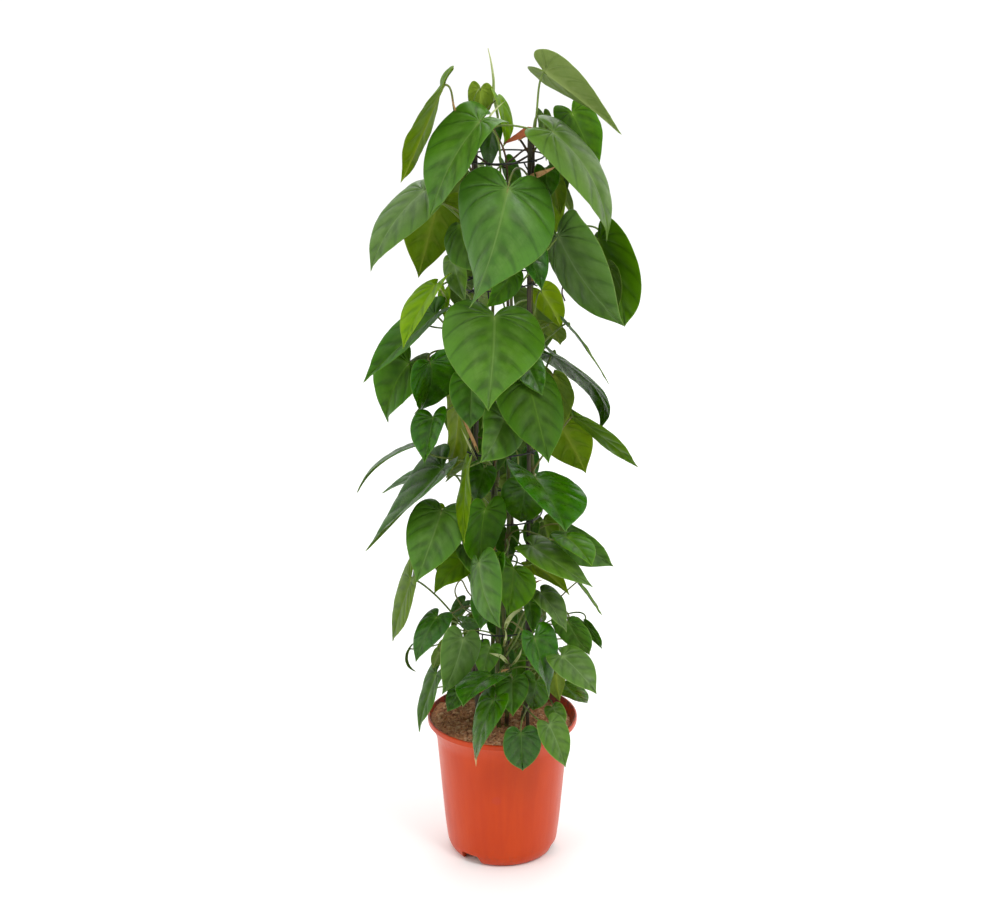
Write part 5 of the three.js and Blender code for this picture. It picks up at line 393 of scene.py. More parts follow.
class Surface:
    """Collects vertices, faces, material numbers and point values for one mesh."""

    def __init__(self):
        self.v, self.f, self.m, self.a, self.n = [], [], [], {}, 0

    def add(self, verts, faces, material=0, **values):
        verts = np.asarray(verts, float)
        for k in set(self.a) | set(values):
            self.a.setdefault(k, [np.zeros((self.n, 3))] if self.n else [])
            self.a[k].append(np.broadcast_to(np.asarray(values.get(k, np.zeros(3)), float), (len(verts), 3)))
        self.v.append(verts)
        faces = np.asarray(faces)
        self.f.append((faces + self.n) * (faces >= 0) - (faces < 0))
        self.m.append(np.broadcast_to(np.asarray(material), (len(faces),)))
        self.n += len(verts)

    def build(self, name, materials, nodes, flat=False, sharp=None):
        V = np.vstack(self.v) * MM
        F = np.vstack([np.c_[f, -np.ones((len(f), 4 - f.shape[1]), int)] if f.shape[1] < 4 else f for f in self.f])
        M = np.concatenate(self.m)
        size = np.where(F[:, 3] < 0, 3, 4)
        me = bpy.data.meshes.new(name)
        me.vertices.add(len(V))
        me.vertices.foreach_set("co", V.astype(np.float32).ravel())
        me.loops.add(int(size.sum()))
        me.loops.foreach_set("vertex_index", F[F >= 0].astype(np.int32))
        me.polygons.add(len(F))
        me.polygons.foreach_set("loop_start", np.r_[0, np.cumsum(size)[:-1]].astype(np.int32))
        me.polygons.foreach_set("material_index", M.astype(np.int32))
        for m in materials:
            me.materials.append(m)
        me.update(calc_edges=True)
        me.validate()
        me.polygons.foreach_set("use_smooth", [not flat] * len(me.polygons))
        if sharp is not None:
            me.set_sharp_from_angle(angle=math.radians(sharp))
        for k, parts in self.a.items():
            at = me.attributes.new(k, "FLOAT_VECTOR", "POINT")
            at.data.foreach_set("vector", np.vstack(parts).astype(np.float32).ravel())
        me.update()
        return place(bpy.data.objects.new(name, me), nodes)


BOX_LOW, BOX_HIGH = (np.array(list(q), float) / MM for q in size_at_load)


def inside_box(V, base):
    """The points drawn in towards the base along each axis, so that none lies outside the size at load."""
    V = V.copy()
    for k in range(3):
        for stop, far in ((BOX_HIGH[k] - 0.03, V[:, k].max()), (BOX_LOW[k] + 0.03, V[:, k].min())):
            if (far - stop) * (stop - base[k]) > 0:
                side = (V[:, k] - base[k]) * (far - base[k]) > 0
                V[side, k] = base[k] + (V[side, k] - base[k]) * (stop - base[k]) / (far - base[k])
    return V


def place(ob, nodes):
    bpy.context.scene.collection.objects.link(ob)
    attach(ob, "root")
    if nodes:
        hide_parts(*nodes)
    return ob


def tube(surface, P, radii, sides, material=0, squash=None, caps=True, **values):
    """A round tube along the rows of P. radii is a number for each row, or a table of a number for each row and side."""
    P = np.asarray(P, float)
    n = len(P)
    R = np.asarray(radii, float)
    R = np.broadcast_to(R[:, None] if R.ndim == 1 else R, (n, sides)) if R.ndim else np.full((n, sides), float(R))
    T, A, B = frames(P)
    a = 2 * np.pi * np.arange(sides) / sides
    V = P[:, None] + R[..., None] * (A[:, None] * np.cos(a)[None, :, None] + B[:, None] * np.sin(a)[None, :, None])
    V = V.reshape(-1, 3)
    i, j = np.meshgrid(np.arange(n - 1), np.arange(sides), indexing="ij")
    q = np.stack([i * sides + j, i * sides + (j + 1) % sides, (i + 1) * sides + (j + 1) % sides, (i + 1) * sides + j], -1).reshape(-1, 4)
    vals = {k: np.repeat(np.broadcast_to(np.asarray(v, float), (n, 3)), sides, 0) for k, v in values.items()}
    s = np.r_[0, np.cumsum(np.linalg.norm(np.diff(P, axis=0), axis=1))]
    if "run" not in vals:
        vals["run"] = np.stack([np.repeat(s, sides), np.tile(a, n), np.full(n * sides, float(P[0] @ [3.1, 1.7, 0.9]) % 97)], 1)
    if caps:
        V = np.vstack([V, P[0] - T[0] * R[0].mean() * 0.3, P[-1] + T[-1] * R[-1].mean() * 0.5])
        k = np.arange(sides)
        c0 = np.stack([np.full(sides, n * sides), (k + 1) % sides, k, np.full(sides, -1)], 1)
        c1 = np.stack([np.full(sides, n * sides + 1), (n - 1) * sides + k, (n - 1) * sides + (k + 1) % sides, np.full(sides, -1)], 1)
        q = np.vstack([q, c0, c1])
        vals = {key: np.vstack([v, v[:1], v[-1:]]) for key, v in vals.items()}
    surface.add(V, q, material, **vals)
    return T


# ---- leaf blades
NK = 24


def bent(x, y, p):
    """Flat blade coordinates to the bent blade, for a length of 1: folded along the midrib, cupped across, arched, twisted and curved along."""
    o, t, n, b = np.zeros(3), np.array([0, 1.0, 0]), np.array([0, 0, 1.0]), np.array([1.0, 0, 0])
    O, N, B = [o.copy()], [n.copy()], [b.copy()]
    h = 1.0 / NK
    for k in range(NK):
        yy = (k + 0.5) * h
        a = h * (p["arch"] + 3 * p["arch2"] * yy * yy)
        t, n = t * math.cos(a) - n * math.sin(a), n * math.cos(a) + t * math.sin(a)
        a = h * p["sickle"]
        t, b = t * math.cos(a) + b * math.sin(a), b * math.cos(a) - t * math.sin(a)
        a = h * p["twist"]
        n, b = n * math.cos(a) + b * math.sin(a), b * math.cos(a) - n * math.sin(a)
        o = o + t * h
        O.append(o), N.append(n), B.append(b)
    O, N, B = np.array(O), np.array(N), np.array(B)
    f = np.clip(y, 0, 1) * NK
    i = np.minimum(f.astype(int), NK - 1)
    w = (f - i)[:, None]
    o, n, b = O[i] * (1 - w) + O[i + 1] * w, N[i] * (1 - w) + N[i + 1] * w, B[i] * (1 - w) + B[i + 1] * w
    neg = y < 0
    if neg.any():
        yy = y[neg]
        a = p["lobe"] * -yy / 0.18 * 0.5
        o[neg] = np.stack([0 * yy, yy * np.cos(a), yy * np.sin(a)], -1)
        n[neg] = np.stack([0 * yy, -np.sin(a), np.cos(a)], -1)
        b[neg] = [1.0, 0, 0]
    a, s, F, K = np.abs(x), np.sign(x), p["fold"], p["cup"]
    K = 1e-3 if abs(K) < 1e-3 else K
    X, Z = (np.sin(F + K * a) - math.sin(F)) / K, (math.cos(F) - np.cos(F + K * a)) / K
    return o + b * (s * X)[:, None] + n * Z[:, None], n


OUTLINE_FINE = through(HALF_OUTLINE, 480)[0]
OUTLINE_FINE[0], OUTLINE_FINE[-1] = (0, 0), (0, 1)
OUTLINE_FINE[:, 0] = np.maximum(OUTLINE_FINE[:, 0], 0)
_nets = {}


def net(veins, per, cols):
    """The flat net of a blade, whose rows follow the side veins: points, faces of the upper side, and what the colours are drawn from."""
    key = (veins, per, cols)
    if key in _nets:
        return _nets[key]
    rows = veins * per
    E = OUTLINE_FINE[np.round(np.linspace(0, 480, rows + 1)).astype(int)]
    mid = np.clip(E[:, 1] - 0.86 * E[:, 0], 0, 1)
    mid = np.maximum.accumulate(mid)
    mid[-1] = 1
    start = np.c_[np.zeros(rows + 1), mid]
    d = E - start
    ln = np.maximum(np.linalg.norm(d, axis=1), 1e-9)
    bow = 0.17 * smooth(-0.12, 0.12, E[:, 1]) - 0.07 * (1 - smooth(-0.17, 0.02, E[:, 1]))
    bow *= smooth(0, 0.1, ln)
    C = (start + E) / 2 + np.c_[d[:, 1], -d[:, 0]] * bow[:, None]
    ids, flat, w, v, ring = {}, [], [], [], []
    index = np.zeros((2, rows + 1, cols + 1), int)
    L0 = 0.9
    for half in (0, 1):
        for j in range(rows + 1):
            near, next_, last = min(0.006 / ln[j], 0.07), min(0.016 / ln[j], 0.18), 1 - min(0.0095 / ln[j], 0.12)
            V = np.r_[0, near, np.linspace(next_, last, cols - 2), 1] ** 1.0
            for i in range(cols + 1):
                if i == 0:
                    key2 = ("m", 0 if mid[j] == 0 else j)
                elif j == 0:
                    key2 = ("m", 0)
                elif j == rows:
                    key2 = ("m", rows)
                else:
                    key2 = (half, j, i)
                if key2 not in ids:
                    t = V[i]
                    q = (1 - t) ** 2 * start[j] + 2 * t * (1 - t) * C[j] + t * t * E[j]
                    ids[key2] = len(flat)
                    flat.append((q[0] * (1 if half == 0 else -1), q[1]))
                    w.append(j / per)
                    v.append(t if ln[j] > 1e-6 else 1.0)
                    ring.append(ln[j] * (1 - t))
                index[half, j, i] = ids[key2]
    faces = []
    for half in (0, 1):
        I = index[half]
        for j in range(rows):
            for i in range(cols):
                q = [I[j, i], I[j, i + 1], I[j + 1, i + 1], I[j + 1, i]]
                if half:
                    q = q[::-1]
                q2 = [a for k, a in enumerate(q) if a != q[k - 1]]
                if len(set(q2)) == 4:
                    faces.append(q2)
                elif len(set(q2)) == 3:
                    faces.append(q2 + [-1])
    edge = set(index[:, :, cols].ravel())
    out = (np.array(flat), np.array(faces), np.array(w), np.array(v), np.array(ring), np.array([k in edge for k in range(len(flat))]), rows)
    _nets[key] = out
    return out


def normals(P, F):
    """Vertex normals of a net."""
    n = np.zeros_like(P)
    tri = F[:, :3]
    quad = F[F[:, 3] >= 0]
    for T in (tri, quad[:, [0, 2, 3]]):
        c = np.cross(P[T[:, 1]] - P[T[:, 0]], P[T[:, 2]] - P[T[:, 0]])
        for k in range(3):
            np.add.at(n, T[:, k], c)
    return n / np.maximum(np.linalg.norm(n, axis=1, keepdims=True), 1e-12)


def blade(surface, leaf, seed, top=0, under=1):
    L = leaf["length"]
    veins, per, cols = (8, 8, 13) if L > 95 else (7, 6, 11) if L > 55 else (6, 5, 9)
    flat, F, w, v, ring, edge, rows = net(veins, per, cols)
    x, y = flat[:, 0] / 0.44 * 0.5 * leaf["ratio"], flat[:, 1]
    P, _ = bent(x, y, leaf)
    P = P * L
    N = normals(P, F)
    rng = np.random.default_rng(1000 + seed)
    ph = rng.uniform(0, 6.28, 6)
    # the blade swells between its side veins, the midrib lies in a shallow trough, and the margin waves a little
    vein = np.abs(((w + 0.5) % 1) - 0.5) * 2  # 0 on a side vein, 1 halfway to the next
    body = smooth(0.02, 0.3, v) * (1 - 0.75 * smooth(0.72, 1, v))
    tipward = 1 - 0.6 * smooth(0.75, 1, y)
    swell = (0.0120 * L + 0.15) * (np.sin(vein * np.pi / 2) ** 0.8 - 0.5) * body * tipward * rng.uniform(0.7, 1.25)
    side = np.sign(flat[:, 0])
    around = w / rows * per * 2 * np.pi
    wave = 0.0085 * leaf["calm"] * L * v ** 3 * (np.sin(around * 1.0 * 2.3 + ph[0] + side * ph[1]) + 0.6 * np.sin(around * 4.1 + ph[2] + side * ph[3])) * smooth(0, 0.12, ring + 0.12 * v) * (1 - smooth(0.9, 1, y))
    broad = 0.0135 * leaf["calm"] * L * noise(np.c_[x * 3.4 + ph[4], y * 3.4 + ph[5]], seed) * smooth(0, 0.4, v)
    fine = 0.0026 * L * noise(np.c_[x * 13 + ph[5], y * 13 + ph[4]], seed + 7) * smooth(0.05, 0.4, v)
    trough = -(0.2 + 0.0035 * L) * (1 - smooth(0, 0.16, v)) * smooth(0.0, 0.05, y)
    h = swell + wave * 0.9 + broad + fine + trough
    P = P + N * h[:, None]
    N = normals(P, F)
    t = np.where(edge, 0.0, 0.26 + 0.14 * np.exp(-(v / 0.1) ** 2))
    rib = 0.5 * np.exp(-(np.abs(x) * L / 1.0) ** 2) * (1 - 0.8 * smooth(0, 1, y)) * (y > 0) * min(1, L / 100)
    R = leaf["turn"]
    up = (P + N * t[:, None]) @ R.T + leaf["base"]
    low = (P - N * (t + rib)[:, None]) @ R.T + leaf["base"]
    # spacing of the rows in mm, so that lines can be drawn with a width
    gap = np.clip(v, 0.04, 1) * L * 1.35 / veins
    dist = np.abs(((w + 0.5) % 1) - 0.5) * gap
    dist = np.where(v < 1e-6, 0, dist)
    lines = np.stack([dist, ring * L, np.abs(x) * L], 1)
    half = np.abs((w % 1) - 0.5) * gap
    grain = np.stack([w, v, half], 1)
    place_ = np.stack([x * L + 331.7 * ((seed * 0.618) % 1), y * L + 157.3 * ((seed * 0.383) % 1), np.full(len(x), (seed * 0.618034) % 1)], 1)
    along = np.stack([y, np.full(len(x), L), np.full(len(x), (seed * 0.7548) % 1)], 1)
    keep = ~edge
    # upper side, then the lower side, which shares the margin
    n = len(P)
    low_id = np.where(edge, np.arange(n), 0)
    low_id[keep] = n + np.arange(keep.sum())
    V = np.vstack([up, low[keep]])
    V[:n][edge] = ((up + low) / 2)[edge]
    V = inside_box(V, leaf["base"])
    F2 = np.where(F >= 0, low_id[np.maximum(F, 0)], -1)
    quad = F[:, 3] >= 0
    rev = np.where(quad[:, None], F2[:, [3, 2, 1, 0]], F2[:, [2, 1, 0, 3]])
    vals = {k: np.vstack([a, a[keep]]) for k, a in dict(lines=lines, grain=grain, flat=place_, along=along).items()}
    surface.add(V, np.vstack([F, rev]), np.r_[np.full(len(F), top), np.full(len(F), under)], **vals)


# ---- stems
def stem_point(name, z):
    c = np.array(STEMS[name])
    return np.array([np.interp(z, c[:, 2], c[:, 0]), np.interp(z, c[:, 2], c[:, 1]), np.clip(z, c[0, 2], c[-1, 2])])


def stem_r(name, z):
    return STEM_FOOT_R + (STEM_TOP_R - STEM_FOOT_R) * (z - STEM_FOOT_Z) / (STEMS[name][-1][2] - STEM_FOOT_Z)


def petiole(surface, leaf, seed, material):
    s0 = stem_point(leaf["stem"], leaf["node"])
    base, R = leaf["base"], leaf["turn"]
    d = base - s0
    dist = np.linalg.norm(d)
    dh = unit([d[0], d[1], 0])
    out = unit(dh * math.cos(leaf["swing"]) + np.array([-dh[1], dh[0], 0]) * math.sin(leaf["swing"]))
    start = s0 + out * (stem_r(leaf["stem"], leaf["node"]) + 0.35)
    along, up = R[:, 1], R[:, 2]
    p1 = start + out * 0.18 * dist * leaf["rise"] + np.array([0, 0, 0.3 * dist * leaf["rise"]])
    p2 = base - up * (0.28 * dist * leaf["drop"] + 2) - along * 0.16 * dist * leaf["drop"]
    n = max(10, int(dist / 4))
    P = bezier(start, p1, p2, base - up * 0.55, n)
    end = base + along * min(5, 0.06 * leaf["length"]) - up * 0.5
    P = np.vstack([s0 + out * 0.4, P, end])
    u = np.linspace(0, 1, len(P))
    k = min(1.0, 0.55 + leaf["length"] / 240)
    r = k * (1.28 + 0.75 * np.exp(-(u / 0.06) ** 2) + 0.28 * np.exp(-((1 - u) / 0.08) ** 2))
    r[-1] *= 0.45
    wob = noise(np.c_[P * 0.05], seed)[:, None] * 0.5 * np.sin(np.pi * u)[:, None]
    P = P + wob * np.array([0.6, 0.2, 0.2])
    tube(surface, P, r, 8, material, along=np.stack([u, np.full(len(u), leaf["length"]), np.full(len(u), (seed * 0.7548) % 1)], 1))


def stem(surface, name, nodes, material=0):
    c = np.array(STEMS[name])
    n = int((c[-1, 2] - c[0, 2]) / 3.2)
    P, _ = through(c, n)
    z = P[:, 2]
    r = np.array([stem_r(name, q) for q in z])
    nodes = sorted(set(nodes))
    ring = np.zeros(len(z))
    for q in nodes:
        ring += np.exp(-((z - q + 1.2) / 2.3) ** 2)
    ring = np.clip(ring, 0, 1.2)
    # shallow flutes, which turn slowly round the stem
    seed = sum(map(ord, name))
    a = 2 * np.pi * np.arange(14) / 14
    s = np.r_[0, np.cumsum(np.linalg.norm(np.diff(P, axis=0), axis=1))]
    flute = 0.05 * np.sin(3 * a[None] + s[:, None] * 0.03) + 0.04 * noise(np.c_[np.repeat(s * 0.12, 14), np.tile(np.cos(a), len(s)), np.tile(np.sin(a), len(s))], seed).reshape(len(s), 14)
    Rr = r[:, None] * (0.97 + 0.34 * ring[:, None]) * (1 + flute)
    wander = np.c_[noise(np.c_[s * 0.03, s * 0 + seed], 3), noise(np.c_[s * 0.03, s * 0 + seed], 4), s * 0] * 0.9
    age = np.clip((z - (c[-1, 2] - 130)) / 110, 0, 1)
    tube(surface, P + wander, Rr, 14, material, along=np.stack([(z - c[0, 2]) / (c[-1, 2] - c[0, 2]), age, ring], 1))
    # leaf scars: a thin collar just above each node
    for q in nodes:
        p = stem_point(name, q + 1.4)
        rr = stem_r(name, q)
        ang = np.linspace(0, 2 * np.pi, 25)
        loop = np.c_[p[0] + rr * 1.2 * np.cos(ang), p[1] + rr * 1.2 * np.sin(ang), p[2] + 0.5 * np.sin(ang + q)]
        tube(surface, loop, 0.3, 5, material, caps=False, along=np.broadcast_to([0.5, 0.8, 1], (25, 3)))


def root(surface, p, direction, length, r, seed, material=0):
    """An aerial root: a short tapering peg that bends down."""
    rng = np.random.default_rng(seed)
    d = unit(direction)
    n = 9
    pts, q = [np.asarray(p, float) - d * 1.0], np.asarray(p, float)
    for i in range(n):
        pts.append(q.copy())
        q = q + d * length / n
        d = unit(d + np.array([0, 0, -0.10]) + rng.normal(0, 0.10, 3))
    u = np.linspace(0, 1, len(pts))
    tube(surface, pts, r * (1 - 0.72 * u ** 1.4) + 0.12, 6, material, along=np.stack([u, 0 * u + 1, 0 * u + (seed % 10) / 10], 1))


def sheath(surface, path, width, normal, curl=1.0, material=0, thick=0.28, cols=8, flare=0.55, tone=0.5, seed=0):
    """A dry or fresh sheath: a narrow pointed blade, rolled across so that it opens towards the normal."""
    P, _ = through(path, 22)
    n = len(P)
    T = np.gradient(P, axis=0)
    T /= np.linalg.norm(T, axis=1, keepdims=True)
    Nn = np.array([unit(np.asarray(normal, float) - t * (np.asarray(normal, float) @ t)) for t in T])
    S = np.cross(T, Nn)
    u = np.linspace(0, 1, n)
    half = width * (np.sin(np.pi * np.clip(u * 0.86 + 0.14, 0, 1)) ** 0.75) * (1 - 0.25 * u)
    half[-1] = 0.12
    out = []
    for sgn in (1, -1):
        g = []
        for k in range(cols + 1):
            q = (k / cols * 2 - 1)
            a = q * curl * (1 - flare * 0.4 * u)
            rad_ = half / max(math.sin(min(curl, 1.5)), 0.2)
            crinkle = 0.18 * width * noise(np.c_[u * 7, np.full(n, q * 2.2)], seed) * smooth(0, 0.4, u) * (abs(q) ** 0.5)
            g.append(P + S * (rad_ * np.sin(a))[:, None] + Nn * (rad_ * (1 - np.cos(a)) + crinkle + sgn * thick / 2)[:, None])
        out.append(np.stack(g, 1))
    V = np.vstack([out[0].reshape(-1, 3), out[1].reshape(-1, 3)])
    w, m = cols + 1, n * (cols + 1)
    i, j = np.meshgrid(np.arange(n - 1), np.arange(cols), indexing="ij")
    a = np.stack([i * w + j, i * w + j + 1, (i + 1) * w + j + 1, (i + 1) * w + j], -1).reshape(-1, 4)
    faces = [a, a[:, ::-1] + m]
    for j0 in (0, cols):
        k = np.arange(n - 1)
        e = np.stack([k * w + j0, (k + 1) * w + j0, (k + 1) * w + j0 + m, k * w + j0 + m], 1)
        faces.append(e if j0 == 0 else e[:, ::-1])
    for i0 in (0, n - 1):
        k = np.arange(cols)
        e = np.stack([i0 * w + k, i0 * w + k + 1, i0 * w + k + 1 + m, i0 * w + k + m], 1)
        faces.append(e[:, ::-1] if i0 == 0 else e)
    uu = np.repeat(u, w)
    vv = np.tile(np.linspace(-1, 1, w), n)
    al = np.stack([uu, vv, np.full(len(uu), tone)], 1)
    surface.add(V, np.vstack(faces), material, along=np.vstack([al, al]))


# ---- materials
def srgb(r, g, b):
    f = lambda c: c / 12.92 if c <= 0.04045 else ((c + 0.055) / 1.055) ** 2.4
    return (f(r / 255), f(g / 255), f(b / 255), 1)


class Paint:
    """Node material with a small vocabulary."""

    def __init__(self, name):
        self.mat = bpy.data.materials.new(name)
        self.mat.use_nodes = True
        self.t = self.mat.node_tree
        self.t.nodes.clear()
        self.out = self.t.nodes.new("ShaderNodeOutputMaterial")
        self.bsdf = self.t.nodes.new("ShaderNodeBsdfPrincipled")
        self.t.links.new(self.bsdf.outputs[0], self.out.inputs["Surface"])

    def node(self, kind, **props):
        n = self.t.nodes.new(kind)
        for k, v in props.items():
            setattr(n, k, v)
        return n

    def put(self, socket, value):
        if isinstance(value, bpy.types.NodeSocket):
            self.t.links.new(value, socket)
        elif isinstance(value, bpy.types.Node):
            self.t.links.new(value.outputs[0], socket)
        else:
            socket.default_value = value

    def attr(self, name):
        n = self.node("ShaderNodeAttribute", attribute_type="GEOMETRY", attribute_name=name)
        s = self.node("ShaderNodeSeparateXYZ")
        self.put(s.inputs[0], n.outputs["Vector"])
        return n.outputs["Vector"], s.outputs[0], s.outputs[1], s.outputs[2]

    def math(self, op, a, b=None, c=None, clamp=False):
        n = self.node("ShaderNodeMath", operation=op, use_clamp=clamp)
        for i, v in enumerate((a, b, c)):
            if v is not None:
                self.put(n.inputs[i], v)
        return n.outputs[0]

    def ramp(self, value, a, b, lo=0.0, hi=1.0, kind="SMOOTHSTEP"):
        n = self.node("ShaderNodeMapRange", interpolation_type=kind, clamp=True)
        for i, v in enumerate((value, a, b, lo, hi)):
            self.put(n.inputs[i], v)
        return n.outputs[0]

    def mix(self, fac, a, b, blend="MIX"):
        n = self.node("ShaderNodeMix", data_type="RGBA", blend_type=blend, clamp_factor=True)
        self.put(n.inputs[0], fac)
        self.put(n.inputs[6], a)
        self.put(n.inputs[7], b)
        return n.outputs[2]

    def noise(self, vec, scale, detail=2.0, rough=0.5, distort=0.0):
        n = self.node("ShaderNodeTexNoise")
        self.put(n.inputs["Vector"], vec)
        n.inputs["Scale"].default_value = scale
        n.inputs["Detail"].default_value = detail
        n.inputs["Roughness"].default_value = rough
        n.inputs["Distortion"].default_value = distort
        return n.outputs[0]

    def scaled(self, vec, x, y, z):
        n = self.node("ShaderNodeVectorMath", operation="MULTIPLY")
        self.put(n.inputs[0], vec)
        n.inputs[1].default_value = (x, y, z)
        return n.outputs[0]

    def where(self):
        """Object coordinates, in metres."""
        return self.node("ShaderNodeTexCoord").outputs["Object"]

    def bump(self, height, strength, distance):
        n = self.node("ShaderNodeBump")
        self.put(n.inputs["Height"], height)
        n.inputs["Strength"].default_value = strength
        n.inputs["Distance"].default_value = distance
        self.put(self.bsdf.inputs["Normal"], n.outputs[0])

    def set(self, **values):
        for k, v in values.items():
            self.put(self.bsdf.inputs[k.replace("_", " ")], v)

    def translucent(self, colour, amount):
        t = self.node("ShaderNodeBsdfTranslucent")
        self.put(t.inputs["Color"], colour)
        m = self.node("ShaderNodeMixShader")
        self.put(m.inputs[0], amount)
        self.t.links.new(self.bsdf.outputs[0], m.inputs[1])
        self.t.links.new(t.outputs[0], m.inputs[2])
        self.t.links.new(m.outputs[0], self.out.inputs["Surface"])


def leaf_material(name, main, alt, deep_shade, line, edge, rough=0.4, line_amount=0.10, rib_amount=0.42, sheen=0.0, coat=0.05, through_=0.16, glow=(140, 190, 10), dry=None, under=False, rim=None, pale=None, painted_sheen=0.34, trough_shade_amount=0.60, spec=0.20):
    rim = rim or alt
    # pale: the grey-green of the painted sheen streaks
    pale = pale or tuple(int(c + (d - c) * 0.5) for c, d in zip(alt, (140, 172, 104)))
    m = Paint(name)
    _, vein, ring, mid = m.attr("lines")
    grain, w, v, half = m.attr("grain")
    flat, fx, fy, seed = m.attr("flat")
    _, y, length, seed2 = m.attr("along")
    blotch = m.noise(m.scaled(flat, 0.028, 0.028, 40), 1.0, 3, 0.55)
    mott = m.noise(m.scaled(flat, 0.16, 0.16, 40), 1.0, 3, 0.6)
    streak = m.noise(m.scaled(grain, 2.2, 3.4, 0), 1.0, 3, 0.55)
    col = m.mix(m.ramp(blotch, 0.30, 0.70, 0.15, 0.85), srgb(*main), srgb(*alt))
    # painted shade: darker in the troughs along the veins and along the midrib, so the swellings stay lighter; a
    # brighter green towards the margin; painted sheen as pale streaks on the blade
    part = m.math("PINGPONG", w, 0.5)
    trough = m.math("MULTIPLY", m.math("MULTIPLY", m.ramp(vein, 0.2, 2.4, 1, 0), m.ramp(part, 0.04, 0.28, 1, 0)), m.ramp(v, 0.03, 0.2))
    col = m.mix(m.math("MULTIPLY", trough, trough_shade_amount), col, srgb(*deep_shade))
    col = m.mix(m.math("MULTIPLY", m.ramp(mid, 0.8, 4.0, 1, 0), 0.25 * trough_shade_amount), col, srgb(*deep_shade))
    col = m.mix(m.math("MULTIPLY", m.ramp(v, 0.45, 1.0), 0.45), col, srgb(*rim))
    # painted sheen: pale grey-green streaks over the blade, fading out towards the margin
    col = m.mix(m.math("MULTIPLY", m.ramp(streak, 0.42, 0.72), m.ramp(v, 0.9, 0.5, 0.0, painted_sheen)), col, srgb(*pale))
    col = m.mix(m.math("MULTIPLY", m.ramp(mott, 0.40, 0.7), 0.10), col, srgb(*deep_shade))
    # fine side veins between the main ones: on the upper side drawn in the deep green as painted shade in their sunken
    # lines, on the lower side in the pale vein colour
    fine = m.math("ABSOLUTE", m.math("SINE", m.math("MULTIPLY", w, 15.708)))
    col = m.mix(m.math("MULTIPLY", m.ramp(fine, 0.0, 0.35, 1, 0), m.math("MULTIPLY", m.ramp(v, 0.1, 0.3, 0, 1), 0.12)), col, srgb(*(line if under else deep_shade)))
    second = m.math("MULTIPLY", m.ramp(half, 0.12, 0.45, 1, 0), m.ramp(v, 0.15, 0.8, 0.22, 0.0))
    col = m.mix(second, col, srgb(*(line if under else deep_shade)))
    # each leaf a little lighter or darker than the next, and a little yellower or bluer
    hsv = m.node("ShaderNodeHueSaturation")
    m.put(hsv.inputs["Hue"], m.ramp(seed2, 0, 1, 0.492, 0.508, "LINEAR"))
    m.put(hsv.inputs["Saturation"], m.ramp(seed, 0, 1, 0.92, 1.08, "LINEAR"))
    m.put(hsv.inputs["Value"], m.ramp(seed, 0, 1, 0.9, 1.1, "LINEAR"))
    m.put(hsv.inputs["Color"], col)
    col = hsv.outputs[0]
    # side veins, midrib and margin
    width = m.ramp(v, 0.0, 1.0, 0.85, 0.30, "LINEAR")
    on_vein = m.ramp(m.math("DIVIDE", vein, width), 0.35, 1.3, 1, 0)
    col = m.mix(m.math("MULTIPLY", on_vein, m.ramp(v, 0.0, 0.95, line_amount * 1.25, line_amount * 0.35, "LINEAR")), col, srgb(*line))
    rib_w = m.math("MULTIPLY", m.ramp(y, 0.0, 0.8, 1.9, 0.45, "LINEAR"), m.ramp(length, 30, 140, 0.55, 1.15, "LINEAR"))
    on_rib = m.math("MULTIPLY", m.ramp(m.math("DIVIDE", mid, rib_w), 0.45, 1.25, 1, 0), m.ramp(y, -0.06, 0.0))
    col = m.mix(m.math("MULTIPLY", on_rib, rib_amount), col, srgb(*line))
    hub = m.math("MULTIPLY", m.ramp(mid, 1.5, 9.0, 1, 0), m.ramp(m.math("ABSOLUTE", m.math("SUBTRACT", y, 0.01)), 0.01, 0.10, 1, 0))
    col = m.mix(m.math("MULTIPLY", hub, 0.45), col, srgb(*line))
    on_edge = m.ramp(ring, 0.25, 1.35, 1, 0)
    col = m.mix(m.math("MULTIPLY", on_edge, 0.46), col, srgb(*edge))
    if dry:
        at = m.math("ADD", y, m.math("MULTIPLY", m.math("SUBTRACT", mott, 0.5), 0.05))
        col = m.mix(m.ramp(at, dry - 0.015, dry + 0.05), col, srgb(214, 160, 104))
        col = m.mix(m.math("MULTIPLY", m.ramp(at, dry - 0.05, dry - 0.005), m.ramp(at, dry, dry + 0.03, 1, 0)), col, srgb(120, 96, 30))
    m.set(Base_Color=col)
    gloss = m.math("ADD", m.ramp(mott, 0.3, 0.7, rough - 0.05, rough + 0.07), m.math("MULTIPLY", on_rib, 0.05))
    m.set(Roughness=gloss)
    m.bsdf.inputs["Specular IOR Level"].default_value = 0.14 if under else spec
    m.bsdf.inputs["Coat Weight"].default_value = coat
    m.bsdf.inputs["Coat Roughness"].default_value = 0.22
    if sheen:
        m.bsdf.inputs["Sheen Weight"].default_value = sheen
        m.bsdf.inputs["Sheen Roughness"].default_value = 0.5
    cells = m.noise(m.scaled(flat, 0.9, 0.9, 40), 1.0, 2, 0.6)
    ridge = m.math("MULTIPLY", on_vein, -0.5 if not under else 0.9)
    rise = m.math("ADD", m.math("MULTIPLY", cells, 0.35), m.math("ADD", ridge, m.math("MULTIPLY", m.ramp(fine, 0.0, 0.5, 1, 0), -0.12)))
    m.bump(rise, 0.7, 0.0004)
    if through_:
        m.translucent(m.mix(m.math("MULTIPLY", on_rib, 0.6), srgb(*glow), srgb(*line)), through_)
    return m.mat


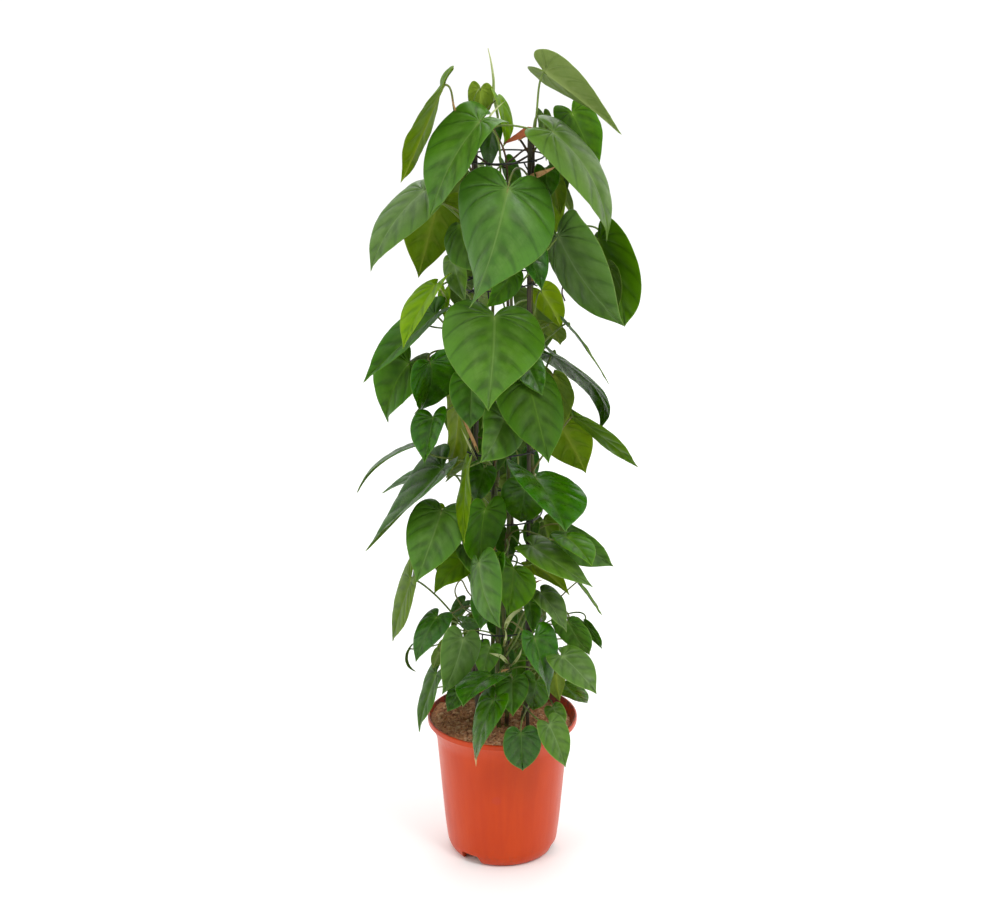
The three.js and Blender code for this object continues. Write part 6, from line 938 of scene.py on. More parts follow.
TONES = {
    # main, second, deep shade, veins, margin, roughness; gg's greyer green is partly painted sheen, and ol and li are
    # yellower, lighter greens, partly painted light shining through the blade and partly the leaves' own colour
    "mg": dict(main=(62, 110, 6), alt=(86, 138, 18), deep_shade=(22, 58, 0), line=(126, 160, 76), edge=(140, 174, 70), rim=(80, 142, 0), rough=0.34, spec=0.22),
    "dk": dict(main=(40, 86, 2), alt=(60, 110, 6), deep_shade=(12, 40, 0), line=(96, 138, 52), edge=(120, 158, 62), rim=(56, 120, 0), rough=0.28, spec=0.24),
    "gg": dict(main=(74, 112, 34), alt=(96, 134, 50), deep_shade=(36, 70, 12), line=(138, 168, 100), edge=(156, 182, 98), rim=(88, 140, 22), rough=0.36, spec=0.24),
    "sg": dict(main=(62, 112, 0), alt=(88, 140, 0), deep_shade=(26, 66, 0), line=(122, 162, 40), edge=(140, 178, 50), rim=(92, 152, 0), rough=0.34, spec=0.12, through_=0.24),
    "ds": dict(main=(50, 92, 0), alt=(70, 114, 4), deep_shade=(16, 46, 0), line=(104, 146, 40), edge=(124, 162, 50), rim=(72, 132, 0), rough=0.42, painted_sheen=0.16, spec=0.10, through_=0.15, coat=0.0),
    "ol": dict(main=(88, 124, 0), alt=(112, 148, 0), deep_shade=(48, 80, 0), line=(132, 158, 36), edge=(152, 168, 50), rim=(118, 154, 0), rough=0.44, painted_sheen=0.1, spec=0.10, through_=0.36),
    "li": dict(main=(116, 158, 0), alt=(138, 178, 0), deep_shade=(74, 120, 0), line=(160, 190, 50), edge=(172, 198, 60), rim=(146, 184, 0), rough=0.42, painted_sheen=0.1, spec=0.12, through_=0.36),
    "un": dict(main=(112, 144, 46), alt=(132, 162, 62), deep_shade=(74, 108, 24), line=(168, 188, 108), edge=(150, 190, 36), rim=(130, 174, 14), rough=0.5, spec=0.12),
}
# lower sides of the same tones; for ol and li these too are partly painted light shining through the blade
UNDERS = {
    "mg": dict(main=(88, 118, 26), alt=(104, 134, 36), deep_shade=(64, 94, 12), line=(144, 166, 76), edge=(150, 172, 74)),
    "dk": dict(main=(70, 100, 20), alt=(86, 116, 30), deep_shade=(50, 78, 8), line=(126, 152, 66), edge=(134, 160, 66)),
    "gg": dict(main=(94, 122, 42), alt=(110, 138, 54), deep_shade=(70, 100, 26), line=(148, 170, 90), edge=(152, 174, 88)),
    "sg": dict(main=(92, 124, 12), alt=(110, 142, 20), deep_shade=(66, 98, 4), line=(144, 168, 62), edge=(150, 174, 60)),
    "ds": dict(main=(74, 106, 8), alt=(90, 122, 14), deep_shade=(52, 82, 2), line=(128, 154, 50), edge=(134, 162, 54)),
    "ol": dict(main=(94, 122, 2), alt=(116, 142, 8), deep_shade=(66, 92, 0), line=(144, 162, 50), edge=(156, 170, 54)),
    "li": dict(main=(128, 160, 14), alt=(146, 178, 30), deep_shade=(98, 132, 4), line=(172, 196, 74), edge=(176, 200, 78)),
    "un": dict(main=(122, 150, 62), alt=(140, 166, 80), deep_shade=(92, 122, 42), line=(172, 190, 114), edge=(160, 192, 70)),
}


def petiole_material():
    m = Paint("petiole_skin")
    _, s, a, k = m.attr("run")
    _, u, length, seed = m.attr("along")
    w = m.where()
    streak = m.noise(m.scaled(w, 260, 260, 40), 1.0, 3, 0.6)
    col = m.mix(m.ramp(streak, 0.3, 0.7), srgb(92, 118, 34), srgb(128, 150, 66))
    col = m.mix(m.math("MULTIPLY", m.ramp(u, 0.0, 0.22, 1, 0), 0.55), col, srgb(92, 74, 30))
    col = m.mix(m.math("MULTIPLY", m.ramp(seed, 0.55, 0.95), 0.45), col, srgb(134, 108, 60))
    m.set(Base_Color=col, Roughness=m.ramp(streak, 0.3, 0.7, 0.40, 0.54))
    m.bump(streak, 0.3, 0.0002)
    return m.mat


def stem_material():
    m = Paint("stem_bark")
    _, s, a, k = m.attr("run")
    _, h, age, ring = m.attr("along")
    w = m.where()
    streak = m.noise(m.scaled(w, 240, 240, 26), 1.0, 4, 0.65)
    spots = m.noise(m.scaled(w, 600, 600, 420), 1.0, 3, 0.6)
    patch = m.noise(m.scaled(w, 34, 34, 18), 1.0, 2, 0.5)
    col = m.mix(m.ramp(streak, 0.35, 0.7), srgb(66, 80, 18), srgb(96, 100, 36))
    brown = m.mix(m.ramp(streak, 0.35, 0.7), srgb(38, 24, 12), srgb(74, 52, 30))
    col = m.mix(m.math("MAXIMUM", m.ramp(patch, 0.56, 0.66), m.ramp(age, 0.1, 0.6)), col, brown)
    col = m.mix(m.math("MULTIPLY", m.ramp(ring, 0.35, 1.0), 0.6), col, srgb(122, 92, 52))
    col = m.mix(m.ramp(spots, 0.62, 0.72, 0, 0.45), col, srgb(150, 122, 84))
    m.set(Base_Color=col, Roughness=m.ramp(streak, 0.3, 0.7, 0.48, 0.68))
    m.bump(m.math("ADD", streak, m.math("MULTIPLY", spots, 0.5)), 0.6, 0.0005)
    return m.mat


def sheath_material(name, light, mid, dark, rough=0.62, glow=None):
    m = Paint(name)
    _, u, v, tone = m.attr("along")
    w = m.where()
    comb = m.node("ShaderNodeCombineXYZ")
    m.put(comb.inputs[0], m.math("MULTIPLY", u, 3.0))
    m.put(comb.inputs[1], m.math("MULTIPLY", v, 14.0))
    m.put(comb.inputs[2], tone)
    fibre = m.noise(comb.outputs[0], 1.0, 4, 0.6)
    stain = m.noise(m.scaled(w, 120, 120, 120), 1.0, 3, 0.55)
    col = m.mix(m.ramp(fibre, 0.3, 0.7), srgb(*mid), srgb(*light))
    col = m.mix(m.ramp(stain, 0.48, 0.66, 0, 0.8), col, srgb(*dark))
    col = m.mix(m.ramp(u, 0.7, 1.0, 0, 0.55), col, srgb(*dark))
    m.set(Base_Color=col, Roughness=m.ramp(fibre, 0.3, 0.7, rough - 0.08, rough + 0.08))
    m.bump(fibre, 0.5, 0.0003)
    if glow:
        m.translucent(srgb(*glow), 0.25)
    return m.mat


def root_material():
    m = Paint("root_skin")
    _, u, v, tone = m.attr("along")
    w = m.where()
    n = m.noise(m.scaled(w, 500, 500, 500), 1.0, 3, 0.6)
    col = m.mix(m.ramp(n, 0.35, 0.65), srgb(104, 72, 44), srgb(146, 110, 74))
    col = m.mix(m.ramp(u, 0.75, 1.0), col, srgb(168, 148, 96))
    m.set(Base_Color=col, Roughness=m.ramp(n, 0.3, 0.7, 0.6, 0.8))
    m.bump(n, 0.5, 0.0003)
    return m.mat


def wire_material():
    m = Paint("wire_coating")
    w = m.where()
    n = m.noise(m.scaled(w, 900, 900, 900), 1.0, 3, 0.6)
    d = m.noise(m.scaled(w, 60, 60, 60), 1.0, 3, 0.6)
    col = m.mix(m.ramp(n, 0.35, 0.7), srgb(20, 22, 18), srgb(40, 42, 36))
    col = m.mix(m.ramp(d, 0.55, 0.75, 0, 0.5), col, srgb(66, 60, 48))
    m.set(Base_Color=col, Roughness=m.ramp(d, 0.35, 0.65, 0.36, 0.52))
    m.bump(n, 0.3, 0.0002)
    return m.mat


def cane_material():
    m = Paint("cane_wood")
    w = m.where()
    _, s, a, k = m.attr("run")
    grain = m.noise(m.scaled(w, 520, 520, 14), 1.0, 5, 0.65)
    stain = m.noise(m.scaled(w, 40, 40, 12), 1.0, 3, 0.6)
    col = m.mix(m.ramp(grain, 0.3, 0.7), srgb(40, 34, 20), srgb(78, 70, 44))
    col = m.mix(m.ramp(stain, 0.45, 0.7, 0, 0.7), col, srgb(32, 24, 14))
    col = m.mix(m.ramp(m.noise(m.scaled(w, 700, 700, 200), 1.0, 2, 0.5), 0.62, 0.7, 0, 0.6), col, srgb(26, 20, 12))
    m.set(Base_Color=col, Roughness=m.ramp(grain, 0.3, 0.7, 0.55, 0.75))
    m.bump(grain, 0.6, 0.0004)
    return m.mat


def pot_material():
    m = Paint("pot_plastic")
    w = m.where()
    s = m.node("ShaderNodeSeparateXYZ")
    m.put(s.inputs[0], w)
    x, y, z = s.outputs
    cloud = m.noise(m.scaled(w, 14, 14, 9), 1.0, 4, 0.6)
    flow = m.noise(m.scaled(w, 90, 90, 5), 1.0, 4, 0.6, 0.4)
    grit = m.noise(m.scaled(w, 1500, 1500, 1500), 1.0, 3, 0.65)
    dust = m.noise(m.scaled(w, 160, 160, 110), 1.0, 5, 0.7)
    col = m.mix(m.ramp(cloud, 0.32, 0.68), srgb(194, 60, 2), srgb(200, 66, 6))
    col = m.mix(m.ramp(flow, 0.35, 0.70, 0, 0.35), col, srgb(182, 50, 4))
    col = m.mix(m.ramp(grit, 0.55, 0.78, 0, 0.22), col, srgb(208, 88, 34))
    col = m.mix(m.ramp(grit, 0.22, 0.40, 0.25, 0), col, srgb(150, 52, 26))
    # dust low on the outer wall; the inner wall near the top is darker in patches
    low = m.ramp(z, 0.004, 0.03, 1, 0)
    high = m.math("MULTIPLY", m.ramp(z, 0.158, 0.168), m.ramp(z, 0.177, 0.170))
    marks = m.math("MULTIPLY", m.ramp(dust, 0.50, 0.68), m.math("MAXIMUM", m.math("MULTIPLY", low, 0.35), m.math("MULTIPLY", high, 0.0)))
    col = m.mix(marks, col, srgb(132, 74, 50))
    reach = m.math("SQRT", m.math("ADD", m.math("MULTIPLY", x, x), m.math("MULTIPLY", y, y)))
    inside = m.math("MULTIPLY", m.ramp(m.math("SUBTRACT", reach, m.math("MULTIPLY", z, 0.43)), 0.0156, 0.0150), m.ramp(z, 0.150, 0.155))
    col = m.mix(m.math("MULTIPLY", inside, m.ramp(dust, 0.4, 0.62, 0.1, 0.8)), col, srgb(96, 58, 38))
    # the faint round mark on the front wall
    p = m.node("ShaderNodeVectorMath", operation="DISTANCE")
    m.put(p.inputs[0], w)
    p.inputs[1].default_value = SPOT_AT
    spot = m.ramp(p.outputs["Value"], SPOT_R * 0.8, SPOT_R * 1.15, 1, 0)
    col = m.mix(m.math("MULTIPLY", spot, 0.30), col, srgb(186, 58, 44))
    m.set(Base_Color=col)
    rough = m.math("ADD", m.ramp(flow, 0.3, 0.7, 0.30, 0.38), m.math("MULTIPLY", marks, 0.3))
    m.set(Roughness=rough)
    m.bsdf.inputs["Specular IOR Level"].default_value = 0.20
    m.bsdf.inputs["Coat Weight"].default_value = 0.20
    m.bsdf.inputs["Coat Roughness"].default_value = 0.24
    m.bsdf.inputs["Coat IOR"].default_value = 1.36
    m.bump(m.math("ADD", m.math("MULTIPLY", grit, 0.7), m.math("MULTIPLY", flow, 0.5)), 0.22, 0.0004)
    return m.mat


def soil_material(name="coir", lighter=0.0):
    m = Paint(name)
    w = m.where()
    _, tint, fib, k = m.attr("tint")
    a = m.noise(m.scaled(w, 150, 150, 150), 1.0, 6, 0.7)
    b = m.noise(m.scaled(w, 700, 700, 700), 1.0, 4, 0.7)
    col = m.mix(m.ramp(a, 0.35, 0.65), srgb(138, 84, 54), srgb(204, 142, 98))
    col = m.mix(m.ramp(b, 0.5, 0.68), col, srgb(218, 166, 120))
    col = m.mix(m.ramp(tint, 0.0, 1.0, 0, 0.85, "LINEAR"), col, srgb(228, 186, 144))
    col = m.mix(m.ramp(fib, 0.0, 1.0, 0, 0.85, "LINEAR"), col, srgb(40, 26, 18))
    m.set(Base_Color=col, Roughness=m.ramp(b, 0.3, 0.7, 0.82, 0.98))
    m.bump(m.math("ADD", a, m.math("MULTIPLY", b, 0.6)), 0.9, 0.0012)
    return m.mat


# ---- the leaves
def read_leaf(r):
    return dict(node_name=r[0], stem=r[1], node=r[2], rise=r[3], drop=r[4], swing=r[5], base=np.array(r[6:9], float), turn=rotation(r[9:12]), length=r[12], ratio=r[13],
                fold=r[14], cup=r[15], arch=r[16], arch2=r[17], twist=r[18], sickle=r[19], lobe=r[20], tone=r[21])


leaves = [read_leaf(r) for r in LEAVES]
for leaf in leaves:
    reach = np.hypot(*(leaf["base"] + leaf["turn"][:, 1] * leaf["length"])[:2])
    leaf["calm"] = 0.15 if reach > 140 else 1.0
tops, unders = {}, {}
for t, c in TONES.items():
    tops[t] = leaf_material("leaf_" + t + "_upper", **c, **LOOK.get(t, {}))
    unders[t] = leaf_material("leaf_" + t + "_lower", **UNDERS[t], rough=0.56, line_amount=0.40, rib_amount=0.80, coat=0.0, glow=(150, 190, 20), under=True)
dry_top = leaf_material("leaf_dry_tip_upper", **TONES["dk"], dry=0.86)
dry_low = leaf_material("leaf_dry_tip_lower", **UNDERS["dk"], rough=0.56, line_amount=0.40, rib_amount=0.80, coat=0.0, under=True, dry=0.86)
petiole_mat = petiole_material()

for k, leaf in enumerate(leaves):
    if not leaf["node_name"]:
        continue
    s = Surface()
    blade(s, leaf, k, 0, 1)
    petiole(s, leaf, k, 2)
    mats = [dry_top, dry_low] if leaf["node_name"] in DRY_TIPS else [tops[leaf["tone"]], unders[leaf["tone"]]]
    s.build("heart_" + leaf["node_name"], mats + [petiole_mat], [leaf["node_name"]])

stem_mat = stem_material()
root_mat = root_material()
sheaths = {
    "red": sheath_material("sheath_red_brown", (206, 120, 66), (172, 84, 42), (104, 44, 22), 0.62, (214, 120, 60)),
    "tan": sheath_material("sheath_tan", (226, 186, 130), (196, 148, 90), (128, 86, 46), 0.62, (226, 178, 110)),
    "pale": sheath_material("sheath_pale_green", (222, 228, 172), (194, 206, 134), (156, 164, 92), 0.5, (226, 236, 164)),
}
for name in STEMS:
    mine = [(k, leaf) for k, leaf in enumerate(leaves) if leaf["stem"] == name]
    s = Surface()
    stem(s, name, [leaf["node"] for _, leaf in mine])
    rng = np.random.default_rng(sum(map(ord, name)))
    for k, leaf in mine:
        if rng.random() < 0.55:
            z = leaf["node"] - 1.5
            p = stem_point(name, z)
            a = rng.uniform(0, 2 * np.pi)
            inward = -unit([p[0], p[1], 0])
            d = unit(np.array([math.cos(a), math.sin(a), -0.15]) + 0.5 * inward)
            root(s, p + d * stem_r(name, z) * 0.8, d, rng.uniform(5, 16), rng.uniform(0.45, 0.75), k, 1)
    s.build("climbing_stem_" + name, [stem_mat, root_mat], ["vine_" + name])
    for t in TONES:
        small = [(k, leaf) for k, leaf in mine if not leaf["node_name"] and leaf["tone"] == t]
        if not small:
            continue
        s = Surface()
        for k, leaf in small:
            blade(s, leaf, k, 0, 1)
            petiole(s, leaf, k, 2)
        s.build("small_leaves_" + name + "_" + t, [tops[t], unders[t], petiole_mat], ["vine_" + name])

# ---- sheaths at the nodes, and the rolled new leaf
s = Surface()
kinds = list(sheaths)
for i, (kind, width, curl, normal, path) in enumerate(SHEATHS):
    sheath(s, path, width, normal, curl, kinds.index(kind), tone=(i * 0.37) % 1, seed=i)
s.build("node_sheaths", [sheaths[k] for k in kinds], [])
s = Surface()
for i, (kind, r, path) in enumerate(LOOSE):
    P, par = through(path, max(14, int(len(path) * 9)))
    u = np.linspace(0, 1, len(P))
    R = r * (1 + 0.45 * np.exp(-(u / 0.05) ** 2) + 0.10 * noise(np.c_[u * 9 + i * 3.3, u * 0], 5))
    tube(s, P, R, 8, 0 if kind == "brown" else 1, along=np.stack([u, 0 * u + 1, 0 * u + (i * 0.618) % 1], 1))
# a short stalk to each sheath that stands off its stem
for i, (kind, width, curl, normal, path) in enumerate(SHEATHS):
    p, q = np.array(path[0], float), np.array(path[1], float)
    gaps = {name: np.linalg.norm((stem_point(name, p[2]) - p)) for name in STEMS}
    name = min(gaps, key=gaps.get)
    if gaps[name] < 4.5 or min(np.linalg.norm(leaf["base"] - p) for leaf in leaves) < 4:
        continue
    s0 = stem_point(name, p[2] - 0.5 * gaps[name])
    P, par = through([s0, s0 * 0.55 + p * 0.45 - [0, 0, 0.05 * gaps[name]], p - (q - p) * 0.15, p + (q - p) * 0.5], 20)
    u = np.linspace(0, 1, len(P))
    tube(s, P, 0.95 * (1 + 0.5 * np.exp(-(u / 0.1) ** 2)), 8, 1, along=np.stack([u, 0 * u + 1, 0 * u + (i * 0.618) % 1], 1))
s.build("loose_petioles", [stem_mat, petiole_mat], [])


def spike_material():
    m = Paint("rolled_leaf")
    _, u, v, k = m.attr("along")
    w = m.where()
    n = m.noise(m.scaled(w, 300, 300, 40), 1.0, 3, 0.6)
    col = m.mix(m.ramp(n, 0.35, 0.65), srgb(150, 174, 92), srgb(186, 200, 132))
    col = m.mix(m.ramp(u, 0.75, 1.0, 0, 0.5), col, srgb(206, 206, 150))
    m.set(Base_Color=col, Roughness=m.ramp(n, 0.3, 0.7, 0.4, 0.5))
    m.bump(n, 0.3, 0.0003)
    return m.mat


s = Surface()
P, par = through([p[:3] for p in SPIKE], 60)
P[:, 2] = P[0, 2] + (P[:, 2] - P[0, 2]) * min(1, (BOX_HIGH[2] - 0.6 - P[0, 2]) / (P[-1, 2] - P[0, 2]))
r = np.interp(par, np.arange(len(SPIKE)), [p[3] for p in SPIKE])
a = 2 * np.pi * np.arange(14) / 14
turn = a[None] + np.linspace(0, 5.5, len(P))[:, None]
lip = np.clip(np.cos(turn), 0, 1) ** 8 * 0.22
tube(s, P, r[:, None] * (0.96 + lip), 14, 0, along=np.stack([np.linspace(0, 1, len(P))] * 3, 1))
s.build("rolled_leaf_spike", [spike_material()], ["new_leaf_spike"])

# ---- canes
cane_mat = cane_material()
for i, (name, deg) in enumerate(zip(("cane_front_left", "cane_front_right", "cane_back_right", "cane_back_left"), (225, 315, 45, 135))):
    x, y = CANE_RING_R * math.cos(math.radians(deg)), CANE_RING_R * math.sin(math.radians(deg))
    z = np.arange(45.2, CANE_TOPS[i] - 0.3, 3.0)
    P = np.c_[np.full(len(z), x), np.full(len(z), y), z]
    a = 2 * np.pi * np.arange(16) / 16
    knot = sum(np.exp(-((z - q) / 1.8) ** 2) for q in np.arange(100 + 23 * i, 900, 131 + 7 * i))
    R = 2.34 * (1 + 0.035 * noise(np.c_[np.repeat(z * 0.05, 16), np.tile(np.cos(a) * 1.3, len(z)), np.tile(np.sin(a) * 1.3, len(z))], i).reshape(len(z), 16)) + 0.22 * np.clip(knot, 0, 1)[:, None]
    s = Surface()
    tube(s, P, R, 16, 0)
    s.build("wooden_" + name, [cane_mat], [name])

# ---- wire hoops, each with small ties round the canes and a twisted tail
wire_mat = wire_material()
for i, (z0, tilt, low, tail) in enumerate(HOOPS):
    s = Surface()
    level = lambda ang: z0 + tilt * np.cos(ang - math.radians(low))
    ang = np.linspace(0, 2 * np.pi, 121)
    loop = np.c_[HOOP_R * np.cos(ang), HOOP_R * np.sin(ang), level(ang)]
    n, sides = 120, 8
    e = np.c_[np.cos(ang[:-1]), np.sin(ang[:-1]), 0 * ang[:-1]]
    k = 2 * np.pi * np.arange(sides) / sides
    V = loop[:-1, None] + WIRE_R * (e[:, None] * np.cos(k)[None, :, None] + np.array([0, 0, 1.0]) * np.sin(k)[None, :, None])
    a, b = np.meshgrid(np.arange(n), np.arange(sides), indexing="ij")
    q = np.stack([a * sides + b, ((a + 1) % n) * sides + b, ((a + 1) % n) * sides + (b + 1) % sides, a * sides + (b + 1) % sides], -1).reshape(-1, 4)
    s.add(V.reshape(-1, 3), q, 0)
    for c, deg in enumerate((225, 315, 45, 135)):
        if CANE_TOPS[(0, 1, 2, 3)[c]] < z0 + 3:
            continue
        t = math.radians(deg)
        d, side = np.array([math.cos(t), math.sin(t), 0]), np.array([-math.sin(t), math.cos(t), 0])
        mid = d * (CANE_RING_R + 1.7)
        q = np.linspace(0, 2 * np.pi * 2.2, 44)
        h = level(t)
        coil = mid + np.outer(np.cos(q) * 4.3, d) + np.outer(np.sin(q) * 3.1, side) + np.outer(h + (q / q[-1] - 0.5) * 3.2 + 1.6 * np.sin(q), [0, 0, 1.0])
        tube(s, coil, 0.42, 6, 0)
        # its two ends, twisted round each other
        rng = np.random.default_rng(40 + i * 4 + c)
        out = unit(d + side * rng.uniform(-1, 1) + np.array([0, 0, rng.uniform(-0.9, 0.4)]))
        ln = rng.uniform(3, 6.5)
        u = np.linspace(0, 1, 26)
        across = unit(np.cross(out, [0, 0, 1.0]))
        over = np.cross(out, across)
        root0 = mid + d * 4.6 + np.array([0, 0, h])
        for ph in (0, np.pi):
            wd = 0.55 * np.clip(u * 6, 0, 1) * (1 + 1.6 * np.clip(u - 0.75, 0, 1))
            path = root0 + np.outer(u * ln, out) + np.outer(wd * np.cos(u * 16 + ph), across) + np.outer(wd * np.sin(u * 16 + ph), over)
            tube(s, path, 0.48, 6, 0)
    t = math.radians(tail)
    e = np.array([math.cos(t), math.sin(t), 0])
    side = np.array([-e[1], e[0], 0])
    for ph in (0, np.pi):
        u = np.linspace(0, 1, 40)
        path = e * (HOOP_R - 0.2) + np.outer(u * 4.6, e) + np.outer(-(u ** 1.4) * 8.0, [0, 0, 1.0]) + np.outer(2.6 * u * u, side) + np.array([0, 0, level(t)])
        path = path + np.outer(0.6 * np.cos(u * 17 + ph), side) + np.outer(0.6 * np.sin(u * 17 + ph), e)
        tube(s, path, 0.55, 6, 0)
    s.build("coated_hoop_%d" % (i + 1), [wire_mat], ["wire_hoop_%d" % (i + 1)])


# ---- pot: a lathed wall with rounded corners, then the notches and the drain holes are cut
def rounded(profile, radii, n=4):
    """A profile with arcs in place of the corners that have a radius."""
    P = [np.array(p, float) for p in profile]
    out = []
    for i, p in enumerate(P):
        r = radii[i] if i < len(radii) else 0
        if r <= 0 or i in (0, len(P) - 1):
            out.append(p)
            continue
        a, b = P[i - 1] - p, P[i + 1] - p
        la, lb = np.linalg.norm(a), np.linalg.norm(b)
        r = min(r, 0.45 * la, 0.45 * lb)
        a, b = p + a / la * r, p + b / lb * r
        for k in range(n + 1):
            t = k / n
            out.append((1 - t) ** 2 * a + 2 * t * (1 - t) * p + t * t * b)
    return out


def lathe_mesh(name, profile, sides):
    bm = bmesh.new()
    rings = []
    for r, z in profile:
        if r < 1e-6:
            rings.append([bm.verts.new((0, 0, z * MM))])
        else:
            rings.append([bm.verts.new((r * MM * math.cos(2 * math.pi * k / sides), r * MM * math.sin(2 * math.pi * k / sides), z * MM)) for k in range(sides)])
    for A, B in zip(rings, rings[1:]):
        for k in range(sides):
            k2 = (k + 1) % sides
            if len(A) == 1 and len(B) == 1:
                continue
            if len(A) == 1:
                bm.faces.new((A[0], B[k2], B[k]))
            elif len(B) == 1:
                bm.faces.new((A[k], A[k2], B[0]))
            else:
                bm.faces.new((A[k], A[k2], B[k2], B[k]))
    bmesh.ops.recalc_face_normals(bm, faces=bm.faces)
    me = bpy.data.meshes.new(name)
    bm.to_mesh(me)
    bm.free()
    return me


def make_pot():
    R, H, W, F = POT_RIM_R, POT_HEIGHT, POT_WALL, POT_FOOT_R
    under = [(0, 9.4), (F - 2, 9.4), (F - 3, 0)]
    outer = [(F, 0), (F + 2.8, 1.6), (F + 6.2, 7), (F + 8.6, 14), (F + 11.8, 39), (78, 88), (84, 157), (88.6, 169), (92.2, 176), (R, 177), (R, H - 1), (R - 0.9, H)]
    inner = [(R - 2.6, H), (91.2 - W, 175), (84 - W, 158), (78 - W, 88), (F + 11.8 - W, 39), (F + 8.8 - W, 18), (F + 5.6, 12.4), (0, 11.6)]
    prof = under + outer + inner
    radii = [0, 1.2, 0.6] + [0.8, 3, 6, 10, 20, 30, 10, 8, 2.2, 0.5, 1.2, 0.5] + [0.7, 5, 10, 20, 20, 6, 3, 0]
    me = lathe_mesh("nursery_pot", rounded(prof, radii), 180)
    me.update()
    ob = bpy.data.objects.new("nursery_pot", me)
    bpy.context.scene.collection.objects.link(ob)
    cutters = []
    bm = bmesh.new()
    for d in FOOT_NOTCH_AT:
        a = math.radians(d)
        e, s = np.array([math.cos(a), math.sin(a), 0]), np.array([-math.sin(a), math.cos(a), 0])
        w, h = FOOT_NOTCH_W / 2, FOOT_NOTCH_H
        shape = [(-w - 1.2, -2), (w + 1.2, -2), (w - 0.7, h - 2.2), (w - 2.3, h - 0.4), (w - 4, h), (-w + 4, h), (-w + 2.3, h - 0.4), (-w + 0.7, h - 2.2)]
        rings = [[bm.verts.new(((e * q + s * u)[0] * MM, (e * q + s * u)[1] * MM, z * MM)) for u, z in shape] for q in (F - 10, F + 14)]
        n = len(shape)
        bm.faces.new(rings[0])
        bm.faces.new(rings[1][::-1])
        for k in range(n):
            bm.faces.new((rings[0][k], rings[1][k], rings[1][(k + 1) % n], rings[0][(k + 1) % n]))
    for i in range(6):
        a, r = math.radians(22 + 60 * i), 24 if i % 2 else 42
        c = np.array([r * math.cos(a), r * math.sin(a)])
        rings = [[bm.verts.new(((c[0] + DRAIN_HOLE_R * math.cos(2 * math.pi * k / 24)) * MM, (c[1] + DRAIN_HOLE_R * math.sin(2 * math.pi * k / 24)) * MM, z * MM)) for k in range(24)] for z in (6.5, 14.5)]
        bm.faces.new(rings[0][::-1])
        bm.faces.new(rings[1])
        for k in range(24):
            bm.faces.new((rings[0][k], rings[0][(k + 1) % 24], rings[1][(k + 1) % 24], rings[1][k]))
    bmesh.ops.recalc_face_normals(bm, faces=bm.faces)
    cm = bpy.data.meshes.new("cut")
    bm.to_mesh(cm)
    bm.free()
    cut = bpy.data.objects.new("cut", cm)
    bpy.context.scene.collection.objects.link(cut)
    mod = ob.modifiers.new("notches", "BOOLEAN")
    mod.operation, mod.solver, mod.object = "DIFFERENCE", "EXACT", cut
    dg = bpy.context.evaluated_depsgraph_get()
    done = bpy.data.meshes.new_from_object(ob.evaluated_get(dg))
    bpy.data.objects.remove(ob)
    bpy.data.objects.remove(cut)
    done.name = "nursery_pot"
    done.materials.clear()
    done.materials.append(pot_material())
    done.polygons.foreach_set("use_smooth", [True] * len(done.polygons))
    done.polygons.foreach_set("material_index", [0] * len(done.polygons))
    done.set_sharp_from_angle(angle=math.radians(38))
    ob = bpy.data.objects.new("nursery_pot", done)
    return place(ob, ["pot"])


make_pot()


# ---- soil: a rough mound of coir, with grains and fibres lying on it
def soil_z(x, y):
    r = np.hypot(x, y)
    p = np.c_[x, y]
    base = SOIL_TOP + SOIL_MOUND * (1 - np.clip(r / 84, 0, 1) ** 1.6) * 0.95 + 8.4 * smooth(0.25, 0.92, r / 84) * smooth(-0.1, 0.8, (-0.86 * x - 0.5 * y) / 84)
    return base + 1.6 * noise(p * 0.05, 5) + 1.1 * noise(p * 0.16, 6) + 0.6 * noise(p * 0.42, 7) + 0.35 * noise(p * 1.1, 8) - 1.0


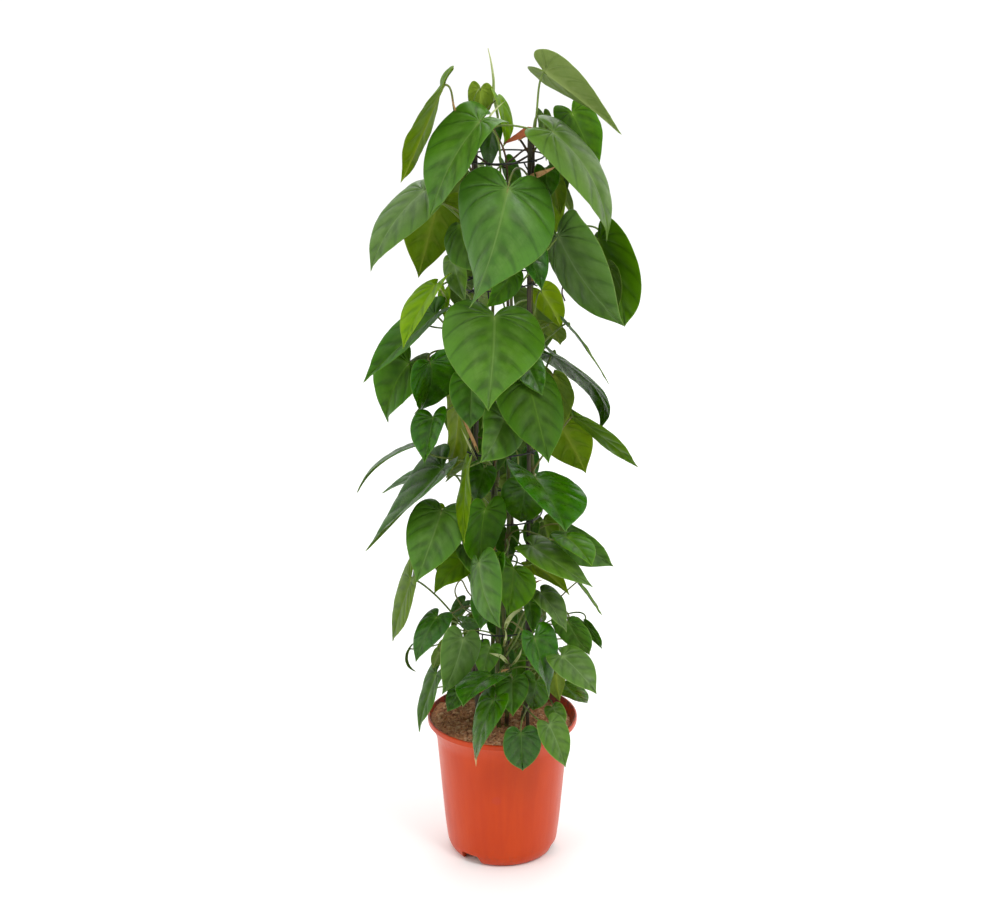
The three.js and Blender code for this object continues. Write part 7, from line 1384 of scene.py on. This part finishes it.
def make_soil():
    s = Surface()
    rings, sides = 44, 132
    r = np.linspace(0, 1, rings + 1)[1:]
    a = 2 * np.pi * np.arange(sides) / sides
    reach = np.full(sides, 86.0)
    for _ in range(5):
        reach = 81.7 + (soil_z(reach * np.cos(a), reach * np.sin(a)) - 158) * 0.4235
    rr, aa = np.meshgrid(r, a, indexing="ij")
    rr = rr * reach
    x, y = rr * np.cos(aa), rr * np.sin(aa)
    z = soil_z(x.ravel(), y.ravel()).reshape(x.shape) + 0.5 * noise(np.c_[x.ravel() * 0.8, y.ravel() * 0.8], 9).reshape(x.shape)
    top = np.stack([x, y, z], -1).reshape(-1, 3)
    wall = [(84.4, 165.0), (81.8, 158.0), (76.9, 110.0), (75.0, 88.0), (71.0, 41.0), (67.4, 20.0), (66.6, 13.6)]
    down = np.vstack([np.c_[q * np.cos(a), q * np.sin(a), np.full(sides, h)] for q, h in wall])
    V = np.vstack([[[0, 0, soil_z(np.array([0.0]), np.array([0.0]))[0]]], top, down, [[0, 0, 12.8]]])
    n = rings + len(wall)
    i, j = np.meshgrid(np.arange(n - 1), np.arange(sides), indexing="ij")
    q = 1 + np.stack([i * sides + j, (i + 1) * sides + j, (i + 1) * sides + (j + 1) % sides, i * sides + (j + 1) % sides], -1).reshape(-1, 4)
    k = np.arange(sides)
    first = np.stack([0 * k, 1 + k, 1 + (k + 1) % sides, 0 * k - 1], 1)
    last = np.stack([0 * k + len(V) - 1, 1 + (n - 1) * sides + (k + 1) % sides, 1 + (n - 1) * sides + k, 0 * k - 1], 1)
    s.add(V, np.vstack([first, q, last]), 0, tint=np.zeros(3))
    # grains: twenty-sided lumps, pushed out of shape
    bm = bmesh.new()
    bmesh.ops.create_icosphere(bm, subdivisions=1, radius=1)
    bm.verts.ensure_lookup_table()
    ball = np.array([v.co[:] for v in bm.verts])
    tri = np.array([[v.index for v in f.verts] + [-1] for f in bm.faces])
    bm.free()
    rng = np.random.default_rng(11)
    for _ in range(1500):
        q = math.sqrt(rng.uniform(0, 1)) * 84.0
        t = rng.uniform(0, 2 * np.pi)
        cx, cy = q * math.cos(t), q * math.sin(t)
        size = rng.uniform(0.8, 2.4) if rng.random() < 0.7 else rng.uniform(2.2, 3.8)
        dims = size * np.array([rng.uniform(0.8, 1.7), rng.uniform(0.5, 1.1), rng.uniform(0.35, 0.8)])
        lump = ball * (1 + 0.28 * noise(ball * 1.7 + rng.uniform(0, 50), 3))[:, None] * dims
        lump = lump @ rotation([rng.uniform(-0.5, 0.5), rng.uniform(-0.5, 0.5), rng.uniform(0, 6.3)]).T
        cz = soil_z(np.array([cx]), np.array([cy]))[0] + 0.25 * size
        s.add(lump + [cx, cy, cz], tri, 0, tint=[rng.uniform(0, 1) ** 2.0, 0.25 * rng.uniform(0, 1), 0])
    # fibres
    for _ in range(520):
        q = math.sqrt(rng.uniform(0, 1)) * 78
        t = rng.uniform(0, 2 * np.pi)
        c = np.array([q * math.cos(t), q * math.sin(t)])
        d = rng.uniform(0, 2 * np.pi)
        ln = rng.uniform(5, 17)
        u = np.linspace(-0.5, 0.5, 8)
        bend_ = rng.normal(0, 0.6)
        px = c[0] + ln * u * math.cos(d) - ln * bend_ * (u * u) * math.sin(d)
        py = c[1] + ln * u * math.sin(d) + ln * bend_ * (u * u) * math.cos(d)
        keep = np.hypot(px, py) < 81.5
        if keep.sum() < 4:
            continue
        px, py = px[keep], py[keep]
        pz = soil_z(px, py) + 0.45 + 1.5 * rng.uniform(0, 1) * (1 - (2 * u[keep]) ** 2)
        tube(s, np.c_[px, py, pz], np.full(len(px), rng.uniform(0.16, 0.4)), 4, 0, caps=True, tint=np.broadcast_to([rng.uniform(0, 1) ** 1.2, 0.1 * rng.uniform(0, 1), 0], (len(px), 3)))
    s.build("coir_soil", [soil_material()], ["soil"])


make_soil()


# ---- floor, light and camera
def stage_floor():
    bm = bmesh.new()
    n = 48
    verts = [[bm.verts.new(((i / n - 0.5) * 60, (j / n - 0.5) * 60, -0.0006)) for i in range(n + 1)] for j in range(n + 1)]
    for j in range(n):
        for i in range(n):
            bm.faces.new((verts[j][i], verts[j][i + 1], verts[j + 1][i + 1], verts[j + 1][i]))
    me = bpy.data.meshes.new("floor")
    bm.to_mesh(me)
    bm.free()
    m = Paint("floor_paper")
    n1 = m.noise(m.scaled(m.where(), 3, 3, 3), 1.0, 3, 0.5)
    m.set(Base_Color=m.mix(n1, srgb(250, 250, 249), srgb(253, 253, 252)), Roughness=m.ramp(n1, 0.3, 0.7, 0.85, 0.95))
    m.bsdf.inputs["Specular IOR Level"].default_value = 0.1
    me.materials.append(m.mat)
    ob = bpy.data.objects.new("floor", me)
    bpy.context.scene.collection.objects.link(ob)
    ob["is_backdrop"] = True


stage_floor()


def area(name, at, look, size, power, size_y=None):
    d = bpy.data.lights.new(name, "AREA")
    d.shape = "RECTANGLE"
    d.size, d.size_y, d.energy = size, size_y or size, power
    ob = bpy.data.objects.new(name, d)
    bpy.context.scene.collection.objects.link(ob)
    from mathutils import Vector

    ob.location = at
    ob.rotation_euler = (Vector(look) - Vector(at)).to_track_quat("-Z", "Y").to_euler()
    ob.visible_camera = False
    return ob


for row in LIGHTS:
    area(*row)

world = bpy.data.worlds.new("studio")
bpy.context.scene.world = world
world.use_nodes = True
wt = world.node_tree
wt.nodes.clear()
wo = wt.nodes.new("ShaderNodeOutputWorld")
bg = wt.nodes.new("ShaderNodeBackground")
bg.inputs["Color"].default_value = (1, 1, 1, 1)
around = wt.nodes.new("ShaderNodeTexCoord")
split = wt.nodes.new("ShaderNodeSeparateXYZ")
wt.links.new(around.outputs["Generated"], split.inputs[0])
front = wt.nodes.new("ShaderNodeMapRange")
front.interpolation_type = "SMOOTHSTEP"
for i, v in enumerate((None, -0.95, -0.25, WORLD_LIGHT[0], WORLD_LIGHT[1])):
    if v is not None:
        front.inputs[i].default_value = v
wt.links.new(split.outputs[1], front.inputs[0])
upper = wt.nodes.new("ShaderNodeMapRange")
upper.interpolation_type = "SMOOTHSTEP"
for i, v in enumerate((None, 0.25, 0.85, 0.0, WORLD_LIGHT[2])):
    if v is not None:
        upper.inputs[i].default_value = v
wt.links.new(split.outputs[2], upper.inputs[0])
total = wt.nodes.new("ShaderNodeMath")
total.operation = "ADD"
wt.links.new(front.outputs[0], total.inputs[0])
wt.links.new(upper.outputs[0], total.inputs[1])
wt.links.new(total.outputs[0], bg.inputs["Strength"])
seen = wt.nodes.new("ShaderNodeBackground")
seen.inputs["Color"].default_value = (1, 1, 1, 1)
seen.inputs["Strength"].default_value = 1.0
path = wt.nodes.new("ShaderNodeLightPath")
both = wt.nodes.new("ShaderNodeMixShader")
wt.links.new(path.outputs["Is Camera Ray"], both.inputs[0])
wt.links.new(bg.outputs[0], both.inputs[1])
wt.links.new(seen.outputs[0], both.inputs[2])
wt.links.new(both.outputs[0], wo.inputs[0])

camera = bpy.data.cameras.new("camera")
camera.sensor_fit, camera.sensor_width, camera.lens = "HORIZONTAL", 36.0, 74.304
camera.clip_start, camera.clip_end = 0.05, 50
cam = bpy.data.objects.new("camera", camera)
cam.location = (-0.003, -2.408, 1.307)
cam.rotation_euler = (math.radians(72.1), 0, 0)
bpy.context.scene.collection.objects.link(cam)
bpy.context.scene.camera = cam
bpy.context.scene.view_settings.view_transform = "Standard"
bpy.context.scene.view_settings.look = "None"
bpy.context.scene.view_settings.exposure = 0.0

low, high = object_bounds()
